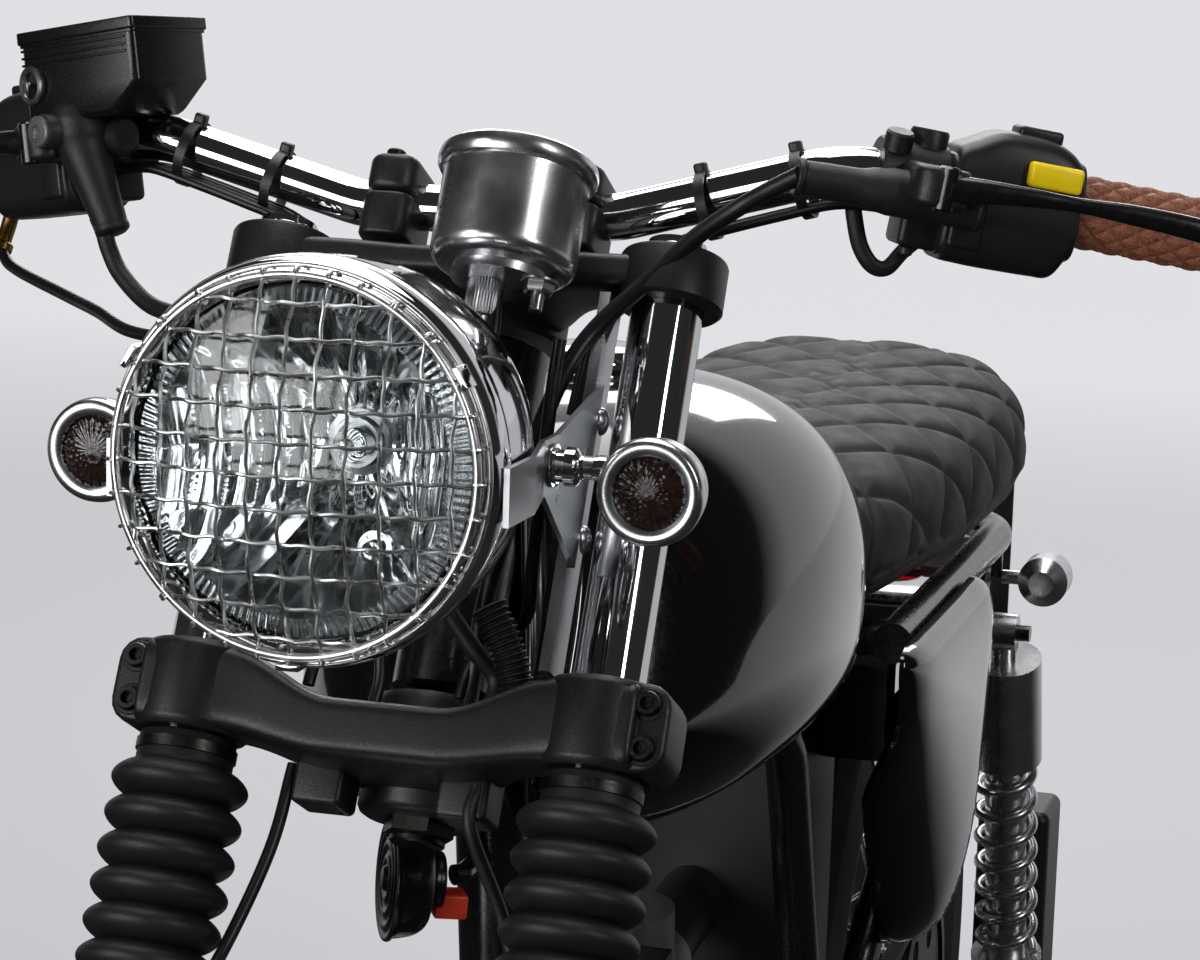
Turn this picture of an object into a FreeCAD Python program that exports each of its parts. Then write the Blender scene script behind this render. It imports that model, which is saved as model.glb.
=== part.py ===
"""A single-cylinder cafe racer motorcycle on its centre stand, in millimetres.

X runs to the rider's left, Y to the rear and Z up. The origin is on the floor, midway between the two axles.
Pieces that steer are drawn in the fork's own frame: its origin is the front axle and its Z runs up the
fork legs.
"""

import FreeCAD, Part
import math
import os
import Sketcher
from FreeCAD import Placement, Rotation, Vector

# Driving dimensions: name, value in millimetres or degrees or a plain count, and what it is
SIZES = [
    ("wheelbase", 1270, "front axle to rear axle"),
    ("tyre_radius", 320, "outside radius of both tyres"),
    ("rear_lift", 12, "how far the centre stand lifts the rear tyre"),
    ("rake", 27, "degrees that the steering axis leans back"),
    ("steer_offset", 60, "front axle to steering axis, square to it"),
    ("fork_half_spacing", 95, "middle plane to each fork leg"),
    ("tube_radius", 16.5, "fork tube"),
    ("fit_gap", 0.1, "radial gap of a fitted pair"),
    ("seat_gap", 0.3, "gap between pieces that rest on each other"),
    ("overrun", 5, "how far a cut runs past the material"),
    # fork legs
    ("lower_yoke_low", 505, "underside of the lower yoke, up the fork"),
    ("lower_yoke_depth", 40, "height of the lower yoke"),
    ("upper_yoke_low", 723, "underside of the upper yoke, up the fork"),
    ("upper_yoke_depth", 25, "height of the upper yoke"),
    ("cap_height", 7, "fork cap above the upper yoke"),
    ("slider_radius", 21, "fork slider"),
    ("slider_top", 268, "top of the slider, up the fork"),
    ("slider_bottom", 30, "slider below the axle"),
    ("slider_bore_depth", 70, "how far the fork tube stands in the slider"),
    ("axle_lug_half", 22, "half width of that boss"),
    ("gaiter_low", 248, "lower end of the gaiter, up the fork"),
    ("gaiter_top_gap", 1, "gaiter's top end below the lower yoke"),
    ("gaiter_collar_radius", 22, "gaiter's upper collar"),
    ("gaiter_collar_height", 14, "height of the upper collar"),
    ("gaiter_foot_radius", 25, "gaiter's lower collar"),
    ("gaiter_foot_height", 14, "height of the lower collar"),
    ("gaiter_peak_radius", 31, "gaiter's folds at their widest"),
    ("gaiter_valley_radius", 25.5, "gaiter's folds at their narrowest"),
    ("gaiter_wall", 2, "rubber thickness"),
    ("gaiter_folds", 14, "number of folds"),
    # yokes
    ("yoke_boss_radius", 27, "lower yoke round each fork tube"),
    ("yoke_ear_reach", 33, "clamp ear's outer end from the tube's axis"),
    ("yoke_ear_half", 18, "half thickness of the clamp ear"),
    ("yoke_front", 21, "front face of the lower yoke ahead of the tubes"),
    ("yoke_web_back", 18, "rear face of the web behind the tubes"),
    ("yoke_dip", 18, "how far the lower yoke's top dips between its ends"),
    ("yoke_sag", 8, "how far its underside hangs there"),
    ("yoke_flat", 24, "half length of the dip's level stretch"),
    ("top_relief", 6, "how far the upper yoke's web is thinner than its ends, above and below"),
    ("stem_boss_radius", 30, "yokes round the steering stem"),
    ("stem_boss_drop", 17, "stem boss below the lower yoke"),
    ("stem_radius", 13, "steering stem"),
    ("clamp_bolt_side", 24, "pinch bolts outside of the tube's axis"),
    ("clamp_bolt_radius", 6, "pinch bolt's head"),
    ("clamp_bolt_height", 3, "pinch bolt's head"),
    ("clamp_bolt_rise", 10, "pinch bolts above and below the yoke's middle"),
    ("top_boss_radius", 25, "upper yoke round each fork tube"),
    ("top_front", 24, "front face of the upper yoke ahead of the tubes"),
    ("stem_nut_radius", 15, "nut on the steering stem"),
    ("stem_nut_height", 9, "nut on the steering stem"),
    # handlebar and its clamps
    ("bar_radius", 11.1, "handlebar tube"),
    ("bar_rise", 22, "handlebar's middle above the upper yoke"),
    ("bar_back", 8, "handlebar's middle behind the fork tubes"),
    ("clamp_spacing", 90, "between the two handlebar clamps"),
    ("clamp_width", 24, "each handlebar clamp along the bar"),
    ("clamp_front", 22, "clamp ahead of the bar"),
    ("clamp_back", 20, "clamp behind the bar"),
    ("clamp_height", 41, "clamp above the upper yoke"),
    ("clamp_round", 13, "rounding of the clamp's front corners"),
    ("bar_half_width", 388, "middle to each end of the handlebar"),
    ("bar_straight", 62, "half length of the bar's middle stretch"),
    ("bar_bend_reach", 169, "middle to the top of each bend"),
    ("bar_bend_rise", 29, "how far the bends stand above the middle"),
    ("bar_bend_radius", 60, "radius of the handlebar's bends"),
    ("grip_start", 262, "middle to the grip's inner end"),
    ("bar_sweep_back", 96, "bar end behind the bar's middle"),
    ("bar_end_drop", 40, "bar end below the bends"),
    ("grip_radius", 16.5, "grip"),
    ("grip_flange_radius", 20, "grip's inner flange"),
    ("grip_flange", 6, "thickness of that flange"),
    ("switch_length", 48, "switch housing along the bar"),
    ("switch_width", 46, "switch housing front to back"),
    ("switch_up", 24, "switch housing above the bar's axis"),
    ("switch_down", 38, "switch housing below the bar's axis"),
    ("perch_length", 30, "lever perch along the bar"),
    ("perch_radius", 17, "lever perch round the bar"),
    ("perch_reach", 46, "lever pivot ahead of the bar's axis"),
    ("lever_length", 165, "lever from pivot to ball"),
    ("lever_width", 15, "lever blade"),
    ("lever_thickness", 9, "lever blade"),
    ("lever_ball_radius", 9, "ball on the lever's end"),
    ("mirror_boss_radius", 9, "boss for a mirror"),
    ("mirror_boss_height", 24, "boss for a mirror, above the bar's axis"),
    ("mirror_hole_radius", 4.25, "tapping hole of the mirror thread"),
    ("mirror_hole_depth", 11, "depth of that hole"),
    ("reservoir_side", 58, "brake fluid reservoir, length and width"),
    ("reservoir_height", 42, "brake fluid reservoir"),
    ("reservoir_rise", 8, "reservoir's floor above the bar's axis"),
    ("boot_radius", 11, "rubber boots on hose and cable ends"),
    ("boot_length", 46, "rubber boots on hose and cable ends"),
    # headlamp
    ("lamp_behind", 118, "headlamp's front behind the front axle"),
    ("lamp_clear", 18, "headlamp's rim above the lower yoke's front edge"),
    ("lamp_rim_radius", 84, "headlamp shell"),
    ("lamp_depth", 112, "headlamp from rim to back"),
    ("lamp_back_radius", 26, "flat back of the headlamp shell"),
    ("lamp_wall", 2, "sheet thickness of the shell"),
    ("lens_radius", 72, "headlamp glass"),
    ("lens_dome", 13, "how far the glass bulges"),
    ("lens_thickness", 3, "headlamp glass"),
    ("reflector_depth", 66, "headlamp reflector"),
    ("bulb_radius", 9, "bulb's cap"),
    ("bulb_length", 26, "bulb's cap in front of the reflector's foot"),
    ("grille_radius", 79, "headlamp guard's outer ring"),
    ("grille_wire", 2.2, "headlamp guard's wire"),
    ("grille_dome", 20, "how far the guard bulges"),
    ("grille_pitch", 14, "guard's mesh"),
    ("grille_stand_off", 7, "guard's ring ahead of the rim"),
    ("gusset_side", 73, "middle plane to the gusset plates' inner faces"),
    ("gusset_thickness", 2.5, "gusset plates"),
    ("gusset_high", 680, "gusset plates' upper corner, up the fork"),
    ("gusset_low", 594, "gusset plates' lower corner, up the fork"),
    ("gusset_back", 15, "gusset plates' rear edge ahead of the fork tubes' axes"),
    ("gusset_nose", 12, "gusset plates ahead of their bolt"),
    ("strut_width", 22, "upright struts behind the gusset plates"),
    ("strut_thickness", 5, "upright struts"),
    ("lamp_arm_height", 24, "headlamp arms"),
    ("lamp_arm_thickness", 2.5, "headlamp arms"),
    ("lamp_arm_hold", 38, "length of the arms along the headlamp's rim"),
    ("lamp_arm_rise", 8, "indicator's stem below the headlamp's middle"),
    # front indicators
    ("indicator_radius", 23, "indicator's body"),
    ("indicator_length", 38, "indicator's body"),
    ("indicator_stem_radius", 5, "indicator's stem"),
    ("indicator_reach", 125, "middle plane to each front indicator"),
    ("indicator_drop", 14, "front indicators below the headlamp's middle"),
    ("indicator_ahead", 190, "front indicators' faces behind the front axle"),
    # speedometer
    ("dial_radius", 36, "speedometer's rim"),
    ("dial_cup_radius", 32.5, "speedometer's cup"),
    ("dial_rim_height", 9, "speedometer's rim"),
    ("dial_height", 60, "speedometer's cup"),
    ("dial_side", 34, "speedometer left of the middle plane"),
    ("dial_ahead", 62, "speedometer ahead of the fork tubes"),
    ("dial_rise", 18, "speedometer's top above the upper yoke"),
    ("dial_plate_thickness", 4, "speedometer's bracket"),
    # front wheel and brake
    ("front_tyre_width", 104, "front tyre"),
    ("rear_tyre_width", 110, "rear tyre"),
    ("rim_radius", 236, "rim flange"),
    ("rim_bead_radius", 228, "tyre's bead seat"),
    ("rim_well_radius", 211, "inner face of the rim's well"),
    ("rim_wall", 4, "rim's metal"),
    ("rim_half_width", 37, "half width of the rim"),
    ("rim_well_half", 15, "half width of the rim's well"),
    ("hub_half", 42, "half distance between spoke flanges"),
    ("hub_radius", 21, "hub barrel"),
    ("hub_flange_radius", 43, "spoke flange"),
    ("hub_flange", 6, "spoke flange's thickness"),
    ("axle_radius", 7.5, "both axles"),
    ("hub_bore_gap", 0.08, "running gap round the axles"),
    ("hub_end", 58, "front hub's ends from the middle plane"),
    ("spoke_radius", 1.9, "spoke"),
    ("spoke_sets", 9, "groups of four spokes"),
    ("spoke_lean", 50, "degrees between a spoke's two ends"),
    ("disc_radius", 128, "front brake disc"),
    ("disc_inner", 60, "inside of the front brake disc"),
    ("disc_thickness", 4, "front brake disc"),
    ("disc_offset", 56, "disc from the middle plane"),
    ("disc_hole_radius", 4, "holes in the disc"),
    ("disc_hole_count", 18, "holes in the disc"),
    ("disc_gap", 5, "disc to the pieces beside it"),
    ("caliper_length", 84, "front brake caliper"),
    ("caliper_height", 46, "front brake caliper"),
    ("caliper_outer_wall", 13, "caliper outside of the disc"),
    ("caliper_inner_wall", 8, "caliper inside of the disc"),
    ("caliper_rise", 72, "caliper's foot, up the fork"),
    ("caliper_front", 34, "caliper's front face behind the slider's axis"),
    ("caliper_lug_height", 46, "slider's lug for the caliper"),
    ("caliper_slot_share", 0.7, "share of the caliper's length that the slot takes"),
    ("spacer_gap", 1, "turning hub to fixed spacer"),
    ("stay_rise", 128, "mudguard stays' foot, up the fork"),
    ("sprocket_seat", 34, "rear hub's boss for the sprocket"),
    ("front_axle_half", 127, "half length of the front axle"),
    ("axle_nut_radius", 12, "axle nuts"),
    ("axle_nut_height", 9, "axle nuts"),
    # mudguards
    ("guard_gap", 16, "mudguards above the tyres"),
    ("guard_wall", 2.5, "mudguards' thickness"),
    ("guard_skirt", 24, "how far the mudguards' sides hang down"),
    ("front_guard_half", 58, "half width of the front mudguard"),
    ("front_guard_ahead", 22, "front mudguard ahead of upright, degrees"),
    ("front_guard_behind", 58, "front mudguard behind upright, degrees"),
    ("rear_guard_half", 66, "half width of the rear mudguard"),
    ("rear_guard_ahead", 42, "rear mudguard ahead of upright, degrees"),
    ("rear_guard_behind", 40, "rear mudguard behind upright, degrees"),
    ("guard_stay_radius", 4, "mudguard stays"),
    # frame
    ("head_tube_radius", 24, "head tube"),
    ("head_tube_gap", 5, "head tube to each yoke"),
    ("spine_radius", 19, "frame's backbone"),
    ("spine_from", 626, "backbone's start, up the fork"),
    ("spine_bend_y", -190, "backbone's bend"),
    ("spine_bend_z", 808, "backbone's bend"),
    ("spine_end_y", 186, "backbone's rear end"),
    ("spine_end_z", 705, "backbone's rear end"),
    ("down_tube_radius", 18, "frame's down tube"),
    ("down_tube_from", 592, "down tube's start, up the fork"),
    ("down_bend_y", -262, "down tube's bend"),
    ("down_bend_z", 770, "down tube's bend"),
    ("down_tube_end_y", -196, "down tube's foot"),
    ("down_tube_end_z", 352, "down tube's foot"),
    ("rail_radius", 12.5, "frame's smaller tubes"),
    ("brace_share", 0.92, "share of the rails' radius that braces have"),
    ("rail_bend", 45, "bend radius of the smaller tubes"),
    ("rail_half", 118, "middle plane to the seat rails"),
    ("rail_z", 715, "seat rails above the floor"),
    ("rail_end_y", 640, "rear end of the seat loop"),
    ("loop_bend", 80, "corner radius of the seat loop"),
    ("pivot_y", 178, "swingarm pivot"),
    ("pivot_z", 332, "swingarm pivot"),
    ("pivot_plate_x", 76, "middle plane to the pivot plates' inner faces"),
    ("pivot_plate_thickness", 8, "pivot plates"),
    ("pivot_plate_top", 105, "pivot plates above the pivot"),
    ("pivot_plate_foot", 110, "pivot plates below the pivot"),
    ("pivot_plate_half", 26, "half length of the pivot plates"),
    ("pivot_pin_radius", 8, "swingarm pin"),
    ("mount_half", 22, "front engine mount's half width"),
    ("mount_low", 27, "front engine mount's lower edge below the down tube's foot"),
    ("cradle_half", 46, "middle plane to the cradle's rails"),
    ("cradle_z", 183, "cradle's rails above the floor"),
    ("cradle_step", 14, "cradle's foot behind the down tube's foot"),
    ("side_tube_y", 24, "side tubes' start on the backbone"),
    ("side_tube_z", 749, "side tubes' start on the backbone"),
    ("side_tube_knee", 684, "side tubes' bend above the floor"),
    ("strut_y", 424, "rear struts' upper end"),
    ("shock_lug", 16, "shock absorbers' upper lugs"),
    ("stand_ear", 10, "centre stand's ears"),
    ("stand_pin_radius", 6, "centre stand's pin"),
    ("stand_brace_share", 0.3, "cross tube's place down the centre stand's legs"),
    ("horn_arm_end", 256, "horn bracket's end ahead of the middle"),
    # swingarm
    ("swingarm_tube_radius", 20, "swingarm's pivot tube"),
    ("arm_half", 97, "middle plane to each arm's middle"),
    ("arm_width", 20, "each arm"),
    ("arm_height", 38, "each arm"),
    ("arm_tail", 46, "arms behind the rear axle"),
    ("arm_brace_y", 106, "swingarm's cross tube behind the pivot"),
    ("arm_brace_radius", 15, "swingarm's cross tube"),
    ("rear_axle_half", 124, "half length of the rear axle"),
    # shock absorbers
    ("shock_half", 140, "middle plane to each shock absorber"),
    ("shock_top_y", 490, "upper eye"),
    ("shock_top_z", 662, "upper eye"),
    ("shock_low_y", 592, "lower eye"),
    ("shock_low_z", 372, "lower eye"),
    ("shock_eye_radius", 13, "eyes"),
    ("shock_eye_half", 9, "half width of the eyes"),
    ("shock_pin_radius", 6, "pins through the eyes"),
    ("shock_cover_radius", 26, "upper cover"),
    ("shock_cover_share_top", 0.07, "share of the length where the cover starts"),
    ("shock_cover_share_low", 0.34, "share of the length where the cover ends"),
    ("shock_body_radius", 15, "damper body"),
    ("shock_body_share", 0.72, "share of the length where the damper body ends"),
    ("shock_foot_share", 0.9, "share of the length where the spring's seat is"),
    ("spring_radius", 20, "spring's coil to the wire's middle"),
    ("spring_wire", 3.2, "radius of the spring's wire"),
    ("spring_turns", 11, "turns of the spring"),
    # tank, seat and panels
    ("tank_front", -262, "fuel tank's front at its top"),
    ("tank_rear", 146, "fuel tank's rear"),
    ("tank_top", 908, "fuel tank's highest point"),
    ("tank_bottom", 690, "fuel tank's lower edge"),
    ("tank_half", 138, "half width of the fuel tank"),
    ("tunnel_half", 30, "half width of the tank's tunnel"),
    ("tunnel_gap", 8, "tunnel above the backbone"),
    ("cap_radius", 31, "filler cap"),
    ("cap_thickness", 14, "filler cap"),
    ("cap_y", -96, "filler cap"),
    ("seat_front", 150, "seat's front end"),
    ("seat_rear", 655, "seat's rear end"),
    ("seat_top", 846, "seat's top"),
    ("seat_half", 136, "half width of the seat"),
    ("tank_waist_share", 0.4, "share of the tank's height where it is widest"),
    ("tank_power", 2.7, "squareness of the tank's sections"),
    ("cap_sink", 16, "filler cap's root in the tank"),
    ("seat_power", 3.2, "squareness of the seat's sections"),
    ("seat_rise", 1.2, "seat's underside above the rails"),
    ("panel_stud", 100, "side panels' studs from the middle plane"),
    ("panel_ear_front", 262, "air box's arms"),
    ("panel_ear_low", 618, "air box's arms"),
    ("panel_inner", 106, "side panels' rims from the middle plane"),
    ("panel_outer", 154, "side panels' highest point from the middle plane"),
    ("panel_wall", 4, "side panels' wall"),
    ("panel_front_y", 112, "side panels' front edge"),
    ("panel_rear_y", 388, "side panels' rear corner"),
    ("panel_top_z", 698, "side panels' top edge"),
    ("panel_low_z", 493, "side panels' lowest point"),
    ("panel_stud_y", 277, "side panels' studs"),
    ("panel_stud_z", 650, "side panels' studs"),
    ("panel_strut_gap", 2, "side panels' notch round the rear struts"),
    ("airbox_half", 62, "air box"),
    ("airbox_front", 168, "air box"),
    ("airbox_rear", 292, "air box"),
    ("airbox_top", 680, "air box"),
    # engine
    ("crank_y", -42, "crankshaft"),
    ("crank_z", 322, "crankshaft"),
    ("case_half", 54, "half width of the crankcase's core"),
    ("case_front", 108, "crankcase ahead of the crankshaft"),
    ("case_rear", 186, "crankcase behind the crankshaft"),
    ("case_low", 122, "crankcase below the crankshaft"),
    ("case_deck", 72, "crankcase's deck above the crankshaft"),
    ("case_shoulder", 62, "gearbox's top above the crankshaft"),
    ("cover_radius", 84, "round engine covers"),
    ("cover_reach", 102, "engine covers from the middle plane"),
    ("clutch_radius", 74, "clutch cover"),
    ("clutch_back", 84, "clutch cover behind the crankshaft"),
    ("cover_edge", 8, "rounding of the engine covers"),
    ("cylinder_lean", 10, "degrees that the cylinder leans forward"),
    ("cylinder_half", 54, "half width of the cylinder's fins"),
    ("cylinder_core", 40, "half width of the cylinder's core"),
    ("cylinder_height", 86, "cylinder"),
    ("fin_count", 8, "fins on the cylinder"),
    ("fin_thickness", 3.4, "fins"),
    ("head_half", 56, "half width of the cylinder head's fins"),
    ("head_height", 62, "cylinder head's finned part"),
    ("head_fin_count", 5, "fins on the cylinder head"),
    ("rocker_half", 42, "half width of the rocker cover"),
    ("rocker_height", 36, "rocker cover"),
    ("tappet_cap_radius", 15, "valve caps"),
    ("tappet_cap_reach", 9, "valve caps stand out"),
    ("port_rise", 29, "ports above the cylinder head's foot"),
    ("intake_radius", 21, "inlet stub"),
    ("intake_reach", 34, "inlet stub behind the head"),
    ("carb_radius", 24, "carburettor"),
    ("carb_length", 62, "carburettor"),
    ("deck_clear", 6, "cylinder's foot above the crankcase's inside"),
    ("exhaust_reach", 48, "exhaust pipe's first run ahead of the head"),
    ("exhaust_side", 92, "exhaust pipe's fall from the middle plane"),
    ("exhaust_low", 196, "exhaust pipe's lowest run above the floor"),
    ("exhaust_drop", 40, "exhaust pipe's first fall"),
    ("exhaust_run", 90, "exhaust pipe's last run"),
    ("exhaust_bend", 36, "exhaust pipe's bends"),
    ("silencer_nose", 60, "silencer's cone"),
    ("silencer_strap_y", 236, "silencer's strap"),
    ("strap_rise", -50, "silencer's strap from the pivot's height"),
    ("strap_boss_radius", 12, "strap's boss on the pivot plate"),
    ("strap_boss_length", 18, "strap's boss on the pivot plate"),
    ("carb_half", 30, "half height of the carburettor's chamber"),
    ("exhaust_radius", 18, "exhaust pipe"),
    ("exhaust_flange", 27, "exhaust flange"),
    ("silencer_radius", 43, "silencer"),
    ("silencer_length", 376, "silencer"),
    ("silencer_side", 158, "silencer from the middle plane"),
    ("silencer_y", 206, "silencer's front end"),
    ("silencer_z", 262, "silencer's front end"),
    ("silencer_climb", 7, "degrees that the silencer climbs"),
    # chain drive
    ("chain_x", 66, "chain from the middle plane"),
    ("chain_width", 10, "chain"),
    ("chain_height", 9, "chain"),
    ("front_sprocket_y", 92, "gearbox sprocket"),
    ("front_sprocket_radius", 32, "chain's pitch circle there"),
    ("rear_sprocket_radius", 88, "chain's pitch circle at the rear"),
    ("sprocket_thickness", 5, "rear sprocket"),
    ("sprocket_gap", 1, "sprocket's rim inside the chain"),
    ("sprocket_holes", 6, "lightening holes"),
    ("drum_radius", 78, "rear brake drum"),
    ("drum_side", 60, "drum's open side from the middle plane"),
    ("drum_width", 40, "rear brake drum"),
    ("brake_plate_gap", 3, "brake plate to drum"),
    ("brake_plate_thickness", 9, "brake plate"),
    # small controls and stands
    ("peg_y", 84, "footrests"),
    ("peg_bar_z", 160, "footrest bar above the floor"),
    ("peg_bar_half", 186, "footrest bar"),
    ("peg_z", 252, "footrests above the floor"),
    ("peg_bar_radius", 9, "footrest bar"),
    ("peg_radius", 14, "footrest rubbers"),
    ("peg_length", 92, "footrest rubbers"),
    ("pedal_radius", 6, "gear lever and brake pedal"),
    ("pedal_reach", 128, "toe pieces ahead of the footrests"),
    ("pedal_z", 236, "gear lever and brake pedal above the floor"),
    ("pedal_rise", 10, "toe pieces above the shafts"),
    ("pedal_inset", 12, "levers inside of the footrests' posts"),
    ("pedal_toe", 52, "toe pieces"),
    ("pedal_shift", 24, "pedals' shafts ahead of the footrests"),
    ("pedal_drop", 29, "brake pedal below the gear lever"),
    ("stand_pivot_y", 188, "centre stand's pivot"),
    ("stand_pivot_z", 220, "centre stand's pivot"),
    ("stand_pivot_half", 62, "middle plane to the centre stand's ears"),
    ("stand_leg_radius", 11, "centre stand's legs"),
    ("stand_foot_x", 128, "middle plane to the centre stand's feet"),
    ("stand_foot_y", 140, "centre stand's feet"),
    ("stand_foot_length", 62, "centre stand's feet"),
    ("stand_foot_width", 26, "centre stand's feet"),
    ("stand_foot_thickness", 7, "centre stand's feet"),
    ("prop_x", 132, "side stand's pivot"),
    ("prop_y", 118, "side stand's pivot"),
    ("prop_z", 206, "side stand's pivot"),
    ("prop_length", 222, "side stand"),
    ("prop_radius", 9, "side stand"),
    ("prop_tilt", 19, "degrees that the side stand's hinge line rises outward"),
    ("prop_eye_radius", 15, "side stand's eye"),
    ("prop_eye_half", 11, "half width of that eye"),
    ("prop_pin_radius", 6, "side stand's pin"),
    ("prop_boss", 14, "frame's boss beside the eye"),
    # rear end
    ("tail_lamp_behind", 113, "tail lamp's front behind the rear axle"),
    ("tail_lamp_z", 696, "tail lamp above the floor"),
    ("tail_foot_z", 651.4, "tail lamp bracket's foot"),
    ("plate_behind", 207.7, "number plate behind the rear axle"),
    ("plate_z", 600, "number plate's lower edge"),
    ("pouch_ahead", 13, "tool pouch's front ahead of the rear axle"),
    ("pouch_z", 352, "tool pouch"),
    ("pouch_width", 54, "tool pouch"),
    ("pouch_length", 70, "tool pouch"),
    ("pouch_height", 146, "tool pouch"),
    ("tail_lamp_radius", 34, "tail lamp"),
    ("tail_lamp_depth", 38, "tail lamp"),
    ("plate_width", 180, "number plate's backing"),
    ("plate_height", 130, "number plate's backing"),
    ("plate_thickness", 3, "number plate's backing"),
    ("rear_indicator_x", 154, "middle plane to each rear indicator"),
    ("rear_indicator_radius", 18, "rear indicators"),
    ("rear_indicator_y", 560, "rear indicators"),
    ("rear_indicator_z", 684, "rear indicators"),
    ("horn_radius", 26, "horn"),
    ("horn_depth", 26, "horn"),
    ("horn_side", 20, "horn right of the middle plane"),
    ("horn_turn", 40, "degrees that the horn faces to the right"),
    ("horn_height", 686, "horn above the floor"),
    ("horn_y", -320, "horn's face"),
    # cables
    ("cable_radius", 3, "control cables and brake hose"),
    ("master_boot_side", 25, "brake hose's boot, tip inboard of its foot"),
    ("master_boot_drop", 48, "brake hose's boot, tip below its foot"),
    ("boot_tip_radius", 5, "brake hose's boot at its tip"),
    ("drive_radius", 22, "speedometer drive on the front axle"),
    ("drive_inner", 64, "speedometer drive from the middle plane"),
    ("drive_stub_radius", 4, "speedometer drive's stub"),
    ("drive_stub_length", 14, "speedometer drive's stub"),
    ("drive_stub_turn", 30, "degrees that the stub leans ahead of the fork"),
]


class Size:
    """A number that remembers the spreadsheet expression it comes from."""

    def __init__(self, value, text):
        self.value = float(value)
        self.text = text

    def __float__(self):
        return self.value

    def __neg__(self):
        return Size(-self.value, f"-({self.text})")

    def __add__(self, other):
        other = size_of(other)
        return Size(self.value + other.value, f"({self.text} + {other.text})")

    def __sub__(self, other):
        other = size_of(other)
        return Size(self.value - other.value, f"({self.text} - {other.text})")

    def __mul__(self, other):
        other = size_of(other)
        return Size(self.value * other.value, f"({self.text} * {other.text})")

    def __truediv__(self, other):
        other = size_of(other)
        return Size(self.value / other.value, f"({self.text} / {other.text})")

    def __radd__(self, other):
        return size_of(other) + self

    def __rsub__(self, other):
        return size_of(other) - self

    def __rmul__(self, other):
        return size_of(other) * self


def size_of(number):
    """A Size as it is, and a plain number as a Size without a cell."""
    if isinstance(number, Size):
        return number
    return Size(number, f"({number})")


def sine(angle):
    """Sine of an angle in degrees."""
    return Size(math.sin(math.radians(angle.value)), f"sin({angle.text} * 1 deg)")


def root(square):
    """Square root of a Size."""
    return Size(math.sqrt(square.value), f"sqrt({square.text})")


def cosine(angle):
    """Cosine of an angle in degrees."""
    return Size(math.cos(math.radians(angle.value)), f"cos({angle.text} * 1 deg)")


class Dimensions:
    """Every driving dimension under its own name."""


D = Dimensions()
doc = FreeCAD.newDocument("Motorcycle")
sheet = doc.addObject("Spreadsheet::Sheet", "Sizes")
for row, (name, value, note) in enumerate(SIZES, 1):
    sheet.set(f"A{row}", name)
    sheet.set(f"B{row}", str(value))
    sheet.set(f"C{row}", note)
    sheet.setAlias(f"B{row}", name)
    setattr(D, name, Size(value, f"Sizes.{name}"))
doc.recompute()
NODES = []


# Placing and tying
# Turns that carry local Z onto a row direction: axis and degrees
TURNS = {
    "z": ((0, 0, 1), 0),
    "x": ((0, 1, 0), 90),
    "-x": ((0, 1, 0), -90),
    "y": ((1, 0, 0), -90),
    "-y": ((1, 0, 0), 90),
    "-z": ((1, 0, 0), 180),
}


def bind(thing, prop, size):
    """Set a property and tie it to its cell."""
    size = size_of(size)
    setattr(thing, prop, size.value)
    if "Sizes" in size.text:
        thing.setExpression(prop, size.text)


def place(thing, at=(0, 0, 0), axis=(0, 0, 1), angle=0):
    """Put a piece at a point, turned about an axis by an angle in degrees."""
    at = [size_of(c) for c in at]
    angle = size_of(angle)
    base = Vector(*[c.value for c in at])
    thing.Placement = Placement(base, Rotation(Vector(*axis), angle.value))
    for letter, c in zip("xyz", at):
        if "Sizes" in c.text:
            thing.setExpression(f"Placement.Base.{letter}", c.text)
    if "Sizes" in angle.text:
        thing.setExpression("Placement.Rotation.Angle", angle.text)


HALF_BASE = D.wheelbase / 2
REAR_AXLE_Z = D.tyre_radius + D.rear_lift
ROW = {}
FORK = {"at": (0, -HALF_BASE, D.tyre_radius), "axis": (1, 0, 0), "angle": -D.rake}
FRONT_WHEEL = {"at": (0, -HALF_BASE, D.tyre_radius)}
REAR_WHEEL = {"at": (0, HALF_BASE, REAR_AXLE_Z)}
CRANK = {"at": (0, D.crank_y, D.crank_z)}
# The cylinder's frame rises from the crankshaft and leans forward
CYLINDER = {"at": (0, D.crank_y, D.crank_z), "axis": (1, 0, 0), "angle": D.cylinder_lean}
# The headlamp's frame starts at its front and runs to the rear
LAMP_Z = (
    cosine(D.rake) * (D.lower_yoke_low + D.lower_yoke_depth) + sine(D.rake) * D.yoke_front
    + D.tyre_radius + D.lamp_rim_radius + D.lamp_clear
)
LAMP = {"at": (0, D.lamp_behind - HALF_BASE, LAMP_Z), "axis": (1, 0, 0), "angle": -90}


def placement_of(frame):
    """A frame's present placement."""
    at = [float(c) for c in frame.get("at", (0, 0, 0))]
    turn = Rotation(Vector(*frame.get("axis", (0, 0, 1))), float(frame.get("angle", 0)))
    return Placement(Vector(*at), turn)


def node(label, item, frame=ROW):
    """Name a finished piece, put it in its frame and list it for export."""
    item.Label = label
    if frame:
        place(item, frame["at"], frame.get("axis", (0, 0, 1)), frame.get("angle", 0))
    NODES.append(item)
    return item


def to_row(frame, x, y, z):
    """A point of a frame as a point of the whole."""
    return placement_of(frame).multVec(Vector(float(x), float(y), float(z)))


def to_frame(frame, x, y, z):
    """A point of the whole as a point of a frame."""
    return placement_of(frame).inverse().multVec(Vector(float(x), float(y), float(z)))


# Solids
def cylinder(radius, height, at=(0, 0, 0), along="z"):
    """A round bar from a point along a direction."""
    item = doc.addObject("Part::Cylinder", "Round")
    bind(item, "Radius", radius)
    bind(item, "Height", height)
    place(item, at, *TURNS[along])
    return item


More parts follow.
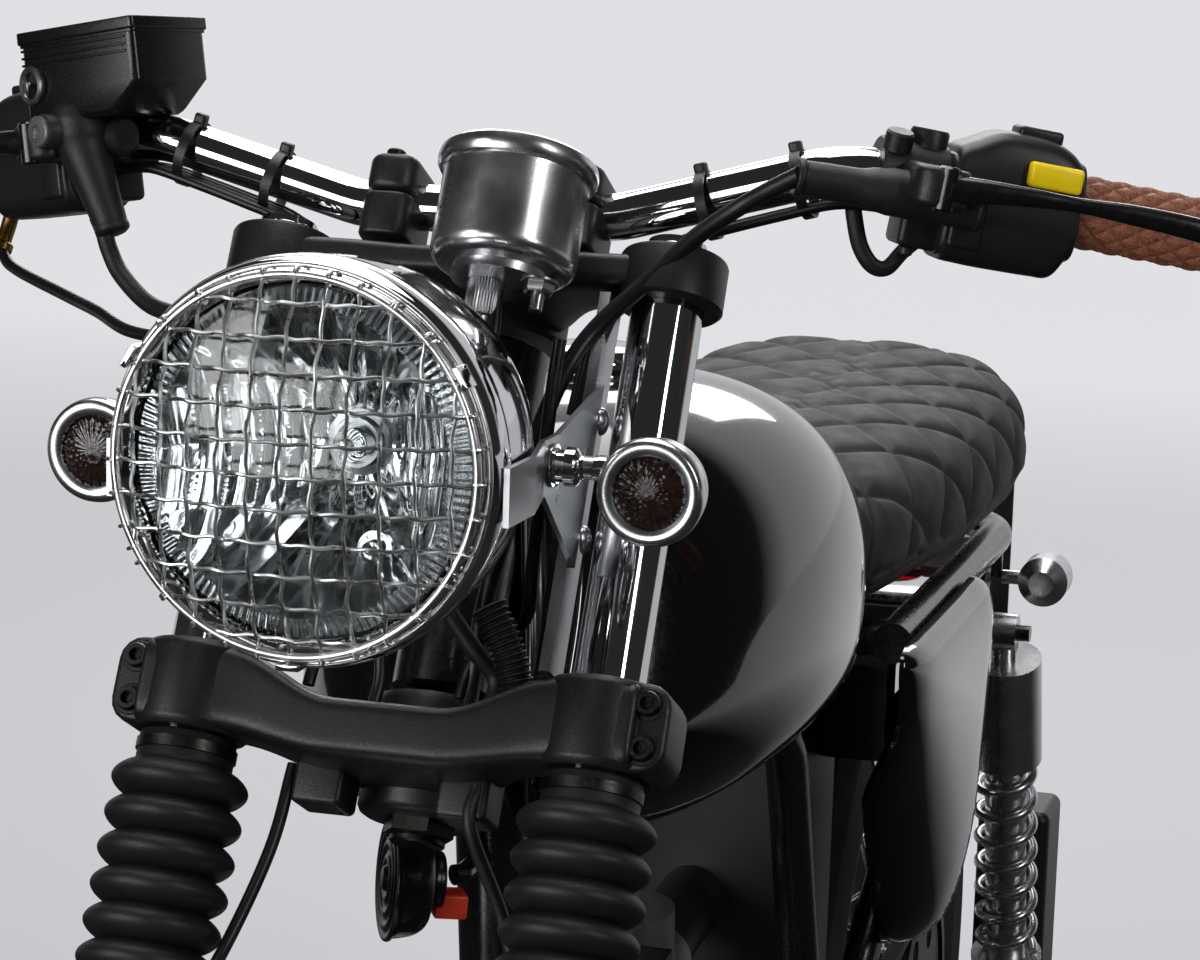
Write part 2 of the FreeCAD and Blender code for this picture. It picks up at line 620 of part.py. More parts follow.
def cone(radius_from, radius_to, height, at=(0, 0, 0), along="z"):
    """A tapering round from a point along a direction."""
    item = doc.addObject("Part::Cone", "Taper")
    bind(item, "Radius1", radius_from)
    bind(item, "Radius2", radius_to)
    bind(item, "Height", height)
    place(item, at, *TURNS[along])
    return item


def ball(radius, at=(0, 0, 0)):
    """A ball."""
    item = doc.addObject("Part::Sphere", "Ball")
    bind(item, "Radius", radius)
    place(item, at)
    return item


def torus(radius, wire, at=(0, 0, 0), along="z"):
    """A ring of round section."""
    item = doc.addObject("Part::Torus", "Ring")
    bind(item, "Radius1", radius)
    bind(item, "Radius2", wire)
    place(item, at, *TURNS[along])
    return item


def block(low, high):
    """A box between its low corner and its high corner."""
    item = doc.addObject("Part::Box", "Block")
    for prop, a, b in zip(("Length", "Width", "Height"), low, high):
        bind(item, prop, size_of(b) - a)
    place(item, low)
    return item


def prism(sides, radius, height, at=(0, 0, 0), along="z"):
    """A bar with equal flats."""
    item = doc.addObject("Part::Prism", "Flats")
    item.Polygon = sides
    bind(item, "Circumradius", radius)
    bind(item, "Height", height)
    place(item, at, *TURNS[along])
    return item


def union(*items):
    """Several pieces joined."""
    if len(items) == 1:
        return items[0]
    item = doc.addObject("Part::MultiFuse", "Joined")
    item.Shapes = list(items)
    return item


def turned_with(item, frame):
    """A piece carried by a frame's turn about its own origin."""
    holder = doc.addObject("Part::Compound", "Turned")
    holder.Links = [item]
    place(holder, (0, 0, 0), frame["axis"], frame["angle"])
    return holder


def minus(base, *tools):
    """A piece with others cut out of it."""
    item = doc.addObject("Part::Cut", "Cut")
    item.Base = base
    item.Tool = union(*tools)
    return item


def both(item):
    """A piece and its mirror image across the middle plane."""
    twin = doc.addObject("Part::Mirroring", "Twin")
    twin.Source = item
    twin.Normal = Vector(1, 0, 0)
    return union(item, twin)


def tube(outer, inner, height, at=(0, 0, 0), along="z"):
    """A round tube."""
    item = minus(cylinder(outer, height, at, along), cylinder(inner, height, at, along))
    return item


# Bodies drawn from sketches
def origin_plane(body, role):
    """One of a body's own origin planes."""
    return next(f for f in body.Origin.OriginFeatures if f.Role == role)


def pin(sketch, edge, u, v):
    """Tie an edge's first point to two sizes."""
    for kind, line, size in (("DistanceX", -2, size_of(u)), ("DistanceY", -1, size_of(v))):
        if size.value == 0:
            sketch.addConstraint(Sketcher.Constraint("PointOnObject", edge, 1, line))
            continue
        k = sketch.addConstraint(Sketcher.Constraint(kind, -1, 1, edge, 1, size.value))
        if "Sizes" in size.text:
            sketch.setExpression(f"Constraints[{k}]", size.text)


def outline(body, role, points):
    """A closed outline on a body's own plane; every corner is tied to its sizes."""
    sketch = body.newObject("Sketcher::SketchObject", "Outline")
    sketch.AttachmentSupport = [(origin_plane(body, role), "")]
    sketch.MapMode = "FlatFace"
    corners = [Vector(float(u), float(v), 0) for u, v in points]
    for start, end in zip(corners, corners[1:] + corners[:1]):
        sketch.addGeometry(Part.LineSegment(start, end), False)
    count = len(points)
    for k in range(count):
        sketch.addConstraint(Sketcher.Constraint("Coincident", k, 2, (k + 1) % count, 1))
    for k, (u, v) in enumerate(points):
        pin(sketch, k, u, v)
    return sketch


def turned(points, turn=360, name="Turned"):
    """A body turned about its own Z from an outline of radius and height."""
    body = doc.addObject("PartDesign::Body", name)
    sketch = outline(body, "XZ_Plane", points)
    feature = body.newObject("PartDesign::Revolution", "Turning")
    feature.Profile = sketch
    feature.ReferenceAxis = (sketch, ["V_Axis"])
    bind(feature, "Angle", turn)
    sketch.Visibility = False
    return body


def plate(points, thickness, role="XY_Plane", name="Plate"):
    """A body drawn as an outline and given a thickness."""
    body = doc.addObject("PartDesign::Body", name)
    sketch = outline(body, role, points)
    feature = body.newObject("PartDesign::Pad", "Thickness")
    feature.Profile = sketch
    bind(feature, "Length", thickness)
    sketch.Visibility = False
    return body


def wheel_body(points, name="Turned"):
    """A body turned about the wheel's axis, X, from an outline of place along the axis and radius."""
    body = doc.addObject("PartDesign::Body", name)
    sketch = outline(body, "XY_Plane", points)
    feature = body.newObject("PartDesign::Revolution", "Turning")
    feature.Profile = sketch
    feature.ReferenceAxis = (sketch, ["H_Axis"])
    feature.Angle = 360
    sketch.Visibility = False
    return body


# Shapes that run freely through space
def free(shape, name="Free"):
    """A worked-out shape as a piece."""
    item = doc.addObject("Part::Feature", name)
    item.Shape = shape
    return item


def rounded_path(points, bend):
    """A wire of straight runs joined by tangent arcs of one radius."""
    points = [Vector(*[float(c) for c in p]) for p in points]
    edges = []
    start = points[0]
    for before, corner, after in zip(points, points[1:], points[2:]):
        to_before = (before - corner).normalize()
        to_after = (after - corner).normalize()
        half = to_before.getAngle(to_after) / 2
        reach = float(bend) / math.tan(half)
        middle = (to_before + to_after).normalize()
        hub = corner + middle * (float(bend) / math.sin(half))
        first = corner + to_before * reach
        last = corner + to_after * reach
        edges.append(Part.makeLine(start, first))
        edges.append(Part.Arc(first, hub - middle * float(bend), last).toShape())
        start = last
    edges.append(Part.makeLine(start, points[-1]))
    return Part.Wire(edges)


def swept(points, radius, bend):
    """A round bar along straight runs and bends."""
    wire = rounded_path(points, bend)
    start = wire.Edges[0]
    direction = start.tangentAt(start.FirstParameter)
    origin = start.valueAt(start.FirstParameter)
    disc = Part.Face(Part.Wire(Part.makeCircle(float(radius), origin, direction)))
    return wire.makePipe(disc)


def rod(start, end, radius):
    """A straight round bar between two points."""
    start = Vector(*[float(c) for c in start])
    end = Vector(*[float(c) for c in end])
    line = end - start
    return Part.makeCylinder(float(radius), line.Length, start, line)


def merged(shapes):
    """Several shapes as one."""
    return shapes[0].fuse(shapes[1:]).removeSplitter() if len(shapes) > 1 else shapes[0]


def mirrored(shape):
    """A shape's mirror image across the middle plane."""
    return shape.mirror(Vector(0, 0, 0), Vector(1, 0, 0))


# Points round a section, and steps to each side of the lower yoke's dip
SECTION_POINTS = 20
HALF_SHARE = 0.5
BEAM_STEPS = 8


def egg_section(half, low, high, waist, y, power):
    """A closed smooth section at a station along the row; its widest height is a share of its height."""
    half, low, high = float(half), float(low), float(high)
    middle = low + (high - low) * waist
    points = []
    for step in range(SECTION_POINTS):
        angle = 2 * math.pi * (step + HALF_SHARE) / SECTION_POINTS
        c, s = math.cos(angle), math.sin(angle)
        x = math.copysign(half * abs(c) ** (2 / power), c)
        reach = high - middle if s > 0 else middle - low
        points.append(Vector(x, float(y), middle + math.copysign(reach * abs(s) ** (2 / power), s)))
    curve = Part.BSplineCurve()
    curve.interpolate(points, PeriodicFlag=True)
    return Part.Wire([curve.toShape()])


# Fork and yokes, drawn in the fork's frame
YOKE_TOP = D.lower_yoke_low + D.lower_yoke_depth
TOP_LOW = D.upper_yoke_low
TOP_HIGH = D.upper_yoke_low + D.upper_yoke_depth
LEG = D.fork_half_spacing
STEM_Y = D.steer_offset
CLAMP_BORE = D.tube_radius + D.fit_gap
DISC_OUTER = D.disc_offset + D.disc_thickness / 2
DISC_INNER = D.disc_offset - D.disc_thickness / 2
CALIPER_OUTER = DISC_OUTER + D.disc_gap + D.caliper_outer_wall
CALIPER_INNER = DISC_INNER - D.disc_gap - D.caliper_inner_wall


def yoke_beam():
    """The lower yoke's web: its plan, cut to an edge that dips in the middle, seen from ahead."""
    low = D.lower_yoke_low - D.yoke_sag
    plan = plate(
        [(-LEG, -D.yoke_front), (LEG, -D.yoke_front), (LEG, D.yoke_web_back), (D.stem_boss_radius, STEM_Y),
         (-D.stem_boss_radius, STEM_Y), (-LEG, D.yoke_web_back)],
        D.lower_yoke_depth + D.yoke_sag,
    )
    place(plan, (0, 0, low))
    edges = []
    end, flat = LEG.value, D.yoke_flat.value
    for height, drop in ((YOKE_TOP - D.seat_gap, D.yoke_dip), (D.lower_yoke_low + D.seat_gap, D.yoke_sag)):
        points = []
        for step in range(-BEAM_STEPS, BEAM_STEPS + 1):
            x = end * step / BEAM_STEPS
            along = min(1, max(0, (abs(x) - flat) / (end - flat - D.tube_radius.value)))
            points.append(Vector(x, 0, height.value - drop.value * (1 + math.cos(math.pi * along)) / 2))
        curve = Part.BSplineCurve()
        curve.interpolate(points)
        edges.append(curve.toShape())
    ends = [edge.Vertexes for edge in edges]
    sides = [Part.makeLine(ends[0][k].Point, ends[1][k].Point) for k in (0, 1)]
    face = Part.Face(Part.Wire([edges[0], sides[1], edges[1], sides[0]]))
    face.translate(Vector(0, -D.yoke_front.value * 2, 0))
    elevation = free(face.extrude(Vector(0, STEM_Y.value * 2, 0)))
    beam = doc.addObject("Part::MultiCommon", "Beam")
    beam.Shapes = [plan, elevation]
    return beam


def lower_yoke():
    """Cast clamp that holds both fork tubes, with the steering stem and its four pinch bolts."""
    low = D.lower_yoke_low
    side = [
        cylinder(D.yoke_boss_radius, D.lower_yoke_depth, (LEG, 0, low)),
        block((LEG, -D.yoke_ear_half, low), (LEG + D.yoke_ear_reach, D.yoke_ear_half, YOKE_TOP)),
    ]
    middle = low + D.lower_yoke_depth / 2
    for rise in (D.clamp_bolt_rise, -D.clamp_bolt_rise):
        at = (LEG + D.clamp_bolt_side, -D.yoke_ear_half, middle + rise)
        side.append(cylinder(D.clamp_bolt_radius, D.clamp_bolt_height, at, "-y"))
    boss_low = low - D.stem_boss_drop
    boss = cylinder(D.stem_boss_radius, D.lower_yoke_depth + D.stem_boss_drop, (0, STEM_Y, boss_low))
    stem_length = TOP_HIGH + D.stem_nut_height - boss_low
    stem = cylinder(D.stem_radius, stem_length, (0, STEM_Y, boss_low))
    whole = union(yoke_beam(), boss, stem, both(union(*side)))
    cut = cylinder(CLAMP_BORE, D.lower_yoke_depth + D.overrun * 2, (LEG, 0, low - D.overrun))
    return node("lower_yoke", minus(whole, both(cut)), FORK)


def upper_yoke():
    """Top clamp with the stem nut."""
    web = plate(
        [(-LEG, -D.top_front), (LEG, -D.top_front), (LEG, D.yoke_web_back),
         (D.stem_boss_radius, STEM_Y + D.stem_radius),
         (-D.stem_boss_radius, STEM_Y + D.stem_radius), (-LEG, D.yoke_web_back)],
        D.upper_yoke_depth - D.top_relief * 2,
    )
    place(web, (0, 0, TOP_LOW + D.top_relief))
    legs = both(cylinder(D.top_boss_radius, D.upper_yoke_depth, (LEG, 0, TOP_LOW)))
    boss = cylinder(D.stem_boss_radius, D.upper_yoke_depth, (0, STEM_Y, TOP_LOW))
    whole = union(web, legs, boss)
    cut = [
        both(cylinder(CLAMP_BORE, D.upper_yoke_depth + D.overrun * 2, (LEG, 0, TOP_LOW - D.overrun))),
        cylinder(D.stem_radius + D.fit_gap, D.upper_yoke_depth + D.overrun * 2,
                 (0, STEM_Y, TOP_LOW - D.overrun)),
    ]
    nut = minus(
        prism(6, D.stem_nut_radius + D.clamp_bolt_height, D.stem_nut_height, (0, STEM_Y, TOP_HIGH)),
        cylinder(D.stem_radius + D.fit_gap, D.stem_nut_height + D.overrun * 2,
                 (0, STEM_Y, TOP_HIGH - D.overrun)),
    )
    return node("upper_yoke", union(minus(whole, *cut), nut), FORK)


def fork_legs():
    """Fork tubes with their caps, the sliders and the rubber gaiters."""
    foot = D.slider_top - D.slider_bore_depth
    bar = union(
        cylinder(D.tube_radius, TOP_HIGH - foot, (LEG, 0, foot)),
        cylinder(D.tube_radius - D.clamp_bolt_height, D.cap_height, (LEG, 0, TOP_HIGH)),
    )
    node("fork_tubes", both(bar), FORK)
    hollow = foot - D.seat_gap
    leg = union(
        cylinder(D.slider_radius, D.slider_top + D.slider_bottom, (LEG, 0, -D.slider_bottom)),
        cylinder(D.slider_radius, D.axle_lug_half * 2, (LEG - D.axle_lug_half, 0, 0), "x"),
    )
    bore = cylinder(CLAMP_BORE, D.slider_top - hollow + D.overrun, (LEG, 0, hollow))
    axle_hole = cylinder(D.axle_radius + D.fit_gap, D.axle_lug_half * 4, (LEG - D.axle_lug_half * 2, 0, 0),
                         "x")
    lug = block(
        (CALIPER_OUTER + D.seat_gap, D.slider_radius / 2, D.caliper_rise),
        (LEG, D.caliper_front + D.caliper_height / 2, D.caliper_rise + D.caliper_lug_height),
    )
    node("fork_sliders", union(both(minus(leg, bore, axle_hole)), lug), FORK)
    gaiters()


def gaiters():
    """Two folded rubber gaiters from the sliders up to the lower yoke."""
    top = D.lower_yoke_low - D.gaiter_top_gap
    foot_end = D.gaiter_low + D.gaiter_foot_height
    collar = top - D.gaiter_collar_height
    pitch = (collar - foot_end) / D.gaiter_folds
    outside = [(D.gaiter_foot_radius, D.gaiter_low), (D.gaiter_foot_radius, foot_end)]
    inside = [(D.slider_radius + D.fit_gap, D.gaiter_low), (D.slider_radius + D.fit_gap, foot_end)]
    for fold in range(int(D.gaiter_folds.value)):
        peak = foot_end + pitch * fold + pitch / 2
        valley = foot_end + pitch * (fold + 1)
        outside.append((D.gaiter_peak_radius, peak))
        inside.append((D.gaiter_peak_radius - D.gaiter_wall, peak))
        if fold < int(D.gaiter_folds.value) - 1:
            outside.append((D.gaiter_valley_radius, valley))
            inside.append((D.gaiter_valley_radius - D.gaiter_wall, valley))
    outside += [(D.gaiter_collar_radius, collar), (D.gaiter_collar_radius, top)]
    inside += [(CLAMP_BORE, collar), (CLAMP_BORE, top)]
    gaiter = turned(outside + inside[::-1])
    place(gaiter, (LEG, 0, 0))
    return node("fork_gaiters", both(gaiter), FORK)


def handlebar():
    """The bent handlebar, its two clamps, the grips and the switch housings."""
    y = D.bar_back
    s = TOP_HIGH + D.bar_rise
    frame = placement_of(FORK)
    centre = frame.multVec(Vector(0, y.value, s.value))
    rise = Vector(0, 0, D.bar_bend_rise.value)
    knee = Vector(D.bar_bend_reach.value, 0, 0) + rise
    end = Vector(D.bar_half_width.value, D.bar_sweep_back.value, D.bar_bend_rise.value - D.bar_end_drop.value)
    half = [Vector(D.bar_straight.value, 0, 0), knee, end]
    path = [Vector(-p.x, p.y, p.z) for p in half[::-1]] + half
    shape = swept([centre + p for p in path], D.bar_radius, D.bar_bend_radius)
    node("handlebar", free(shape))
    along = (end - knee).normalize()
    start = centre + knee + along * ((D.grip_start.value - D.bar_bend_reach.value) / along.x)
    length = (D.bar_half_width.value - D.grip_start.value) / along.x
    bore = D.bar_radius.value + D.fit_gap.value
    over = D.overrun.value

    def sleeve(radius, first, last):
        """A sleeve on the left end of the bar between two places along the grip's line."""
        outer = Part.makeCylinder(float(radius), last - first, start + along * first, along)
        inner = Part.makeCylinder(bore, last - first + over * 2, start + along * (first - over), along)
        return outer.cut(inner)

    flange = D.grip_flange.value
    grip = sleeve(D.grip_flange_radius, 0, flange).fuse(sleeve(D.grip_radius, flange, length - over))
    cap = Part.makeCylinder(D.grip_radius.value, over, start + along * length, along)
    grip = grip.fuse(cap).fuse(sleeve(D.grip_radius, length - over, length))
    node("grips", free(Part.makeCompound([grip, mirrored(grip)])))
    return centre, start, along


def bar_clamps():
    """Two risers that hold the handlebar on the upper yoke."""
    low = TOP_HIGH - D.top_relief + D.seat_gap
    y = D.bar_back
    half = D.clamp_width / 2
    side = D.clamp_spacing / 2
    front = y - D.clamp_front
    back = y + D.clamp_back
    top = TOP_HIGH + D.clamp_height
    riser = plate(
        [(front, low), (front, top - D.clamp_round), (front + D.clamp_round, top), (back, top), (back, low)],
        D.clamp_width, "YZ_Plane",
    )
    place(riser, (side - half, 0, 0))
    bore = cylinder(D.bar_radius + D.fit_gap, D.clamp_width * 2,
                    (side - D.clamp_width, y, TOP_HIGH + D.bar_rise), "x")
    return node("bar_clamps", both(minus(riser, bore)), FORK)


def grip_frame():
    """Where the left grip starts, its direction outward, to the rear and upward."""
    centre = to_row(FORK, 0, D.bar_back, TOP_HIGH + D.bar_rise)
    knee = Vector(D.bar_bend_reach.value, 0, D.bar_bend_rise.value)
    end = Vector(D.bar_half_width.value, D.bar_sweep_back.value, D.bar_bend_rise.value - D.bar_end_drop.value)
    along = (end - knee).normalize()
    start = centre + knee + along * ((D.grip_start.value - D.bar_bend_reach.value) / along.x)
    back = Vector(0, 0, 1).cross(along).normalize()
    return start, along, back, along.cross(back)


def on_grip(shape):
    """A shape drawn along a grip line carried to the left grip: X outward, Y to the rear, Z up."""
    start, along, back, up = grip_frame()
    matrix = FreeCAD.Matrix(
        along.x, back.x, up.x, start.x, along.y, back.y, up.y, start.y, along.z, back.z, up.z, start.z, 0, 0,
        0, 1
    )
    return moved(shape, matrix)


def moved(shape, matrix):
    """A copy of a shape carried by a rigid motion."""
    copy = shape.copy()
    copy.Placement = Placement(matrix).multiply(copy.Placement)
    return copy


def slab(low, high):
    """A plain box shape between two corners."""
    low = [float(c) for c in low]
    high = [float(c) for c in high]
    return Part.makeBox(high[0] - low[0], high[1] - low[1], high[2] - low[2], Vector(*low))


def round_bar(radius, start, direction, length):
    """A plain round bar shape."""
    return Part.makeCylinder(float(radius), float(length), Vector(*[float(c) for c in start]),
                             Vector(*direction))


def controls():
    """Switch housings, both levers with their perches and boots, and the brake reservoir."""
    gap = D.overrun / 2
    bore = round_bar(D.bar_radius + D.fit_gap, (-D.grip_start, 0, 0), (1, 0, 0), D.grip_start)
    low = -(D.switch_length + gap)
    perch_end = low - gap
    perch_start = perch_end - D.perch_length
    housing = slab((low, -D.switch_width / 2, -D.switch_down), (-gap, D.switch_width / 2, D.switch_up))
    housing = housing.makeFillet(D.overrun.value, housing.Edges).cut(bore)
    left = on_grip(housing)
    node("switchgear", free(Part.makeCompound([left, mirrored(left)])))
    perch = round_bar(D.perch_radius, (perch_start, 0, 0), (1, 0, 0), D.perch_length)
    arm = slab(
        (perch_start, -D.perch_reach - D.lever_width, -D.lever_width / 2), (perch_end, 0, D.lever_width / 2)
    )
    middle = perch_start + D.perch_length / 2
    boss = round_bar(D.mirror_boss_radius, (middle, 0, 0), (0, 0, 1), D.mirror_boss_height)
    hole = round_bar(
        D.mirror_hole_radius, (middle, 0, D.mirror_boss_height - D.mirror_hole_depth), (0, 0, 1),
        D.mirror_boss_height
    )
    slot = slab(
        (middle, -D.perch_reach - D.lever_width * 2, -D.lever_thickness / 2 - D.seat_gap),
        (perch_end + D.overrun, -D.perch_reach + D.lever_width / 2, D.lever_thickness / 2 + D.seat_gap),
    )
    blade_start = (middle + D.seat_gap, -D.perch_reach - D.lever_width / 2, 0)
    end = (blade_start[0] + D.lever_length, blade_start[1] - D.lever_width / 2, 0)
    blade = rod(blade_start, end, D.lever_thickness / 2)
    knob = Part.makeSphere(D.lever_ball_radius.value, Vector(*[float(c) for c in end]))
    boot = round_bar(
        D.boot_radius, (perch_start - D.boot_length, -D.perch_reach + D.boot_radius, 0), (1, 0, 0),
        D.boot_length
    )
    clutch = perch.fuse([arm, boss]).cut(slot).fuse([blade, knob, boot]).cut(bore).cut(hole)
    node("clutch_lever", free(on_grip(clutch)))
    tank_low = (perch_end - D.reservoir_side, -D.perch_reach, D.reservoir_rise)
    tank_high = (perch_end, D.reservoir_side - D.perch_reach, D.reservoir_rise + D.reservoir_height)
    tank = slab(tank_low, tank_high)
    tank = tank.makeFillet(D.overrun.value, tank.Edges)
    foot = slab(
        (middle - D.perch_radius / 2, -D.perch_reach, 0),
        (middle + D.perch_radius / 2, 0, D.reservoir_rise + D.overrun),
    )
    foot_end = Vector(float(perch_start + D.boot_tip_radius), float(D.boot_radius - D.perch_reach), 0)
    lean = Vector(-D.master_boot_side.value, 0, -D.master_boot_drop.value)
    master = Part.makeCone(D.boot_radius.value, D.boot_tip_radius.value, lean.Length, foot_end, lean)
    brake = perch.fuse([arm, foot, tank, master]).cut(slot).fuse([blade, knob]).cut(bore)
    node("brake_lever", free(mirrored(on_grip(brake))))


# Cables, as points in the fork's frame
CLUTCH_RUN = [
    (142.6, -27.8, 748.2), (118.4, -28.4, 731.2), (100.5, -48.6, 718.8), (76.2, -36.9, 695.7),
    (55.4, -25.6, 678.1),
    (45, -12, 640), (30, 8, 585), (25, 24, 552), (25, 24, 527.2),
]
THROTTLE_RUN = [
    (-256.4, 30.3, 744.5), (-187.7, -18, 707.2), (-127.2, -55.4, 670.3), (-90, -46, 682), (-58, -28, 672),
    (-35, -5, 620), (-20, 22, 556), (-20, 24, 527.2),
]
HOSE_RUN = [
    (-160, -39, 716), (-135.8, -57.4, 692), (-111.5, -65.3, 678.7), (-74, -52, 673), (-46, -30, 652),
    (-5, -20, 600),
    (28, 0, 560), (40, 10, 547), (40, 10, 532.6),
]
HOSE_FOOT_RUN = [
    (40, 10, 498), (40, 10, 478), (56, 34, 440), (66, 36, 400), (66, 36, 220), (60, 50, 182), (58, 52, 156.4),
]
DIAL_RUN = [(34, -62, 676), (12, -50, 658), (-40, -35, 620), (-50, -5, 572), (-48.6, 14, 552),
            (-48.6, 14, 536.8)]
DIAL_FOOT_RUN = [
    (-48.6, 14, 499.6), (-49.9, 7.6, 459), (-60.4, -0.6, 409), (-65, -33, 362), (-78, -31, 220),
    (-78, -28, 110),
]
ARC_SHARE = 0.45


def cord(points):
    """A cable of straight runs joined by tangent arcs, each as wide as the shorter run beside it allows."""
    points = [Vector(*[float(c) for c in p]) for p in points]
    edges = []
    start = points[0]
    for before, corner, after in zip(points, points[1:], points[2:]):
        inward = corner - before
        outward = after - corner
        reach = min(inward.Length, outward.Length) * ARC_SHARE
        inward.normalize()
        outward.normalize()
        half = inward.getAngle(outward) / 2
        bend = reach / math.tan(half)
        to_hub = (outward - inward).normalize()
        hub = corner + to_hub * (bend / math.cos(half))
        first = corner - inward * reach
        last = corner + outward * reach
        edges.append(Part.LineSegment(start, first).toShape())
        edges.append(Part.Arc(first, hub - to_hub * bend, last).toShape())
        start = last
    edges.append(Part.LineSegment(start, points[-1]).toShape())
    wire = Part.Wire(edges)
    tip = Part.Face(Part.Wire(Part.makeCircle(D.cable_radius.value, points[0], points[1] - points[0])))
    return wire.makePipe(tip)


def at_grip(side, x, y, z):
    """A point along the grip of one side, in the fork's frame."""
    start, along, back, up = grip_frame()
    point = start + along * float(x) + back * float(y) + up * float(z)
    return to_frame(FORK, side * point.x, point.y, point.z)


def cables():
    """Clutch, throttle and speedometer cables and the brake hose, led past the headlamp to the lower yoke."""
    low = -(D.switch_length + D.overrun)
    perch_start = low - D.perch_length
    boot_y = D.boot_radius - D.perch_reach
    boot_end = perch_start - D.boot_length
    clutch = [at_grip(1, boot_end - D.seat_gap, boot_y, 0),
              at_grip(1, boot_end - D.boot_tip_radius * 2, boot_y, 0)]
    middle = low / 2
    under = -D.switch_down - D.seat_gap
    throttle = [at_grip(-1, middle, 0, under), at_grip(-1, middle, 0, under - D.boot_tip_radius * 2)]
    dial_low = TOP_HIGH + D.dial_rise - D.dial_height - D.boot_length / 3
    dial = [(D.dial_side, -D.dial_ahead, dial_low - D.seat_gap)]
    turn = math.radians(D.drive_stub_turn.value)
    stub = Vector(0, -math.sin(turn), math.cos(turn))
    box = Vector(-(D.drive_inner + LEG - D.axle_lug_half - D.seat_gap).value / 2, 0, 0)
    stub_end = box + stub * (D.drive_radius + D.drive_stub_length + D.seat_gap).value
    foot = [stub_end + stub * D.drive_stub_length.value, stub_end]
    runs = [clutch + CLUTCH_RUN, throttle + THROTTLE_RUN, dial + DIAL_RUN, DIAL_FOOT_RUN + foot]
    node("control_cables", free(Part.makeCompound([cord(run) for run in runs])), FORK)
    tip_x = perch_start + D.boot_tip_radius - D.master_boot_side
    lean = Vector(-D.master_boot_side.value, 0, -D.master_boot_drop.value).normalize()
    gap = lean * D.seat_gap.value
    far = lean * (D.boot_tip_radius.value * 2)
    hose = [at_grip(-1, tip_x + step.x, boot_y, step.z - D.master_boot_drop) for step in (gap, far)]
    node("brake_hose", free(Part.makeCompound([cord(hose + HOSE_RUN), cord(HOSE_FOOT_RUN)])), FORK)


# Headlamp, in its own frame that runs from its front to the rear; its bowl and its reflector as shares of their
# radius and depth
BOWL_SHARES = [(1, 0.16), (0.985, 0.32), (0.93, 0.52), (0.8, 0.72), (0.58, 0.9)]
REFLECTOR_SHARES = [(0.98, 0.14), (0.9, 0.3), (0.76, 0.52), (0.56, 0.75), (0.33, 0.92)]


def headlamp():
    """Bucket with a bright rim, reflector with its bulb cap, domed glass and a welded mesh guard."""
    r, wall, depth = D.lamp_rim_radius, D.lamp_wall, D.lamp_depth
    outside = [(r * a, depth * b) for a, b in BOWL_SHARES] + [(D.lamp_back_radius, depth), (0, depth)]
    inside = [(r * a - wall, depth * b) for a, b in BOWL_SHARES[:-1]] + [(D.lamp_back_radius, depth - wall * 2),
                                                                  (0, depth - wall * 2)]
    front = [(D.lens_radius + D.seat_gap, 0), (r, 0)]
    back = [(D.lens_radius + D.seat_gap, D.lens_thickness * 2)]
    shell = turned(front + outside + inside[::-1] + back)
    node("headlamp_shell", shell, LAMP)
    lens, deep = D.lens_radius, D.reflector_depth
    outside = [(lens * a, deep * b + D.lens_thickness + D.seat_gap) for a, b in REFLECTOR_SHARES]
    deep_end = deep + D.lens_thickness + D.seat_gap
    ring = [(lens, D.lens_thickness + D.seat_gap)]
    inside = [(lens * a - wall, deep * b + D.lens_thickness + D.seat_gap) for a, b in REFLECTOR_SHARES]
    bulb = deep_end - D.bulb_length
    points = (
        ring + outside + [(D.bulb_radius + wall, deep_end), (0, deep_end), (0, bulb), (D.bulb_radius, bulb),
                          (D.bulb_radius, deep_end - wall * 2)]
        + inside[::-1] + [(lens - wall * 2, D.lens_thickness + D.seat_gap)]
    )
    node("headlamp_reflector", turned(points), LAMP)
    curve = (lens * lens + D.lens_dome * D.lens_dome) / (D.lens_dome * 2)
    dome = minus(ball(curve, (0, 0, curve - D.lens_dome)),
                 ball(curve - D.lens_thickness, (0, 0, curve - D.lens_dome)))
    pane = doc.addObject("Part::MultiCommon", "Pane")
    pane.Shapes = [dome, cylinder(lens, D.lens_dome * 2, (0, 0, D.lens_thickness - D.lens_dome * 2))]
    node("headlamp_lens", pane, LAMP)
    headlamp_grille()


def headlamp_grille():
    """Domed wire mesh in a ring, held ahead of the headlamp by three clips."""
    radius, dome = D.grille_radius.value, D.grille_dome.value
    wire = D.grille_wire.value
    curve = (radius * radius + dome * dome) / (2 * dome)
    plane = -D.grille_stand_off.value
    hub = Vector(0, 0, plane - dome + curve)
    ring = Part.makeTorus(radius, wire * 1.5, Vector(0, 0, plane), Vector(0, 0, 1))
    count = int(radius / D.grille_pitch.value)
    wires = []
    for step in range(-count, count + 1):
        place_at = step * D.grille_pitch.value
        half = math.sqrt(radius * radius - place_at * place_at)
        if half < D.grille_pitch.value:
            continue
        for across in (0, 1):
            bow = curve + across * wire * 1.6
            small = math.sqrt(bow * bow - place_at * place_at)
            spread = math.asin(half / small)
            points = []
            for turn in (-spread, 0, spread):
                u, w = small * math.sin(turn), hub.z - small * math.cos(turn)
                points.append(Vector(place_at, u, w) if across else Vector(u, place_at, w))
            arc = Part.Arc(*points).toShape()
            tip = Part.Wire(Part.makeCircle(wire, points[0], arc.tangentAt(arc.FirstParameter)))
            wires.append(Part.Wire(arc).makePipeShell([tip], True, True))
    clips = []
    for turn in (90, 210, 330):
        clip = slab((radius - wire, -D.lamp_wall * 3, plane),
                    (radius + wire * 2, D.lamp_wall * 3, -D.seat_gap))
        clip.rotate(Vector(0, 0, 0), Vector(0, 0, 1), turn)
        clips.append(clip)
    whole = ring.fuse(wires + clips)
    node("headlamp_grille", free(whole), LAMP)


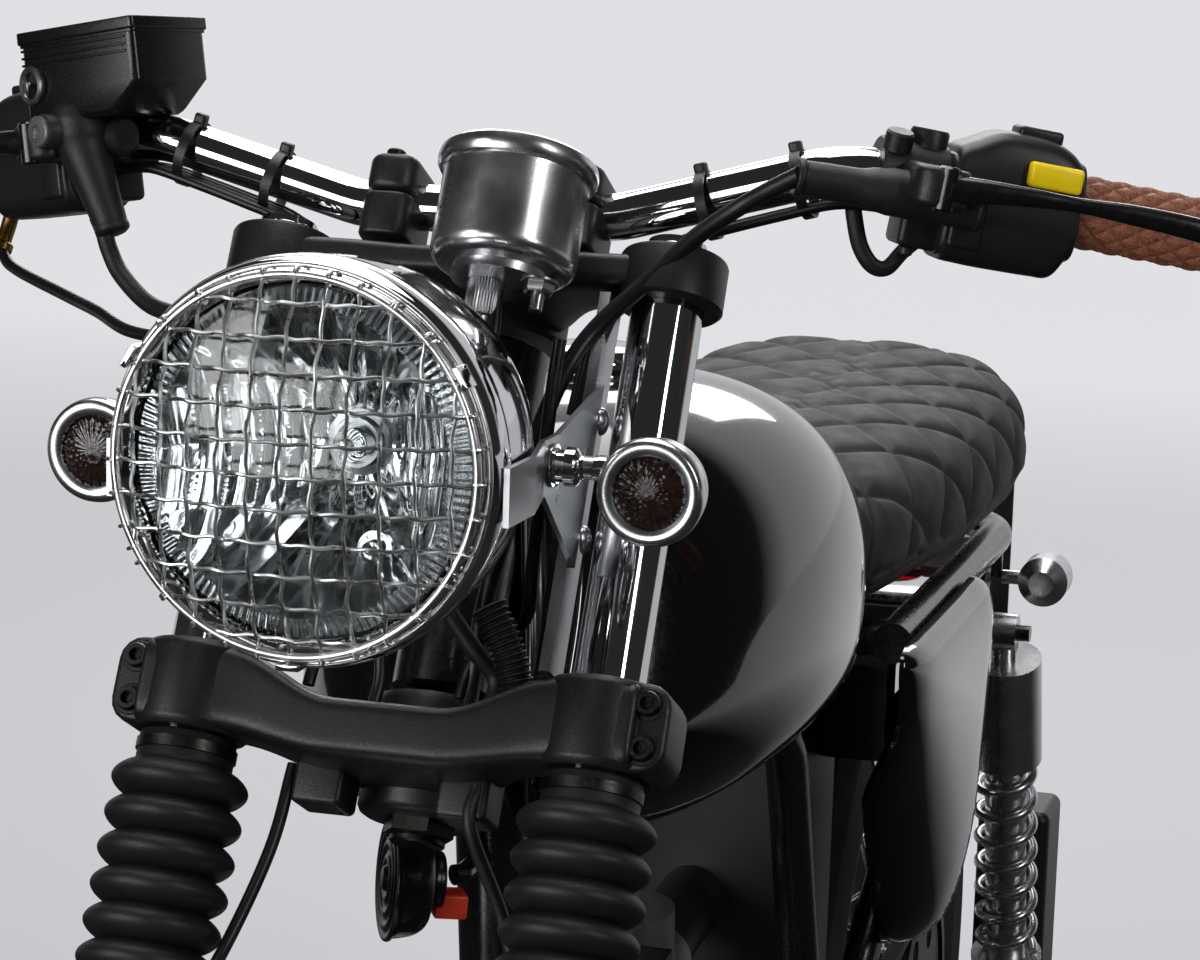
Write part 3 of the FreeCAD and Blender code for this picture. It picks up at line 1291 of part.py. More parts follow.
def lamp_bolt():
    """Where the gusset plates, headlamp arms and indicator stems meet, in the fork's frame."""
    y = -D.wheelbase.value / 2 + D.indicator_ahead.value + D.indicator_length.value / 2
    return to_frame(FORK, 0, y, LAMP_Z.value - D.lamp_arm_rise.value)


def lamp_brackets():
    """Struts between the yokes with gusset plates, and arms to the headlamp and the front indicators."""
    bolt = lamp_bolt()
    side = D.gusset_side
    strut = block(
        (side - D.strut_thickness, -D.gusset_back - D.overrun, YOKE_TOP + D.seat_gap),
        (side, D.strut_width - D.gusset_back - D.overrun, TOP_LOW - D.seat_gap),
    )
    gusset = plate(
        [(-D.gusset_back, D.gusset_low), (-D.gusset_back, D.gusset_high), (bolt.y - D.gusset_nose, bolt.z),
         (bolt.y, bolt.z - D.gusset_nose)],
        D.gusset_thickness, "YZ_Plane",
    )
    place(gusset, (side, 0, 0))
    outer = side + D.gusset_thickness
    stem = free(round_bar(D.indicator_stem_radius, (side, bolt.y, bolt.z), (1, 0, 0),
                          D.indicator_reach - side))
    wall = D.lamp_arm_thickness.value
    rim_x = (D.lamp_rim_radius + D.seat_gap).value
    front = -D.wheelbase.value / 2 + D.lamp_behind.value
    bolt_y = front + (D.indicator_ahead + D.indicator_length / 2 - D.lamp_behind).value
    hold = front + D.lamp_arm_hold.value
    low_x = outer.value
    reach = D.gusset_nose.value
    inside = [(rim_x, front + wall), (rim_x, hold), (low_x, bolt_y - reach), (low_x, bolt_y + reach)]
    corners = [Vector(x, y, 0) for x, y in inside] + [Vector(x + wall, y, 0) for x, y in inside[::-1]]
    low = LAMP_Z.value - D.lamp_arm_rise.value - D.lamp_arm_height.value / 2
    arm = Part.Face(Part.makePolygon(corners + corners[:1])).extrude(Vector(0, 0, D.lamp_arm_height.value))
    arm.translate(Vector(0, 0, low))
    arm = free(to_fork_shape(arm))
    bore = free(to_fork_shape(indicator_shape(D.indicator_radius.value + D.seat_gap.value)))
    return node("lamp_brackets", both(minus(union(strut, gusset, stem, arm), bore)), FORK)


def to_fork_shape(shape):
    """A shape of the whole carried into the fork's frame."""
    return moved(shape, placement_of(FORK).inverse().toMatrix())


def indicator_shape(radius):
    """The left front indicator's body, a bullet that faces forward."""
    y = -D.wheelbase.value / 2 + D.indicator_ahead.value
    length = D.indicator_length.value
    x, z = D.indicator_reach.value, (LAMP_Z - D.indicator_drop).value
    start = Vector(x, y, z)
    straight = length - radius / 2
    body = Part.makeCylinder(radius, straight, start, Vector(0, 1, 0))
    back = Part.makeCone(radius, radius / 2, radius / 2, start + Vector(0, straight, 0), Vector(0, 1, 0))
    return body.fuse(back)


def front_indicators():
    """Two round indicators ahead of the fork tubes."""
    shape = indicator_shape(D.indicator_radius.value)
    node("front_indicators", free(Part.makeCompound([shape, mirrored(shape)])))


def speedometer():
    """Round speedometer on a bracket from the upper yoke."""
    top = TOP_HIGH + D.dial_rise
    low = top - D.dial_height
    cup = [(0, low), (D.dial_cup_radius * 0.8, low), (D.dial_cup_radius, low + D.overrun),
           (D.dial_cup_radius, top - D.dial_rim_height),
           (D.dial_radius, top - D.dial_rim_height), (D.dial_radius, top),
           (D.dial_radius - D.lamp_wall * 2, top),
           (D.dial_radius - D.lamp_wall * 2, top - D.dial_plate_thickness), (0, top - D.dial_plate_thickness)]
    dial = turned(cup)
    at = (D.dial_side, -D.dial_ahead, 0)
    place(dial, at)
    drive = cylinder(D.boot_radius, D.boot_length / 3, (D.dial_side, -D.dial_ahead, low - D.boot_length / 3))
    mount_top = TOP_LOW + D.upper_yoke_depth / 2 + D.dial_plate_thickness
    mount_low = mount_top - D.dial_plate_thickness
    arm = block((D.dial_side - D.boot_radius, -D.dial_ahead, mount_low),
                (D.dial_side + D.boot_radius, -D.top_front - D.seat_gap, mount_top))
    return node("speedometer", union(dial, drive, arm), FORK)


def brake_caliper():
    """Caliper that straddles the front disc behind the left slider."""
    low = D.caliper_rise
    whole = block(
        (CALIPER_INNER, D.caliper_front, low),
        (CALIPER_OUTER, D.caliper_front + D.caliper_height, low + D.caliper_length),
    )
    slot = block(
        (DISC_INNER - D.disc_gap, D.caliper_front - D.overrun, low - D.overrun),
        (DISC_OUTER + D.disc_gap, D.caliper_front + D.caliper_height + D.overrun,
         low + D.caliper_length * D.caliper_slot_share),
    )
    return node("brake_caliper", minus(whole, slot), FORK)


def front_axle():
    """Axle with its nuts, the spacers beside the hub and the speedometer drive on the right."""
    half = D.front_axle_half
    bar = cylinder(D.axle_radius, half * 2, (-half, 0, 0), "x")
    lug = LEG + D.axle_lug_half + D.seat_gap
    nut = prism(6, D.axle_nut_radius, D.axle_nut_height, (lug, 0, 0), "x")
    inner = D.hub_end + D.spacer_gap
    spacer = cylinder(D.axle_nut_radius, LEG - D.axle_lug_half - D.seat_gap - inner, (inner, 0, 0), "x")
    face = LEG - D.axle_lug_half - D.seat_gap
    drive = cylinder(D.drive_radius, face - D.drive_inner, (-face, 0, 0), "x")
    turn = math.radians(D.drive_stub_turn.value)
    start = Vector(-(face + D.drive_inner).value / 2, 0, 0)
    stub = free(round_bar(
        D.drive_stub_radius, start, (0, -math.sin(turn), math.cos(turn)), D.drive_radius + D.drive_stub_length
    ))
    return node("front_axle", union(bar, drive, stub, both(union(nut, spacer))), FORK)


def guard_outline(half):
    """A mudguard's channel section: place along the axis and radius."""
    inner = D.tyre_radius + D.guard_gap
    outer = inner + D.guard_wall
    low = inner - D.guard_skirt
    wall = D.guard_wall
    return [(-half, low), (-half, outer), (half, outer), (half, low), (half - wall, low),
            (half - wall, inner),
            (wall - half, inner), (wall - half, low)]


def mudguard(half, ahead, behind):
    """A channel bent round the wheel from an angle ahead of upright to an angle behind it."""
    body = doc.addObject("PartDesign::Body", "Guard")
    sketch = outline(body, "XY_Plane", guard_outline(half))
    feature = body.newObject("PartDesign::Revolution", "Turning")
    feature.Profile = sketch
    feature.ReferenceAxis = (sketch, ["H_Axis"])
    bind(feature, "Angle", ahead + behind)
    sketch.Visibility = False
    place(body, (0, 0, 0), (1, 0, 0), 90 - behind)
    return body


def front_mudguard():
    """Front mudguard with two stays on each side, in the fork's frame."""
    guard = mudguard(D.front_guard_half, D.front_guard_ahead, D.front_guard_behind)
    radius = D.tyre_radius.value + D.guard_gap.value
    stays = []
    for angle in (D.front_guard_behind.value * 0.95, D.front_guard_behind.value * 0.45):
        turn = math.radians(angle)
        end = Vector(D.front_guard_half.value - D.guard_stay_radius.value / 2, radius * math.sin(turn),
                     radius * math.cos(turn) - D.guard_skirt.value / 2)
        start = Vector(LEG.value, D.slider_radius.value + D.guard_stay_radius.value + D.seat_gap.value,
                       D.stay_rise.value)
        stays.append(rod(start, end, D.guard_stay_radius))
        stays.append(Part.makeSphere(D.guard_stay_radius.value, start))
    one = merged(stays)
    return node("front_mudguard", union(guard, free(merged([one, mirrored(one)]))), FORK)


# Wheels, drawn about X in the wheel's own frame
TYRE_BAND = [(0, 1), (0.35, 0.975), (0.65, 0.88), (0.88, 0.71), (1, 0.49), (0.94, 0.26), (0.76, 0.09)]
TYRE_INSIDE = [(0.62, 0.17), (0.84, 0.45), (0.62, 0.78), (0, 0.9)]


def tyre(label, width, frame):
    """A tyre from its crown to its beads."""
    half = width / 2
    base = D.rim_bead_radius + D.seat_gap
    height = D.tyre_radius - base
    bead = D.rim_half_width - D.rim_wall - D.seat_gap
    right = [(half * a, base + height * b) for a, b in TYRE_BAND]
    right += [(bead, D.rim_radius + D.seat_gap), (bead, base), (bead * 0.6, base)]
    right += [(half * a, base + height * b) for a, b in TYRE_INSIDE]
    left = [(-u, v) for u, v in right[1:-1]]
    return node(label, wheel_body(right + left[::-1]), frame)


def rim(label, frame):
    """A rim with a well."""
    half, wall = D.rim_half_width, D.rim_wall
    seat, well = D.rim_bead_radius, D.rim_well_radius
    right = [(D.rim_well_half, well + wall), (D.rim_well_half + wall, seat), (half - wall, seat),
             (half - wall, D.rim_radius),
             (half, D.rim_radius), (half, seat - wall), (D.rim_well_half + wall, seat - wall),
             (D.rim_well_half, well)]
    left = [(-u, v) for u, v in right[::-1]]
    return node(label, wheel_body(right + left), frame)


def spokes():
    """Thirty-six crossed spokes from the hub's flanges to the rim."""
    bars = []
    step = 360 / D.spoke_sets.value
    inner = D.hub_flange_radius.value - D.hub_flange.value
    outer = D.rim_well_radius.value - D.seat_gap.value
    for group in range(int(D.spoke_sets.value)):
        for number, (side, lean) in enumerate(((1, 1), (-1, 1), (1, -1), (-1, -1))):
            at_rim = math.radians(step * (group + number / 4))
            at_hub = at_rim + lean * math.radians(D.spoke_lean.value)
            x = side * (D.hub_half.value - D.hub_flange.value / 2)
            start = Vector(x, inner * math.cos(at_hub), inner * math.sin(at_hub))
            end = Vector(x / 8, outer * math.cos(at_rim), outer * math.sin(at_rim))
            bars.append(rod(start, end, D.spoke_radius))
    return bars


def hub_shape(points):
    """A hub turned about X from places along the axis and radii, bored for its axle."""
    points = [Vector(float(u), float(v), 0) for u, v in points]
    face = Part.Face(Part.makePolygon(points + points[:1]))
    return face.revolve(Vector(0, 0, 0), Vector(1, 0, 0), 360)


def wheel_centres():
    """Both hubs with their spokes, the brake disc and the rear sprocket."""
    bore = D.axle_radius + D.hub_bore_gap
    flange, barrel, half, thick = D.hub_flange_radius, D.hub_radius, D.hub_half, D.hub_flange
    disc_face = DISC_INNER - D.seat_gap
    front = [(-D.hub_end, bore), (-D.hub_end, barrel), (-half, barrel), (-half, flange),
             (thick - half, flange), (thick - half, barrel),
             (half - thick, barrel), (half - thick, flange), (half, flange), (half, barrel),
             (disc_face - thick, barrel), (disc_face - thick, D.disc_inner + thick),
             (disc_face, D.disc_inner + thick), (disc_face, barrel),
             (D.hub_end, barrel), (D.hub_end, bore)]
    node("front_spokes", free(merged([hub_shape(front)] + spokes())), FRONT_WHEEL)
    inner = D.drum_side - D.drum_width
    wall = thick
    rear = [(-D.drum_side, D.drum_radius - wall), (-D.drum_side, D.drum_radius), (-inner, D.drum_radius),
            (-inner, barrel),
            (half - thick, barrel), (half - thick, flange), (half, flange), (half, D.sprocket_seat),
            (SPROCKET_INNER - D.seat_gap, D.sprocket_seat),
            (SPROCKET_INNER - D.seat_gap, bore), (-inner - wall, bore), (-inner - wall, D.drum_radius - wall)]
    node("rear_spokes", free(merged([hub_shape(rear)] + spokes())), REAR_WHEEL)
    disc = tube(D.disc_radius, D.disc_inner, D.disc_thickness, (DISC_INNER, 0, 0), "x")
    holes = []
    for k in range(int(D.disc_hole_count.value)):
        turn = 2 * math.pi * k / D.disc_hole_count.value
        reach = (D.disc_radius.value + D.disc_inner.value) / 2 + (k % 3 - 1) * D.disc_hole_radius.value * 3
        holes.append(round_bar(D.disc_hole_radius,
                               (DISC_INNER - D.overrun, reach * math.cos(turn), reach * math.sin(turn)),
                               (1, 0, 0), D.overrun * 3))
    node("front_disc", minus(disc, free(Part.makeCompound(holes))), FRONT_WHEEL)
    radius = D.rear_sprocket_radius - D.chain_height / 2 - D.sprocket_gap
    ring = tube(radius, bore, D.sprocket_thickness, (SPROCKET_INNER, 0, 0), "x")
    holes = []
    for k in range(int(D.sprocket_holes.value)):
        turn = 2 * math.pi * k / D.sprocket_holes.value
        reach = radius.value * 0.7
        holes.append(round_bar(radius * 0.14,
                               (SPROCKET_INNER - D.overrun, reach * math.cos(turn), reach * math.sin(turn)),
                               (1, 0, 0), D.overrun * 3))
    node("rear_sprocket", minus(ring, free(Part.makeCompound(holes))), REAR_WHEEL)


SPROCKET_INNER = D.chain_x - D.sprocket_thickness / 2


# Frame and running gear
def on_stem(s):
    """A point of the steering axis at a place up the fork, in the whole's frame."""
    return to_row(FORK, 0, STEM_Y, s)


def along_prop(place):
    """A point of the side stand's hinge line, at a place outward from its middle."""
    tilt = math.radians(D.prop_tilt.value)
    x = D.prop_x.value + float(place) * math.cos(tilt)
    return Vector(x, D.prop_y.value, D.prop_z.value + float(place) * math.sin(tilt))


def side_tube(radius):
    """Left side tube from the backbone down to the pivot plate, at a given radius."""
    x = D.pivot_plate_x + D.pivot_plate_thickness / 2
    knee = (x, D.side_tube_y + D.cradle_step * 2, D.side_tube_knee)
    return swept(
        [(0, D.side_tube_y, D.side_tube_z), knee, (x, D.pivot_y, D.pivot_z + D.pivot_plate_top / 2)], radius,
        D.rail_bend
    )


def frame():
    """Head tube, backbone, down tube, cradle, seat loop and pivot plates, welded into one."""
    head_low = YOKE_TOP + D.head_tube_gap
    head_length = TOP_LOW - D.head_tube_gap - head_low
    axis = placement_of(FORK).toMatrix()
    head_shape = moved(round_bar(D.head_tube_radius, (0, STEM_Y, head_low), (0, 0, 1), head_length), axis)
    bore_shape = moved(round_bar(
        D.stem_radius + D.hub_bore_gap, (0, STEM_Y, head_low - D.overrun), (0, 0, 1),
        head_length + D.overrun * 2
    ), axis)
    x, z = D.rail_half.value, D.rail_z.value
    plate_x = D.pivot_plate_x.value + D.pivot_plate_thickness.value / 2
    py, pz = D.pivot_y.value, D.pivot_z.value
    rail = D.rail_radius
    end_y = D.spine_end_y.value
    down_y, down_z = D.down_tube_end_y.value, D.down_tube_end_z.value
    low_z = D.cradle_z.value
    low_x = D.cradle_half.value
    tubes = [
        head_shape,
        swept([on_stem(D.spine_from), (0, D.spine_bend_y, D.spine_bend_z), (0, end_y, D.spine_end_z)],
              D.spine_radius, D.loop_bend),
        swept([on_stem(D.down_tube_from), (0, D.down_bend_y, D.down_bend_z), (0, down_y, down_z)],
              D.down_tube_radius, D.loop_bend),
        swept([(-x, end_y - D.rail_radius.value, z), (-x, D.rail_end_y, z), (x, D.rail_end_y, z),
               (x, end_y - D.rail_radius.value, z)], rail, D.loop_bend),
        rod((-x, end_y, z), (x, end_y, z), rail * D.brace_share),
    ]
    side = [
        swept([(0, down_y, down_z), (low_x, down_y + D.cradle_step.value, low_z),
               (low_x, py - D.cradle_step.value * 3, low_z),
               (plate_x, py - D.pivot_plate_half.value / 2, pz - D.pivot_plate_foot.value + rail.value)],
               rail, D.rail_bend),
        side_tube(rail),
        rod((plate_x, py, pz + D.pivot_plate_top.value / 2), (x, D.strut_y, z), rail * D.brace_share),
        slab((D.pivot_plate_x, py - D.pivot_plate_half.value, pz - D.pivot_plate_foot.value),
             (D.pivot_plate_x + D.pivot_plate_thickness, py + D.pivot_plate_half.value,
              pz + D.pivot_plate_top.value)),
        slab((x - D.shock_lug.value / 2, D.shock_top_y - D.shock_eye_radius,
              D.shock_top_z - D.shock_eye_radius),
             (x + D.shock_lug.value / 2, D.shock_top_y + D.shock_eye_radius, z)),
        round_bar(D.shock_pin_radius, (x, D.shock_top_y, D.shock_top_z), (1, 0, 0),
                  D.shock_half + D.shock_eye_half * 2 - x),
        rod((plate_x, py - D.pivot_plate_half.value + rail.value,
             pz - D.pivot_plate_foot.value + rail.value * 2),
            along_prop(-D.prop_eye_half - D.seat_gap - D.prop_boss), rail * D.brace_share),
        rod(along_prop(-D.prop_eye_half - D.seat_gap - D.prop_boss),
            along_prop(-D.prop_eye_half - D.seat_gap), D.prop_eye_radius),
        rod(along_prop(-D.prop_eye_half - D.prop_boss), along_prop(D.prop_eye_half), D.prop_pin_radius),
        round_bar(D.indicator_stem_radius, (x, D.rear_indicator_y + D.indicator_length / 2, z), (0, 0, -1),
                  z - D.rear_indicator_z.value),
    ]
    cross = [
        rod((-plate_x, py, pz + D.pivot_plate_top.value - rail.value),
            (plate_x, py, pz + D.pivot_plate_top.value - rail.value), rail * D.brace_share),
        rod((-low_x, D.peg_y, low_z), (low_x, D.peg_y, low_z), rail * D.brace_share),
        slab((-D.mount_half, D.down_tube_end_y - D.overrun, down_z - D.mount_low),
             (D.mount_half, D.crank_y - D.case_front - D.seat_gap, down_z - D.overrun)),
    ]
    side.append(slab(
        (D.stand_pivot_half - D.stand_ear / 2, D.stand_pivot_y - D.stand_leg_radius,
         D.stand_pivot_z - D.stand_leg_radius),
        (plate_x, D.stand_pivot_y + D.stand_leg_radius, D.stand_pivot_z + D.stand_leg_radius * 1.5),
    ))
    horn_back = Vector(-D.horn_side.value, D.horn_y.value,
                       D.horn_height.value) + horn_line() * (D.horn_depth + D.seat_gap).value
    horn_knee = horn_back + horn_line() * (D.indicator_stem_radius + D.seat_gap).value
    horn_arm = merged([
        rod(horn_back, horn_knee, D.indicator_stem_radius),
        Part.makeSphere(D.indicator_stem_radius.value, horn_knee),
        rod(horn_knee, (0, -D.horn_arm_end, D.horn_height), D.indicator_stem_radius),
    ])
    tubes += side + [mirrored(s) for s in side] + cross + [horn_arm]
    whole = tubes[0].fuse(tubes[1:])
    cuts = [
        bore_shape,
        round_bar(D.pivot_pin_radius + D.fit_gap, (-D.rear_axle_half, D.pivot_y, D.pivot_z), (1, 0, 0),
                  D.rear_axle_half * 2),
        round_bar(D.stand_pin_radius + D.hub_bore_gap, (-D.rear_axle_half, D.stand_pivot_y, D.stand_pivot_z),
                  (1, 0, 0), D.rear_axle_half * 2),
    ]
    return node("frame", free(whole.cut(cuts)))


def swingarm():
    """Two arms on a pivot tube, with the cross tube, shock pins and the pivot pin."""
    py, pz = D.pivot_y, D.pivot_z
    arm_low = D.arm_half - D.arm_width / 2
    arm_high = D.arm_half + D.arm_width / 2
    slope = (HALF_BASE - D.pivot_y)
    side = union(
        block((arm_low, py, pz - D.arm_height / 2),
              (arm_high, py + slope + D.arm_tail, pz + D.arm_height / 2)),
        cylinder(D.swingarm_tube_radius, D.arm_width, (arm_low, py, pz), "x"),
        cylinder(D.shock_eye_radius, D.shock_half - D.shock_eye_half - D.seat_gap - D.arm_half,
                 (D.arm_half, D.shock_low_y, D.shock_low_z), "x"),
        block((arm_low, D.shock_low_y - D.shock_eye_radius, pz),
              (arm_high, D.shock_low_y + D.shock_eye_radius, D.shock_low_z)),
        cylinder(D.shock_pin_radius, D.shock_half + D.shock_eye_half * 2 - D.arm_half,
                 (D.arm_half, D.shock_low_y, D.shock_low_z), "x"),
    )
    inner_end = D.pivot_plate_x - D.seat_gap
    middle = cylinder(D.swingarm_tube_radius, inner_end * 2, (-inner_end, py, pz), "x")
    pin = cylinder(D.pivot_pin_radius, D.rear_axle_half * 2, (-D.rear_axle_half, py, pz), "x")
    nuts = both(prism(6, D.axle_nut_radius, D.axle_nut_height, (arm_high + D.seat_gap, py, pz), "x"))
    brace = cylinder(D.arm_brace_radius, D.arm_half * 2, (-D.arm_half, py + D.arm_brace_y, pz), "x")
    hole = cylinder(D.axle_radius + D.fit_gap, D.rear_axle_half * 2,
                    (-D.rear_axle_half, HALF_BASE, REAR_AXLE_Z), "x")
    return node("swingarm", union(minus(union(both(side), brace), hole), middle, pin, nuts))


def rear_axle():
    """Rear axle with nuts and spacers, and the brake plate on the right."""
    half = D.rear_axle_half
    bar = cylinder(D.axle_radius, half * 2, (-half, 0, 0), "x")
    outside = D.arm_half + D.arm_width / 2 + D.seat_gap
    inside = D.arm_half - D.arm_width / 2 - D.seat_gap
    nut = both(prism(6, D.axle_nut_radius, D.axle_nut_height, (outside, 0, 0), "x"))
    left_start = D.chain_x + D.sprocket_thickness / 2 + D.spacer_gap
    left = cylinder(D.axle_nut_radius, inside - left_start, (left_start, 0, 0), "x")
    plate_face = D.drum_side + D.brake_plate_gap
    disc = cylinder(D.drum_radius, D.brake_plate_thickness, (-plate_face - D.brake_plate_thickness, 0, 0),
                    "x")
    right = cylinder(D.axle_nut_radius, inside - plate_face, (-inside, 0, 0), "x")
    return node("rear_axle", union(bar, nut, left, disc, right), REAR_WHEEL)


def shock(label, side):
    """Shock absorber with a bright cover, spring and eyes."""
    low = Vector(side * D.shock_half.value, D.shock_low_y.value, D.shock_low_z.value)
    high = Vector(side * D.shock_half.value, D.shock_top_y.value, D.shock_top_z.value)
    line = high - low
    length = line.Length
    axis = Vector(0, 0, 1)
    foot = length * (1 - D.shock_foot_share.value)
    cover_low = length * (1 - D.shock_cover_share_low.value)
    cover_top = length * (1 - D.shock_cover_share_top.value)
    body_top = length * (1 - D.shock_body_share.value) + length * D.shock_body_share.value / 2
    body_low = D.shock_eye_radius.value + D.lamp_wall.value
    origin = Vector(0, 0, 0)
    pieces = [
        Part.makeCylinder(
            D.shock_body_radius.value, body_top - body_low, Vector(0, 0, body_low), axis
        ),
        Part.makeCylinder(D.shock_body_radius.value / 2, length, origin, axis),
        Part.makeCylinder(D.shock_cover_radius.value, D.spring_wire.value,
                          Vector(0, 0, foot - D.spring_wire.value), axis),
        Part.makeCylinder(D.shock_cover_radius.value, cover_top - cover_low, Vector(0, 0, cover_low),
                          axis).cut(
            Part.makeCylinder(D.shock_cover_radius.value - D.lamp_wall.value,
                              cover_top - cover_low - D.spring_wire.value, Vector(0, 0, cover_low), axis)
        ),
    ]
    for z in (0, length):
        eye = Part.makeCylinder(D.shock_eye_radius.value, D.shock_eye_half.value * 2,
                                Vector(-D.shock_eye_half.value, 0, z), Vector(1, 0, 0))
        pieces.append(eye)
    wire = D.spring_wire.value
    coil_low = foot + wire + D.seat_gap.value
    coil_height = cover_top - wire * 2 - D.seat_gap.value - coil_low
    helix = Part.makeHelix(coil_height / D.spring_turns.value, coil_height, D.spring_radius.value)
    tip = Part.Wire(Part.makeCircle(D.spring_wire.value, Vector(D.spring_radius.value, 0, 0),
                                    Vector(0, 1, 0)))
    coil = Part.Wire(helix).makePipeShell([tip], True, True)
    coil.translate(Vector(0, 0, coil_low))
    whole = pieces[0].fuse(pieces[1:])
    for z in (0, length):
        whole = whole.cut(Part.makeCylinder(
            D.shock_pin_radius.value + D.fit_gap.value, D.shock_eye_radius.value * 4,
            Vector(-D.shock_eye_radius.value * 2, 0, z), Vector(1, 0, 0)
        ))
    whole = Part.makeCompound([whole, coil])
    turn = Rotation(axis, line)
    whole.Placement = Placement(low, turn)
    return node(label, free(whole))


def drive_chain():
    """Chain loop round both sprockets, as one flat band."""
    front = Vector(0, D.front_sprocket_y.value, D.crank_z.value)
    rear = Vector(0, HALF_BASE.value, REAR_AXLE_Z.value)
    small, big = D.front_sprocket_radius.value, D.rear_sprocket_radius.value
    line = rear - front
    slant = math.asin((big - small) / line.Length)
    base = math.atan2(line.z, line.y)
    loops = []
    for grow in (D.chain_height.value / 2, -D.chain_height.value / 2):
        points = []
        for sign in (1, -1):
            turn = base + sign * (math.pi / 2 + slant)
            away = Vector(0, math.cos(turn), math.sin(turn))
            points.append((front + away * (small + grow), rear + away * (big + grow)))
        (a, b), (c, d) = points
        nose = front - Vector(0, math.cos(base), math.sin(base)) * (small + grow)
        tail = rear + Vector(0, math.cos(base), math.sin(base)) * (big + grow)
        loops.append(Part.Wire([
            Part.makeLine(a, b), Part.Arc(b, tail, d).toShape(), Part.makeLine(d, c),
            Part.Arc(c, nose, a).toShape(),
        ]))
    faces = [Part.Face(w) for w in loops]
    band = faces[0].extrude(Vector(D.chain_width.value, 0,
                                   0)).cut(faces[1].extrude(Vector(D.chain_width.value, 0, 0)))
    band.translate(Vector(D.chain_x.value - D.chain_width.value / 2, 0, 0))
    return node("drive_chain", free(band))


# Bodywork
# Stations along the tank: share of its length, of its half width, and of its height below and above
TANK_STATIONS = [
    (0.0, 0.36, 0.2, 0.86), (0.02, 0.52, 0.12, 0.9), (0.07, 0.68, 0.06, 0.94), (0.15, 0.82, 0.02, 0.975),
    (0.25, 0.92, 0.0, 0.995),
    (0.36, 0.98, 0.0, 1.0), (0.48, 1.0, 0.0, 0.985), (0.6, 0.985, 0.0, 0.94), (0.71, 0.93, 0.0, 0.87),
    (0.8, 0.85, 0.01, 0.78),
    (0.88, 0.75, 0.02, 0.68), (0.945, 0.63, 0.04, 0.58), (0.985, 0.5, 0.08, 0.48), (1.0, 0.38, 0.12, 0.42),
]


def fuel_tank():
    """Fuel tank that straddles the backbone."""
    length = D.tank_rear - D.tank_front
    height = D.tank_top - D.tank_bottom
    sections = []
    middle = (D.tank_top + D.tank_bottom) / 2
    for along, wide, low, high in TANK_STATIONS:
        y = D.tank_front + length * along
        section = egg_section(D.tank_half * wide, D.tank_bottom + height * low, D.tank_bottom + height * high,
                              D.tank_waist_share.value, y, D.tank_power.value)
        lean = math.tan(math.radians(D.rake.value)) * (1 - along)
        matrix = FreeCAD.Matrix(1, 0, 0, 0, 0, 1, lean, -lean * middle.value, 0, 0, 1, 0, 0, 0, 0, 1)
        sections.append(Part.Wire(section.transformGeometry(matrix).Edges))
    shell = Part.makeLoft(sections, True, True)
    y0, y1 = D.tank_front.value * 2, D.tank_rear.value * 2
    top = D.spine_radius.value + D.tunnel_gap.value
    slope = (D.spine_end_z.value - D.spine_bend_z.value) / (D.spine_end_y.value - D.spine_bend_y.value)
    z0 = D.spine_bend_z.value + slope * (y0 - D.spine_bend_y.value) + top
    bend_z = D.spine_bend_z.value + top * 1.2
    z1 = D.spine_bend_z.value + slope * (y1 - D.spine_bend_y.value) + top
    steep = bend_z + (y0 - D.spine_bend_y.value) * -0.75
    low = D.tank_bottom.value / 2
    points = [(y0, low), (y0, max(z0, steep)), (D.spine_bend_y.value, bend_z), (y1, z1), (y1, low), (y0, low)]
    half = D.tunnel_half.value
    tunnel = Part.Face(Part.makePolygon([Vector(-half, y, z) for y,
                                         z in points])).extrude(Vector(half * 2, 0, 0))
    recess = round_bar(D.cap_radius + D.seat_gap, (0, D.cap_y, D.tank_top - D.cap_sink - D.seat_gap),
                       (0, 0, 1), D.tank_half)
    channel = side_tube(D.rail_radius + D.tunnel_gap)
    return node("fuel_tank", free(shell.cut([tunnel, recess, channel, mirrored(channel)])))


def fuel_cap():
    """Round filler cap on the tank's top."""
    rise = D.tank_top - D.cap_sink
    return node("fuel_cap", cylinder(D.cap_radius, D.cap_thickness + D.cap_sink, (0, D.cap_y, rise)))


# Stations along the seat, as for the tank
SEAT_STATIONS = [
    (0.0, 0.42, 0.12, 0.5), (0.015, 0.54, 0.05, 0.6), (0.05, 0.65, 0.0, 0.7), (0.12, 0.74, 0.0, 0.78),
    (0.22, 0.82, 0.0, 0.84),
    (0.34, 0.89, 0.0, 0.88), (0.48, 0.95, 0.0, 0.9), (0.62, 0.99, 0.0, 0.92), (0.75, 1.0, 0.0, 0.95),
    (0.85, 0.97, 0.0, 0.985),
    (0.92, 0.89, 0.0, 1.0), (0.965, 0.78, 0.02, 0.97), (0.99, 0.64, 0.08, 0.9), (1.0, 0.52, 0.16, 0.8),
]


def seat():
    """Seat on the rails."""
    length = D.seat_rear - D.seat_front
    base = D.rail_z + D.rail_radius + D.seat_rise
    height = D.seat_top - base
    sections = []
    for along, wide, low, high in SEAT_STATIONS:
        sections.append(egg_section(D.seat_half * wide, base + height * low, base + height * high, 0.4,
                                    D.seat_front + length * along, D.seat_power.value))
    return node("seat", free(Part.makeLoft(sections, True, True)))


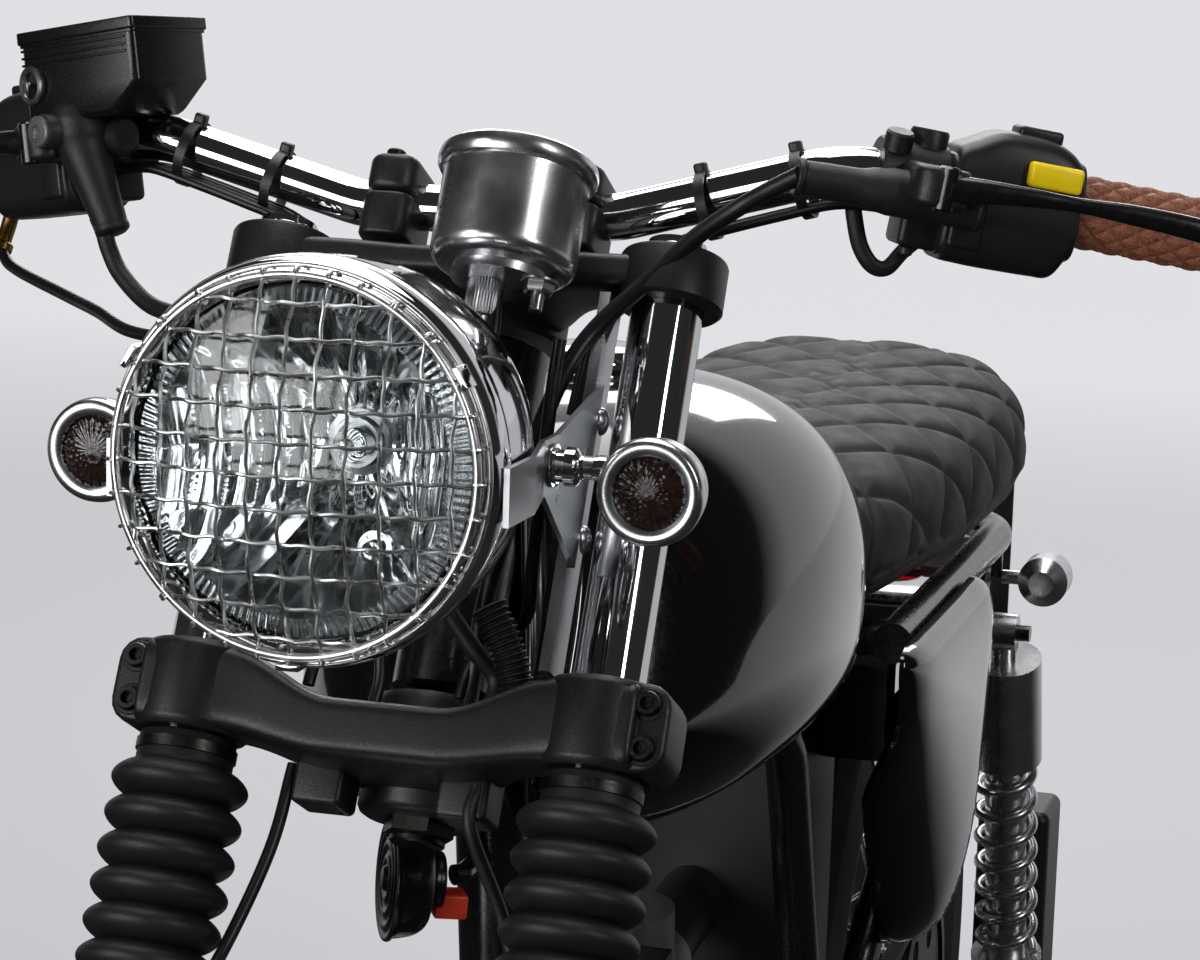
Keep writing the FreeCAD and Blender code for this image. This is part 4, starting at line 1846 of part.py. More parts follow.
# A side panel's outline, as shares of its length and height; its dome, as shares of its bulge and of the
# outline's size; the dome's middle and the inner face's size
PANEL_OUTLINE_SHARES = [
    (0, 0.96), (0.015, 0.86), (0.05, 0.756), (0.19, 0.5), (0.33, 0.244), (0.44, 0.09), (0.55, 0.02),
    (0.67, 0),
    (0.78, 0.045), (0.86, 0.14), (0.92, 0.3), (0.965, 0.5), (0.99, 0.717), (0.995, 0.86), (0.975, 0.96),
    (0.91, 1),
    (0.7, 1), (0.46, 1), (0.2, 1), (0.05, 0.995),
]
PANEL_DOME_SHARES = [
    (0, 1), (0.15, 0.995), (0.3, 0.98), (0.45, 0.955), (0.6, 0.91), (0.72, 0.85), (0.82, 0.76), (0.9, 0.64),
    (0.95, 0.5),
    (0.985, 0.3), (1, 0.1),
]
PANEL_MIDDLE_SHARES = (0.68, 0.69)
PANEL_INSIDE_SHARE = 0.95


def panel_dome(size, inset):
    """A domed solid over the panel's outline, at a share of its size and set toward the middle plane."""
    length = float(D.panel_rear_y - D.panel_front_y)
    height = float(D.panel_top_z - D.panel_low_z)
    bulge = float(D.panel_outer - D.panel_inner)
    middle = [share * run for share, run in zip(PANEL_MIDDLE_SHARES, (length, height))]
    sections = []
    for across, shrink in PANEL_DOME_SHARES:
        x = D.panel_inner.value + bulge * across - float(inset)
        points = []
        for along, up in PANEL_OUTLINE_SHARES:
            y = middle[0] + (length * along - middle[0]) * shrink * size
            z = middle[1] + (height * up - middle[1]) * shrink * size
            points.append(Vector(x, D.panel_front_y.value + y, D.panel_low_z.value + z))
        curve = Part.BSplineCurve()
        curve.interpolate(points, PeriodicFlag=True)
        sections.append(Part.Wire([curve.toShape()]))
    return Part.makeLoft(sections, True, True)


def side_panels():
    """A domed hollow panel on each side below the seat, on a stud, notched round the frame's rear strut."""
    x = D.pivot_plate_x + D.pivot_plate_thickness / 2
    strut = rod(
        (x, D.pivot_y, D.pivot_z + D.pivot_plate_top / 2), (D.rail_half, D.strut_y, D.rail_z),
        D.rail_radius * D.brace_share + D.panel_strut_gap,
    )
    shell = panel_dome(1, 0).cut([panel_dome(PANEL_INSIDE_SHARE, D.panel_wall), strut])
    stud = round_bar(
        D.peg_bar_radius, (D.panel_stud, D.panel_stud_y, D.panel_stud_z), (1, 0, 0),
        D.panel_outer - D.panel_wall - D.panel_stud
    )
    left = shell.fuse(stud)
    node("side_panel_left", free(left))
    node("side_panel_right", free(mirrored(left)))


def air_box():
    """Air box behind the carburettor."""
    low = D.pivot_z + D.pivot_plate_top + D.seat_gap
    body = block((-D.airbox_half, D.airbox_front, low), (D.airbox_half, D.airbox_rear, D.airbox_top))
    ears = block((-D.panel_stud + D.seat_gap, D.panel_ear_front, D.panel_ear_low),
                 (D.panel_stud - D.seat_gap, D.airbox_rear, D.airbox_top))
    start = D.head_half + D.intake_reach + D.carb_length + D.seat_gap * 2
    mouth = to_row(CYLINDER, 0, start, CYL_TOP + D.seat_gap + D.port_rise)
    straight = to_row(CYLINDER, 0, start + D.intake_reach, CYL_TOP + D.seat_gap + D.port_rise)
    end = (0, D.airbox_front + D.overrun, straight.z + D.overrun.value)
    boot = free(swept([mouth, straight, end], D.intake_radius, D.rail_bend))
    return node("air_box", union(body, ears, boot))


# Engine
CYL_LOW = D.case_deck - D.overrun
CYL_TOP = D.case_deck + D.cylinder_height


def crankcase():
    """Crankcase with its side covers."""
    core = plate(
        [(-D.case_front, -D.case_low * 0.55), (-D.case_front * 0.75, -D.case_low),
         (D.case_rear * 0.8, -D.case_low), (D.case_rear, -D.case_low * 0.6),
         (D.case_rear, 0), (D.case_rear * 0.72, D.case_shoulder), (D.case_front * 0.6, D.case_deck),
         (-D.case_front * 0.72, D.case_deck), (-D.case_front, D.case_deck * 0.4)],
        D.case_half * 2, "YZ_Plane",
    )
    place(core, (-D.case_half, 0, 0))
    edge = D.cover_edge
    left = union(
        cylinder(D.cover_radius, D.cover_reach - edge, (0, 0, 0), "x"),
        cone(D.cover_radius, D.cover_radius - edge, edge, (D.cover_reach - edge, 0, 0), "x"),
    )
    right = union(
        cylinder(D.clutch_radius, D.cover_reach - edge, (0, D.clutch_back / 2, 0), "-x"),
        cone(D.clutch_radius, D.clutch_radius - edge, edge, (-D.cover_reach + edge, D.clutch_back / 2, 0),
             "-x"),
        cylinder(D.clutch_radius * 0.7, D.cover_reach - edge * 2, (0, -D.clutch_back / 2, 0), "-x"),
    )
    shaft = cylinder(D.axle_nut_radius, D.chain_x + D.chain_width / 2, (0, D.front_sprocket_y - D.crank_y, 0),
                     "x")
    sprocket = cylinder(D.front_sprocket_radius - D.chain_height / 2 - D.sprocket_gap, D.sprocket_thickness,
                        (SPROCKET_INNER, D.front_sprocket_y - D.crank_y, 0), "x")
    deck = CYL_LOW + D.deck_clear - D.seat_gap
    wide = D.head_half + D.overrun
    above = turned_with(block((-wide, -D.case_front, deck), (wide, D.case_front, deck + D.case_deck)),
                        CYLINDER)
    neck = turned_with(block((-D.cylinder_core, -D.cylinder_core, 0),
                             (D.cylinder_core, D.cylinder_core, deck)), CYLINDER)
    return node("crankcase", union(minus(union(core, left, right), above), neck, shaft, sprocket), CRANK)


def finned(half, core, low, height, count):
    """A core with equal cooling fins."""
    pieces = [block((-core, -core, low), (core, core, low + height))]
    pitch = (height - D.fin_thickness) / (count - 1)
    for k in range(int(count.value)):
        start = low + pitch * k
        pieces.append(block((-half, -half, start), (half, half, start + D.fin_thickness)))
    return pieces


def cylinder_and_head():
    """Finned cylinder and finned head with its rocker cover and ports, leaning forward."""
    gap = D.seat_gap
    barrel = finned(D.cylinder_half, D.cylinder_core, CYL_LOW + D.deck_clear,
                    CYL_TOP - CYL_LOW - D.deck_clear, D.fin_count)
    node("cylinder", union(*barrel), CYLINDER)
    low = CYL_TOP + gap
    pieces = finned(D.head_half, D.cylinder_core, low, D.head_height, D.head_fin_count)
    cover_low = low + D.head_height - D.fin_thickness
    pieces.append(block((-D.rocker_half, -D.rocker_half, cover_low),
                        (D.rocker_half, D.rocker_half, cover_low + D.rocker_height)))
    port = low + D.port_rise
    pieces.append(cylinder(D.tappet_cap_radius, D.tappet_cap_reach,
                           (0, -D.rocker_half, cover_low + D.rocker_height / 2), "-y"))
    pieces.append(cylinder(D.tappet_cap_radius, D.tappet_cap_reach,
                           (0, D.rocker_half, cover_low + D.rocker_height / 2), "y"))
    pieces.append(cylinder(D.intake_radius, D.head_half + D.intake_reach, (0, 0, port), "y"))
    pieces.append(cylinder(D.exhaust_flange, D.head_half + D.overrun, (0, 0, port), "-y"))
    node("cylinder_head", union(*pieces), CYLINDER)
    start = D.head_half + D.intake_reach + gap
    body = cylinder(D.carb_radius, D.carb_length, (0, start, port), "y")
    bowl = block((-D.carb_radius, start + D.overrun, port - D.carb_half * 1.6),
                 (D.carb_radius, start + D.carb_length - D.overrun, port))
    top = cylinder(D.carb_radius * 0.9, D.carb_half * 1.6, (0, start + D.carb_length / 2, port))
    node("carburettor", union(body, bowl, top), CYLINDER)


def exhaust():
    """Exhaust pipe down the right side and the silencer."""
    port = CYL_TOP + D.seat_gap + D.port_rise
    start = to_row(CYLINDER, 0, -(D.head_half + D.overrun + D.seat_gap).value, port)
    ahead = to_row(CYLINDER, 0, -(D.head_half + D.exhaust_reach).value, port)
    x = -D.silencer_side.value
    climb = math.radians(D.silencer_climb.value)
    join = Vector(x, D.silencer_y.value, D.silencer_z.value)
    line = Vector(0, math.cos(climb), math.sin(climb))
    low = Vector(-D.exhaust_side.value, ahead.y, D.exhaust_low.value)
    knee = Vector(-D.exhaust_side.value, ahead.y, ahead.z - D.exhaust_drop.value)
    path = [start, ahead, knee, low, join - line * D.exhaust_run.value, join]
    node("exhaust_pipe", free(swept(path, D.exhaust_radius, D.exhaust_bend)))
    radius, length = D.silencer_radius.value, D.silencer_length.value
    nose = D.silencer_nose.value
    turn = Placement(join + line * D.seat_gap.value, Rotation(Vector(0, 0, 1), line))
    points = [(0, 0), (D.exhaust_radius.value * 1.2, 0), (radius, nose), (radius, length - nose * 0.4),
              (radius * 0.7, length - nose * 0.1),
              (radius * 0.45, length - nose * 0.1), (radius * 0.45, length), (radius * 0.38, length),
              (radius * 0.38, length - nose), (0, length - nose), (0, 0)]
    face = Part.Face(Part.makePolygon([Vector(r, 0, z) for r, z in points]))
    can = face.revolve(Vector(0, 0, 0), Vector(0, 0, 1), 360)
    can.Placement = turn
    face = -(D.pivot_plate_x + D.pivot_plate_thickness + D.seat_gap)
    boss_y, boss_z = D.pivot_y + D.pivot_plate_half / 2, D.pivot_z + D.strap_rise
    boss = round_bar(D.strap_boss_radius, (face, boss_y, boss_z), (-1, 0, 0), D.strap_boss_length)
    link = rod((x + radius / 2, D.silencer_strap_y, boss_z), (face - D.strap_boss_length / 2, boss_y, boss_z),
               D.peg_bar_radius)
    node("silencer", free(merged([can, link, boss])))


# Small controls, stands and the rear end
def footrests():
    """Footrest bar below the engine with posts and rubbers."""
    half, z = D.peg_bar_half, D.peg_bar_z
    bar = rod((-half, D.peg_y, z), (half, D.peg_y, z), D.peg_bar_radius)
    side = [
        rod((half, D.peg_y, z), (half, D.peg_y, D.peg_z), D.peg_bar_radius),
        Part.makeSphere(D.peg_bar_radius.value, Vector(half.value, D.peg_y.value, z.value)),
        round_bar(D.peg_radius, (half, D.peg_y, D.peg_z), (1, 0, 0), D.peg_length),
    ]
    feet = [slab((D.cradle_half - D.peg_bar_radius, D.peg_y - D.peg_bar_radius, z),
                 (D.cradle_half + D.peg_bar_radius, D.peg_y + D.peg_bar_radius,
                  D.cradle_z - D.rail_radius - D.seat_gap))]
    return node("footrests", free(merged([bar] + side + feet + [mirrored(s) for s in side + feet])))


def foot_controls():
    """Gear lever on the left and brake pedal on the right."""
    pieces = []
    y = D.peg_y.value - D.pedal_shift.value
    root = D.case_half.value + D.seat_gap.value
    out = D.peg_bar_half.value - D.pedal_inset.value
    for sign, drop in ((1, 0), (-1, D.pedal_drop.value)):
        z = D.pedal_z.value - drop
        knee = Vector(sign * out, y, z)
        toe = Vector(sign * out, D.peg_y.value - D.pedal_reach.value, z + D.pedal_rise.value)
        end = toe + Vector(sign * D.pedal_toe.value, 0, 0)
        pieces += [rod((sign * root, y, z), knee, D.pedal_radius), rod(knee, toe, D.pedal_radius),
                   rod(toe, end, D.pedal_radius * 1.5)]
        pieces += [Part.makeSphere(D.pedal_radius.value, p) for p in (knee, toe)]
    return node("foot_controls", free(merged(pieces)))


def centre_stand():
    """Centre stand: two legs on a pivot tube, a cross tube and flat feet."""
    y, z, half = D.stand_pivot_y, D.stand_pivot_z, D.stand_pivot_half
    ear = D.stand_ear
    inner = half - ear / 2 - D.overrun
    pin = rod((-D.pivot_plate_x - D.pivot_plate_thickness, y, z),
              (D.pivot_plate_x + D.pivot_plate_thickness, y, z), D.stand_pin_radius)
    hub = rod((-inner, y, z), (inner, y, z), D.stand_leg_radius * 1.3)
    foot_z = D.stand_foot_thickness
    leg_top = Vector(inner.value - D.stand_leg_radius.value - D.overrun.value, y.value, z.value)
    leg_end = Vector(D.stand_foot_x.value, D.stand_foot_y.value,
                     foot_z.value / 2 + D.stand_leg_radius.value / 2)
    leg = rod(leg_top, leg_end, D.stand_leg_radius)
    foot = slab((D.stand_foot_x - D.stand_foot_width / 2, D.stand_foot_y - D.stand_foot_length / 2, 0),
                (D.stand_foot_x + D.stand_foot_width / 2, D.stand_foot_y + D.stand_foot_length / 2, foot_z))
    leg = leg.cut(slab((0, -D.wheelbase, -D.wheelbase), (D.wheelbase, D.wheelbase, 0)))
    at = leg_top + (leg_end - leg_top) * D.stand_brace_share.value
    brace = rod((-at.x, at.y, at.z), (at.x, at.y, at.z), D.stand_leg_radius * 0.8)
    tang = rod(leg_end, leg_end + Vector(D.stand_foot_length.value * 0.6, D.stand_foot_length.value * 0.6,
                                         D.stand_foot_length.value / 2), D.stand_leg_radius * 0.6)
    whole = merged([hub, leg, foot, mirrored(leg), mirrored(foot), brace, tang, pin])
    return node("centre_stand", free(whole))


def side_stand():
    """Side stand, folded back along the left side."""
    start = along_prop(0)
    end = start + Vector(0, D.prop_length.value, 0)
    eye = rod(along_prop(-D.prop_eye_half), along_prop(D.prop_eye_half), D.prop_eye_radius)
    hole = rod(
        along_prop(-D.prop_eye_half - D.overrun), along_prop(D.prop_eye_half + D.overrun),
        D.prop_pin_radius + D.hub_bore_gap
    )
    half = D.prop_radius * 2
    foot = slab((D.prop_x - half, D.prop_y + D.prop_length - D.overrun, D.prop_z - half),
                (D.prop_x + half, D.prop_y + D.prop_length, D.prop_z + half))
    whole = merged([eye, rod(start, end, D.prop_radius), foot]).cut(hole)
    return node("side_stand", free(whole))


def rear_end():
    """Rear mudguard, tail lamp with the plate's backing, rear indicators and tool pouch."""
    guard = mudguard(D.rear_guard_half, D.rear_guard_ahead, D.rear_guard_behind)
    outer = D.tyre_radius + D.guard_gap + D.guard_wall
    post_y = D.rail_end_y - HALF_BASE
    post_low = root(outer * outer - post_y * post_y) - D.guard_wall / 2
    post_height = D.rail_z - D.rail_radius - D.seat_gap - REAR_AXLE_Z - post_low
    post = cylinder(D.peg_bar_radius, post_height, (0, post_y, post_low))
    node("rear_mudguard", union(guard, post), REAR_WHEEL)
    lamp_y = HALF_BASE + D.tail_lamp_behind
    lamp = round_bar(D.tail_lamp_radius, (0, lamp_y, D.tail_lamp_z), (0, 1, 0), D.tail_lamp_depth)
    foot_z = D.tail_lamp_z - D.tail_lamp_radius
    bracket = slab(
        (-D.tail_lamp_radius, lamp_y, D.tail_foot_z),
        (D.tail_lamp_radius, lamp_y + D.overrun, foot_z + D.tail_lamp_radius)
    )
    node("tail_lamp", free(merged([lamp, bracket])))
    half = D.plate_width / 2
    plate_y = HALF_BASE + D.plate_behind
    backing = slab((-half, plate_y, D.plate_z),
                   (half, plate_y + D.plate_thickness, D.plate_z + D.plate_height))
    node("number_plate", free(backing))
    x, y, z = D.rear_indicator_x.value, D.rear_indicator_y.value, D.rear_indicator_z.value
    r = D.rear_indicator_radius.value
    body = Part.makeCylinder(r, D.indicator_length.value - r / 2, Vector(x, y + r / 2, z), Vector(0, 1, 0))
    body = body.fuse(Part.makeCone(r / 2, r, r / 2, Vector(x, y, z), Vector(0, 1, 0)))
    stem = round_bar(D.indicator_stem_radius,
                     (D.rail_half + D.indicator_stem_radius + D.seat_gap, y + D.indicator_length.value / 2,
                      z), (1, 0, 0), D.rear_indicator_x - D.rail_half - D.indicator_stem_radius)
    one = body.fuse(stem)
    node("rear_indicators", free(Part.makeCompound([one, mirrored(one)])))
    pouch_x = D.arm_half + D.arm_width / 2 + D.seat_gap
    pouch_y = HALF_BASE - D.pouch_ahead
    pouch = slab(
        (pouch_x, pouch_y, D.pouch_z),
        (pouch_x + D.pouch_width, pouch_y + D.pouch_length, D.pouch_z + D.pouch_height),
    )
    node("tool_pouch", free(pouch.makeFillet(D.cover_edge.value, pouch.Edges)))


def horn_line():
    """The way that the horn's back points: to the rear and to the left."""
    turn = math.radians(D.horn_turn.value)
    return Vector(math.sin(turn), math.cos(turn), 0)


def horn():
    """Round horn ahead of the down tube."""
    front = Vector(-D.horn_side.value, D.horn_y.value, D.horn_height.value)
    line = horn_line()
    half = line * (D.horn_depth.value / 2)
    disc = rod(front, front + half, D.horn_radius)
    return node("horn", free(merged([disc, rod(front + half, front + half * 2, D.horn_radius / 2)])))


lower_yoke()
upper_yoke()
fork_legs()
handlebar()
bar_clamps()
controls()
cables()
headlamp()
lamp_brackets()
front_indicators()
speedometer()
brake_caliper()
front_axle()
front_mudguard()
tyre("front_tyre", D.front_tyre_width, FRONT_WHEEL)
rim("front_rim", FRONT_WHEEL)
tyre("rear_tyre", D.rear_tyre_width, REAR_WHEEL)
rim("rear_rim", REAR_WHEEL)
wheel_centres()
frame()
swingarm()
rear_axle()
shock("left_shock", 1)
shock("right_shock", -1)
drive_chain()
fuel_tank()
fuel_cap()
seat()
side_panels()
air_box()
crankcase()
cylinder_and_head()
exhaust()
footrests()
foot_controls()
centre_stand()
side_stand()
rear_end()
horn()

doc.recompute()
os.makedirs("parts", exist_ok=True)
for item in doc.Objects:
    if "Invalid" in item.State or "Error" in item.State:
        raise RuntimeError(f"{item.Label} did not recompute: {item.State}")
for item in NODES:
    if item.Shape.isNull() or not item.Shape.isValid() or item.Shape.Volume <= 0:
        raise RuntimeError(f"{item.Label} has no valid solid")
    item.Shape.exportStep(f"parts/{item.Label}.step")
    box = item.Shape.BoundBox
    print(f"{item.Label:20s} solids {len(item.Shape.Solids):3d} volume {item.Shape.Volume / 1000:9.1f} cm3"
          f" x {box.XMin:7.1f} {box.XMax:7.1f} y {box.YMin:7.1f} {box.YMax:7.1f} z {box.ZMin:7.1f} {box.ZMax:7.1f}")
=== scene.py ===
"""Dresses the cafe racer motorcycle around its CAD frame, in metres, and sets it in a pale studio."""
import math

import bmesh
import bpy
import numpy as np
from mathutils import Matrix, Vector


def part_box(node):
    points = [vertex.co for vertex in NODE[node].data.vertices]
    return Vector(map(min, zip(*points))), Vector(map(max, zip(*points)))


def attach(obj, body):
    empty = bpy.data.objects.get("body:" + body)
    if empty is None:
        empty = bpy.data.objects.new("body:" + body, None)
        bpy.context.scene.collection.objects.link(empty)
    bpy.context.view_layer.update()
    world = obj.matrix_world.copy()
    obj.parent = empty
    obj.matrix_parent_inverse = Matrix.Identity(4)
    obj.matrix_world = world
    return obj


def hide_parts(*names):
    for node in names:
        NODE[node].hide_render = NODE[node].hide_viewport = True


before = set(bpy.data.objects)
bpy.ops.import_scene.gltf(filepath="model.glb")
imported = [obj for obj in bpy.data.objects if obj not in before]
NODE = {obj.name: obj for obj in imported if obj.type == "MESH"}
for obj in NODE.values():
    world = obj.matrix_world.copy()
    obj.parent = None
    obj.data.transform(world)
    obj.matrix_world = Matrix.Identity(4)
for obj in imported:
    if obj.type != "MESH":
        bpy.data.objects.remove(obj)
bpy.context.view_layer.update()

MM = 0.001

# Driving dimensions of the machine in millimetres, as in the CAD source; piece() turns millimetres to metres
RAKE = math.radians(27)
FRONT_AXLE = np.array([0, -635, 320])
LEG = 95
STEM_BACK = 60
YOKE_LOW = 505
YOKE_HIGH = 545
TOP_HIGH = 748
TUBE = 16.5
BAR_BACK = 8
BAR_RISE = 22
X_AXIS = np.array([1.0, 0, 0])
Y_AXIS = np.array([0, 1.0, 0])
Z_AXIS = np.array([0, 0, 1.0])


# Frames: three directions as rows, and an origin
def frame_of(origin, along, across=X_AXIS):
    """A frame whose third direction runs along a line; the first is the given one squared to it."""
    third = np.array(along, float) / np.linalg.norm(along)
    first = np.array(across, float) - third * np.dot(across, third)
    first /= np.linalg.norm(first)
    return np.array([first, np.cross(third, first), third]), np.array(origin, float)


def carried(points, place):
    """Points of a frame as points of the whole: the origin plus each coordinate times its direction."""
    return np.asarray(points, float) @ place[0] + place[1]


ROW = (np.eye(3), np.zeros(3))
FORK = (np.array([[1, 0, 0], [0, math.cos(RAKE), -math.sin(RAKE)], [0, math.sin(RAKE), math.cos(RAKE)]]),
        FRONT_AXLE)
LAMP_LOW, LAMP_HIGH = [np.array(c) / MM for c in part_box("headlamp_shell")]
# The headlamp's frame starts at its front, its third direction to the rear
LAMP = frame_of((0, LAMP_LOW[1], (LAMP_LOW[2] + LAMP_HIGH[2]) / 2), Y_AXIS)


def on_fork(x, back, up):
    """One point of the fork's frame in the whole."""
    return carried([x, back, up], FORK)


def fork_place(x, back, up):
    """The fork's directions at one of its points."""
    return FORK[0], on_fork(x, back, up)


# Meshes
def grid_faces(rows, columns, close_rows=False, close_columns=False, start=0):
    """Quads between neighbouring rows and columns; a closed side joins its last line to its first."""
    i = np.arange(rows if close_rows else rows - 1)
    j = np.arange(columns if close_columns else columns - 1)
    a, b = np.meshgrid(i, j, indexing="ij")
    c, d = (a + 1) % rows, (b + 1) % columns
    quads = np.stack([a * columns + b, a * columns + d, c * columns + d, c * columns + b], -1)
    return quads.reshape(-1, 4) + start


def surface(points, close_rows=False, close_columns=True):
    """A grid of points, rows by columns, as a list of points and quads."""
    rows, columns = points.shape[:2]
    return points.reshape(-1, 3), grid_faces(rows, columns, close_rows, close_columns)


def joined(*parts):
    """Several point and quad sets as one; each set's quads are moved up by the points before it."""
    starts = np.cumsum([0] + [len(p) for p, q in parts[:-1]])
    return np.concatenate([p for p, q in parts]), np.concatenate([q + s for (p, q), s in zip(parts, starts)])


def piece(name, part, finish, body, replaces=(), smooth=True, angle=40):
    """A named piece from points in millimetres and quads: faces outward, edges sharp above an angle."""
    mesh = bpy.data.meshes.new(name)
    mesh.from_pydata((part[0] * MM).tolist(), [], part[1].tolist())
    work = bmesh.new()
    work.from_mesh(mesh)
    bmesh.ops.remove_doubles(work, verts=work.verts, dist=1e-6)
    bmesh.ops.dissolve_degenerate(work, edges=work.edges, dist=1e-7)
    bmesh.ops.recalc_face_normals(work, faces=work.faces)
    work.to_mesh(mesh)
    work.free()
    mesh.materials.append(finish)
    if smooth:
        mesh.shade_smooth()
        mesh.set_sharp_from_angle(angle=math.radians(angle))
    made = bpy.data.objects.new(name, mesh)
    bpy.context.scene.collection.objects.link(made)
    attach(made, body)
    if replaces:
        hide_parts(*replaces)
    return made


# Shapes
def circle(sides):
    """Angles round a circle."""
    return np.linspace(0, 2 * np.pi, sides, endpoint=False)


def squared(value, power):
    """A sine or cosine pushed toward its limits, which makes a round section squarer."""
    return np.sign(value) * np.abs(value) ** power


def between(low, high, value, power):
    """From the low to the high side of a squared section as its sine or cosine goes from -1 to 1."""
    return (low + high) / 2 + (high - low) / 2 * squared(value, power)


def lathe(profile, place=ROW, sides=64, closed=False):
    """A profile of radius and height turned about the third direction: x = r cos a, y = r sin a, z = h."""
    profile = np.asarray(profile, float)
    if closed:
        profile = np.concatenate([profile, profile[:1]])
    a = circle(sides)
    ring = np.stack([np.cos(a), np.sin(a), np.zeros(sides)], -1)
    points = profile[:, None, :1] * ring[None] + profile[:, None, 1:2] * Z_AXIS
    return surface(carried(points, place))


def smooth_path(points, per_run=12):
    """Points along a curve through given points, each run a cubic whose ends follow the neighbours."""
    p = np.asarray(points, float)
    p = np.concatenate([[2 * p[0] - p[1]], p, [2 * p[-1] - p[-2]]])
    t = np.linspace(0, 1, per_run, endpoint=False)[:, None]
    runs = []
    for a, b, c, d in zip(p, p[1:], p[2:], p[3:]):
        square, cube = 2 * a - 5 * b + 4 * c - d, 3 * b - a - 3 * c + d
        runs.append(0.5 * (2 * b + (c - a) * t + square * t**2 + cube * t**3))
    return np.concatenate(runs + [p[-2:-1]])


def framed(path):
    """Directions across a path at each of its points: the first one is squared to the line step by step."""
    step = np.gradient(path, axis=0)
    step /= np.linalg.norm(step, axis=1, keepdims=True)
    side = np.cross(step[0], Z_AXIS if abs(step[0][2]) < 0.9 else X_AXIS)
    sides = []
    for line in step:
        side = side - line * np.dot(side, line)
        side = side / np.linalg.norm(side)
        sides.append(side)
    sides = np.array(sides)
    return sides, np.cross(step, sides)


def swept(path, radius, sides=12, flat=1.0, capped=True):
    """A round or flattened section carried along a path; the radius may change from point to point."""
    path = np.asarray(path, float)
    radius = np.broadcast_to(np.asarray(radius, float), (len(path),))
    if capped:
        path = np.concatenate([path[:1], path, path[-1:]])
        radius = np.concatenate([[0], radius, [0]])
        across, up = framed(path[1:-1])
        across = np.concatenate([across[:1], across, across[-1:]])
        up = np.concatenate([up[:1], up, up[-1:]])
    else:
        across, up = framed(path)
    turn = circle(sides)
    ring = np.cos(turn)[None, :, None] * across[:, None] + flat * np.sin(turn)[None, :, None] * up[:, None]
    return surface(path[:, None] + radius[:, None, None] * ring)


def arc(radius, height, across, along, steps=8):
    """A quarter ellipse as points of a profile, from its side to its top."""
    t = np.linspace(0, np.pi / 2, steps)
    return [(radius + across * math.cos(k), height + along * math.sin(k)) for k in t]


def ring(radius, wire, place=ROW, sides=96, around=12):
    """A torus: a small circle carried round a large one."""
    a = circle(sides)[:, None]
    b = circle(around)[None]
    reach = radius + wire * np.cos(b)
    points = np.stack([reach * np.cos(a), reach * np.sin(a), wire * np.sin(b) + 0 * a], -1)
    return surface(carried(points, place), close_rows=True)


def rounded_block(low, high, edge, place=ROW, corner=None, steps=4):
    """A box with round edges: a rounded rectangle whose rings shrink over a quarter circle at both ends."""
    low, high = np.array(low, float), np.array(high, float)
    corner = max(edge, corner or edge)
    quarter = np.linspace(0, np.pi / 2, steps + 1)
    rings = []
    for sign, turns in ((-1, quarter), (1, quarter[::-1])):
        for t in turns:
            inset = edge * (1 - math.sin(t))
            z = (low[2] + edge - edge * math.cos(t)) if sign < 0 else (high[2] - edge + edge * math.cos(t))
            rings.append((inset, z))
    rings = [(None, low[2])] + rings + [(None, high[2])]
    middle = (low + high) / 2
    loops = []
    for inset, z in rings:
        if inset is None:
            loops.append(np.tile([middle[0], middle[1], z], (4 * (steps + 1), 1)))
            continue
        round_by = max(corner - inset, edge * 0.05)
        half = (high - low)[:2] / 2 - inset - round_by
        loop = []
        for k, (sx, sy) in enumerate(((1, 1), (-1, 1), (-1, -1), (1, -1))):
            t = np.pi / 2 * k + quarter
            x, y = sx * half[0] + round_by * np.cos(t), sy * half[1] + round_by * np.sin(t)
            loop.append(np.stack([x, y], -1))
        loop = np.concatenate(loop) + middle[:2]
        loops.append(np.column_stack([loop, np.full(len(loop), z)]))
    return surface(carried(np.array(loops), place))


def bar_end(radius, length, edge, place=ROW, sides=32, hollow=0.0):
    """A short round bar with rounded rims, and an optional round recess in its far end."""
    profile = [(0, 0), (radius - edge, 0), (radius, edge), (radius, length - edge), (radius - edge, length)]
    if hollow:
        profile += [(hollow, length), (hollow, length - edge * 2), (0, length - edge * 2)]
    else:
        profile += [(0, length)]
    return lathe(profile, place, sides)


def hex_head(radius, height, place=ROW):
    """A six-sided head with a chamfered top."""
    profile = [(0, 0), (radius, 0), (radius, height * 0.8), (radius * 0.86, height), (0, height)]
    return lathe(profile, place, 6)


def socket_head(radius, height, place=ROW):
    """A round bolt head with a six-sided socket sunk in it."""
    outer = lathe([(0, 0), (radius, 0), (radius, height * 0.8), (radius * 0.9, height),
                   (radius * 0.55, height)], place, 24)
    inner = lathe([(radius * 0.55, height), (radius * 0.5, height * 0.4), (0, height * 0.4)], place, 6)
    return joined(outer, inner)


def dome_head(radius, height, place=ROW):
    """A button head: a quarter ellipse turned about its axis."""
    t = np.linspace(0, np.pi / 2, 7)
    profile = np.stack([radius * np.cos(t), height * np.sin(t)], -1)
    return lathe(np.concatenate([[(0, 0)], profile]), place, 24)


# Materials
def linear(code):
    """An sRGB hex colour as linear numbers."""
    parts = [int(code[k:k + 2], 16) / 255 for k in (1, 3, 5)]
    return [c / 12.92 if c <= 0.04045 else ((c + 0.055) / 1.055) ** 2.4 for c in parts] + [1.0]


def per_mm(size):
    """A pattern's scale whose features are so many millimetres wide."""
    return 1000 / size


def add(tree, kind, settings, links=None):
    """A node with its settings and its links, both by the name or number of a setting or socket."""
    made = tree.nodes.new("ShaderNode" + kind)
    for key, value in settings.items():
        if isinstance(key, str) and hasattr(made, key):
            setattr(made, key, value)
        else:
            made.inputs[key].default_value = value
    for key, source in (links or {}).items():
        tree.links.new(source, made.inputs[key])
    return made


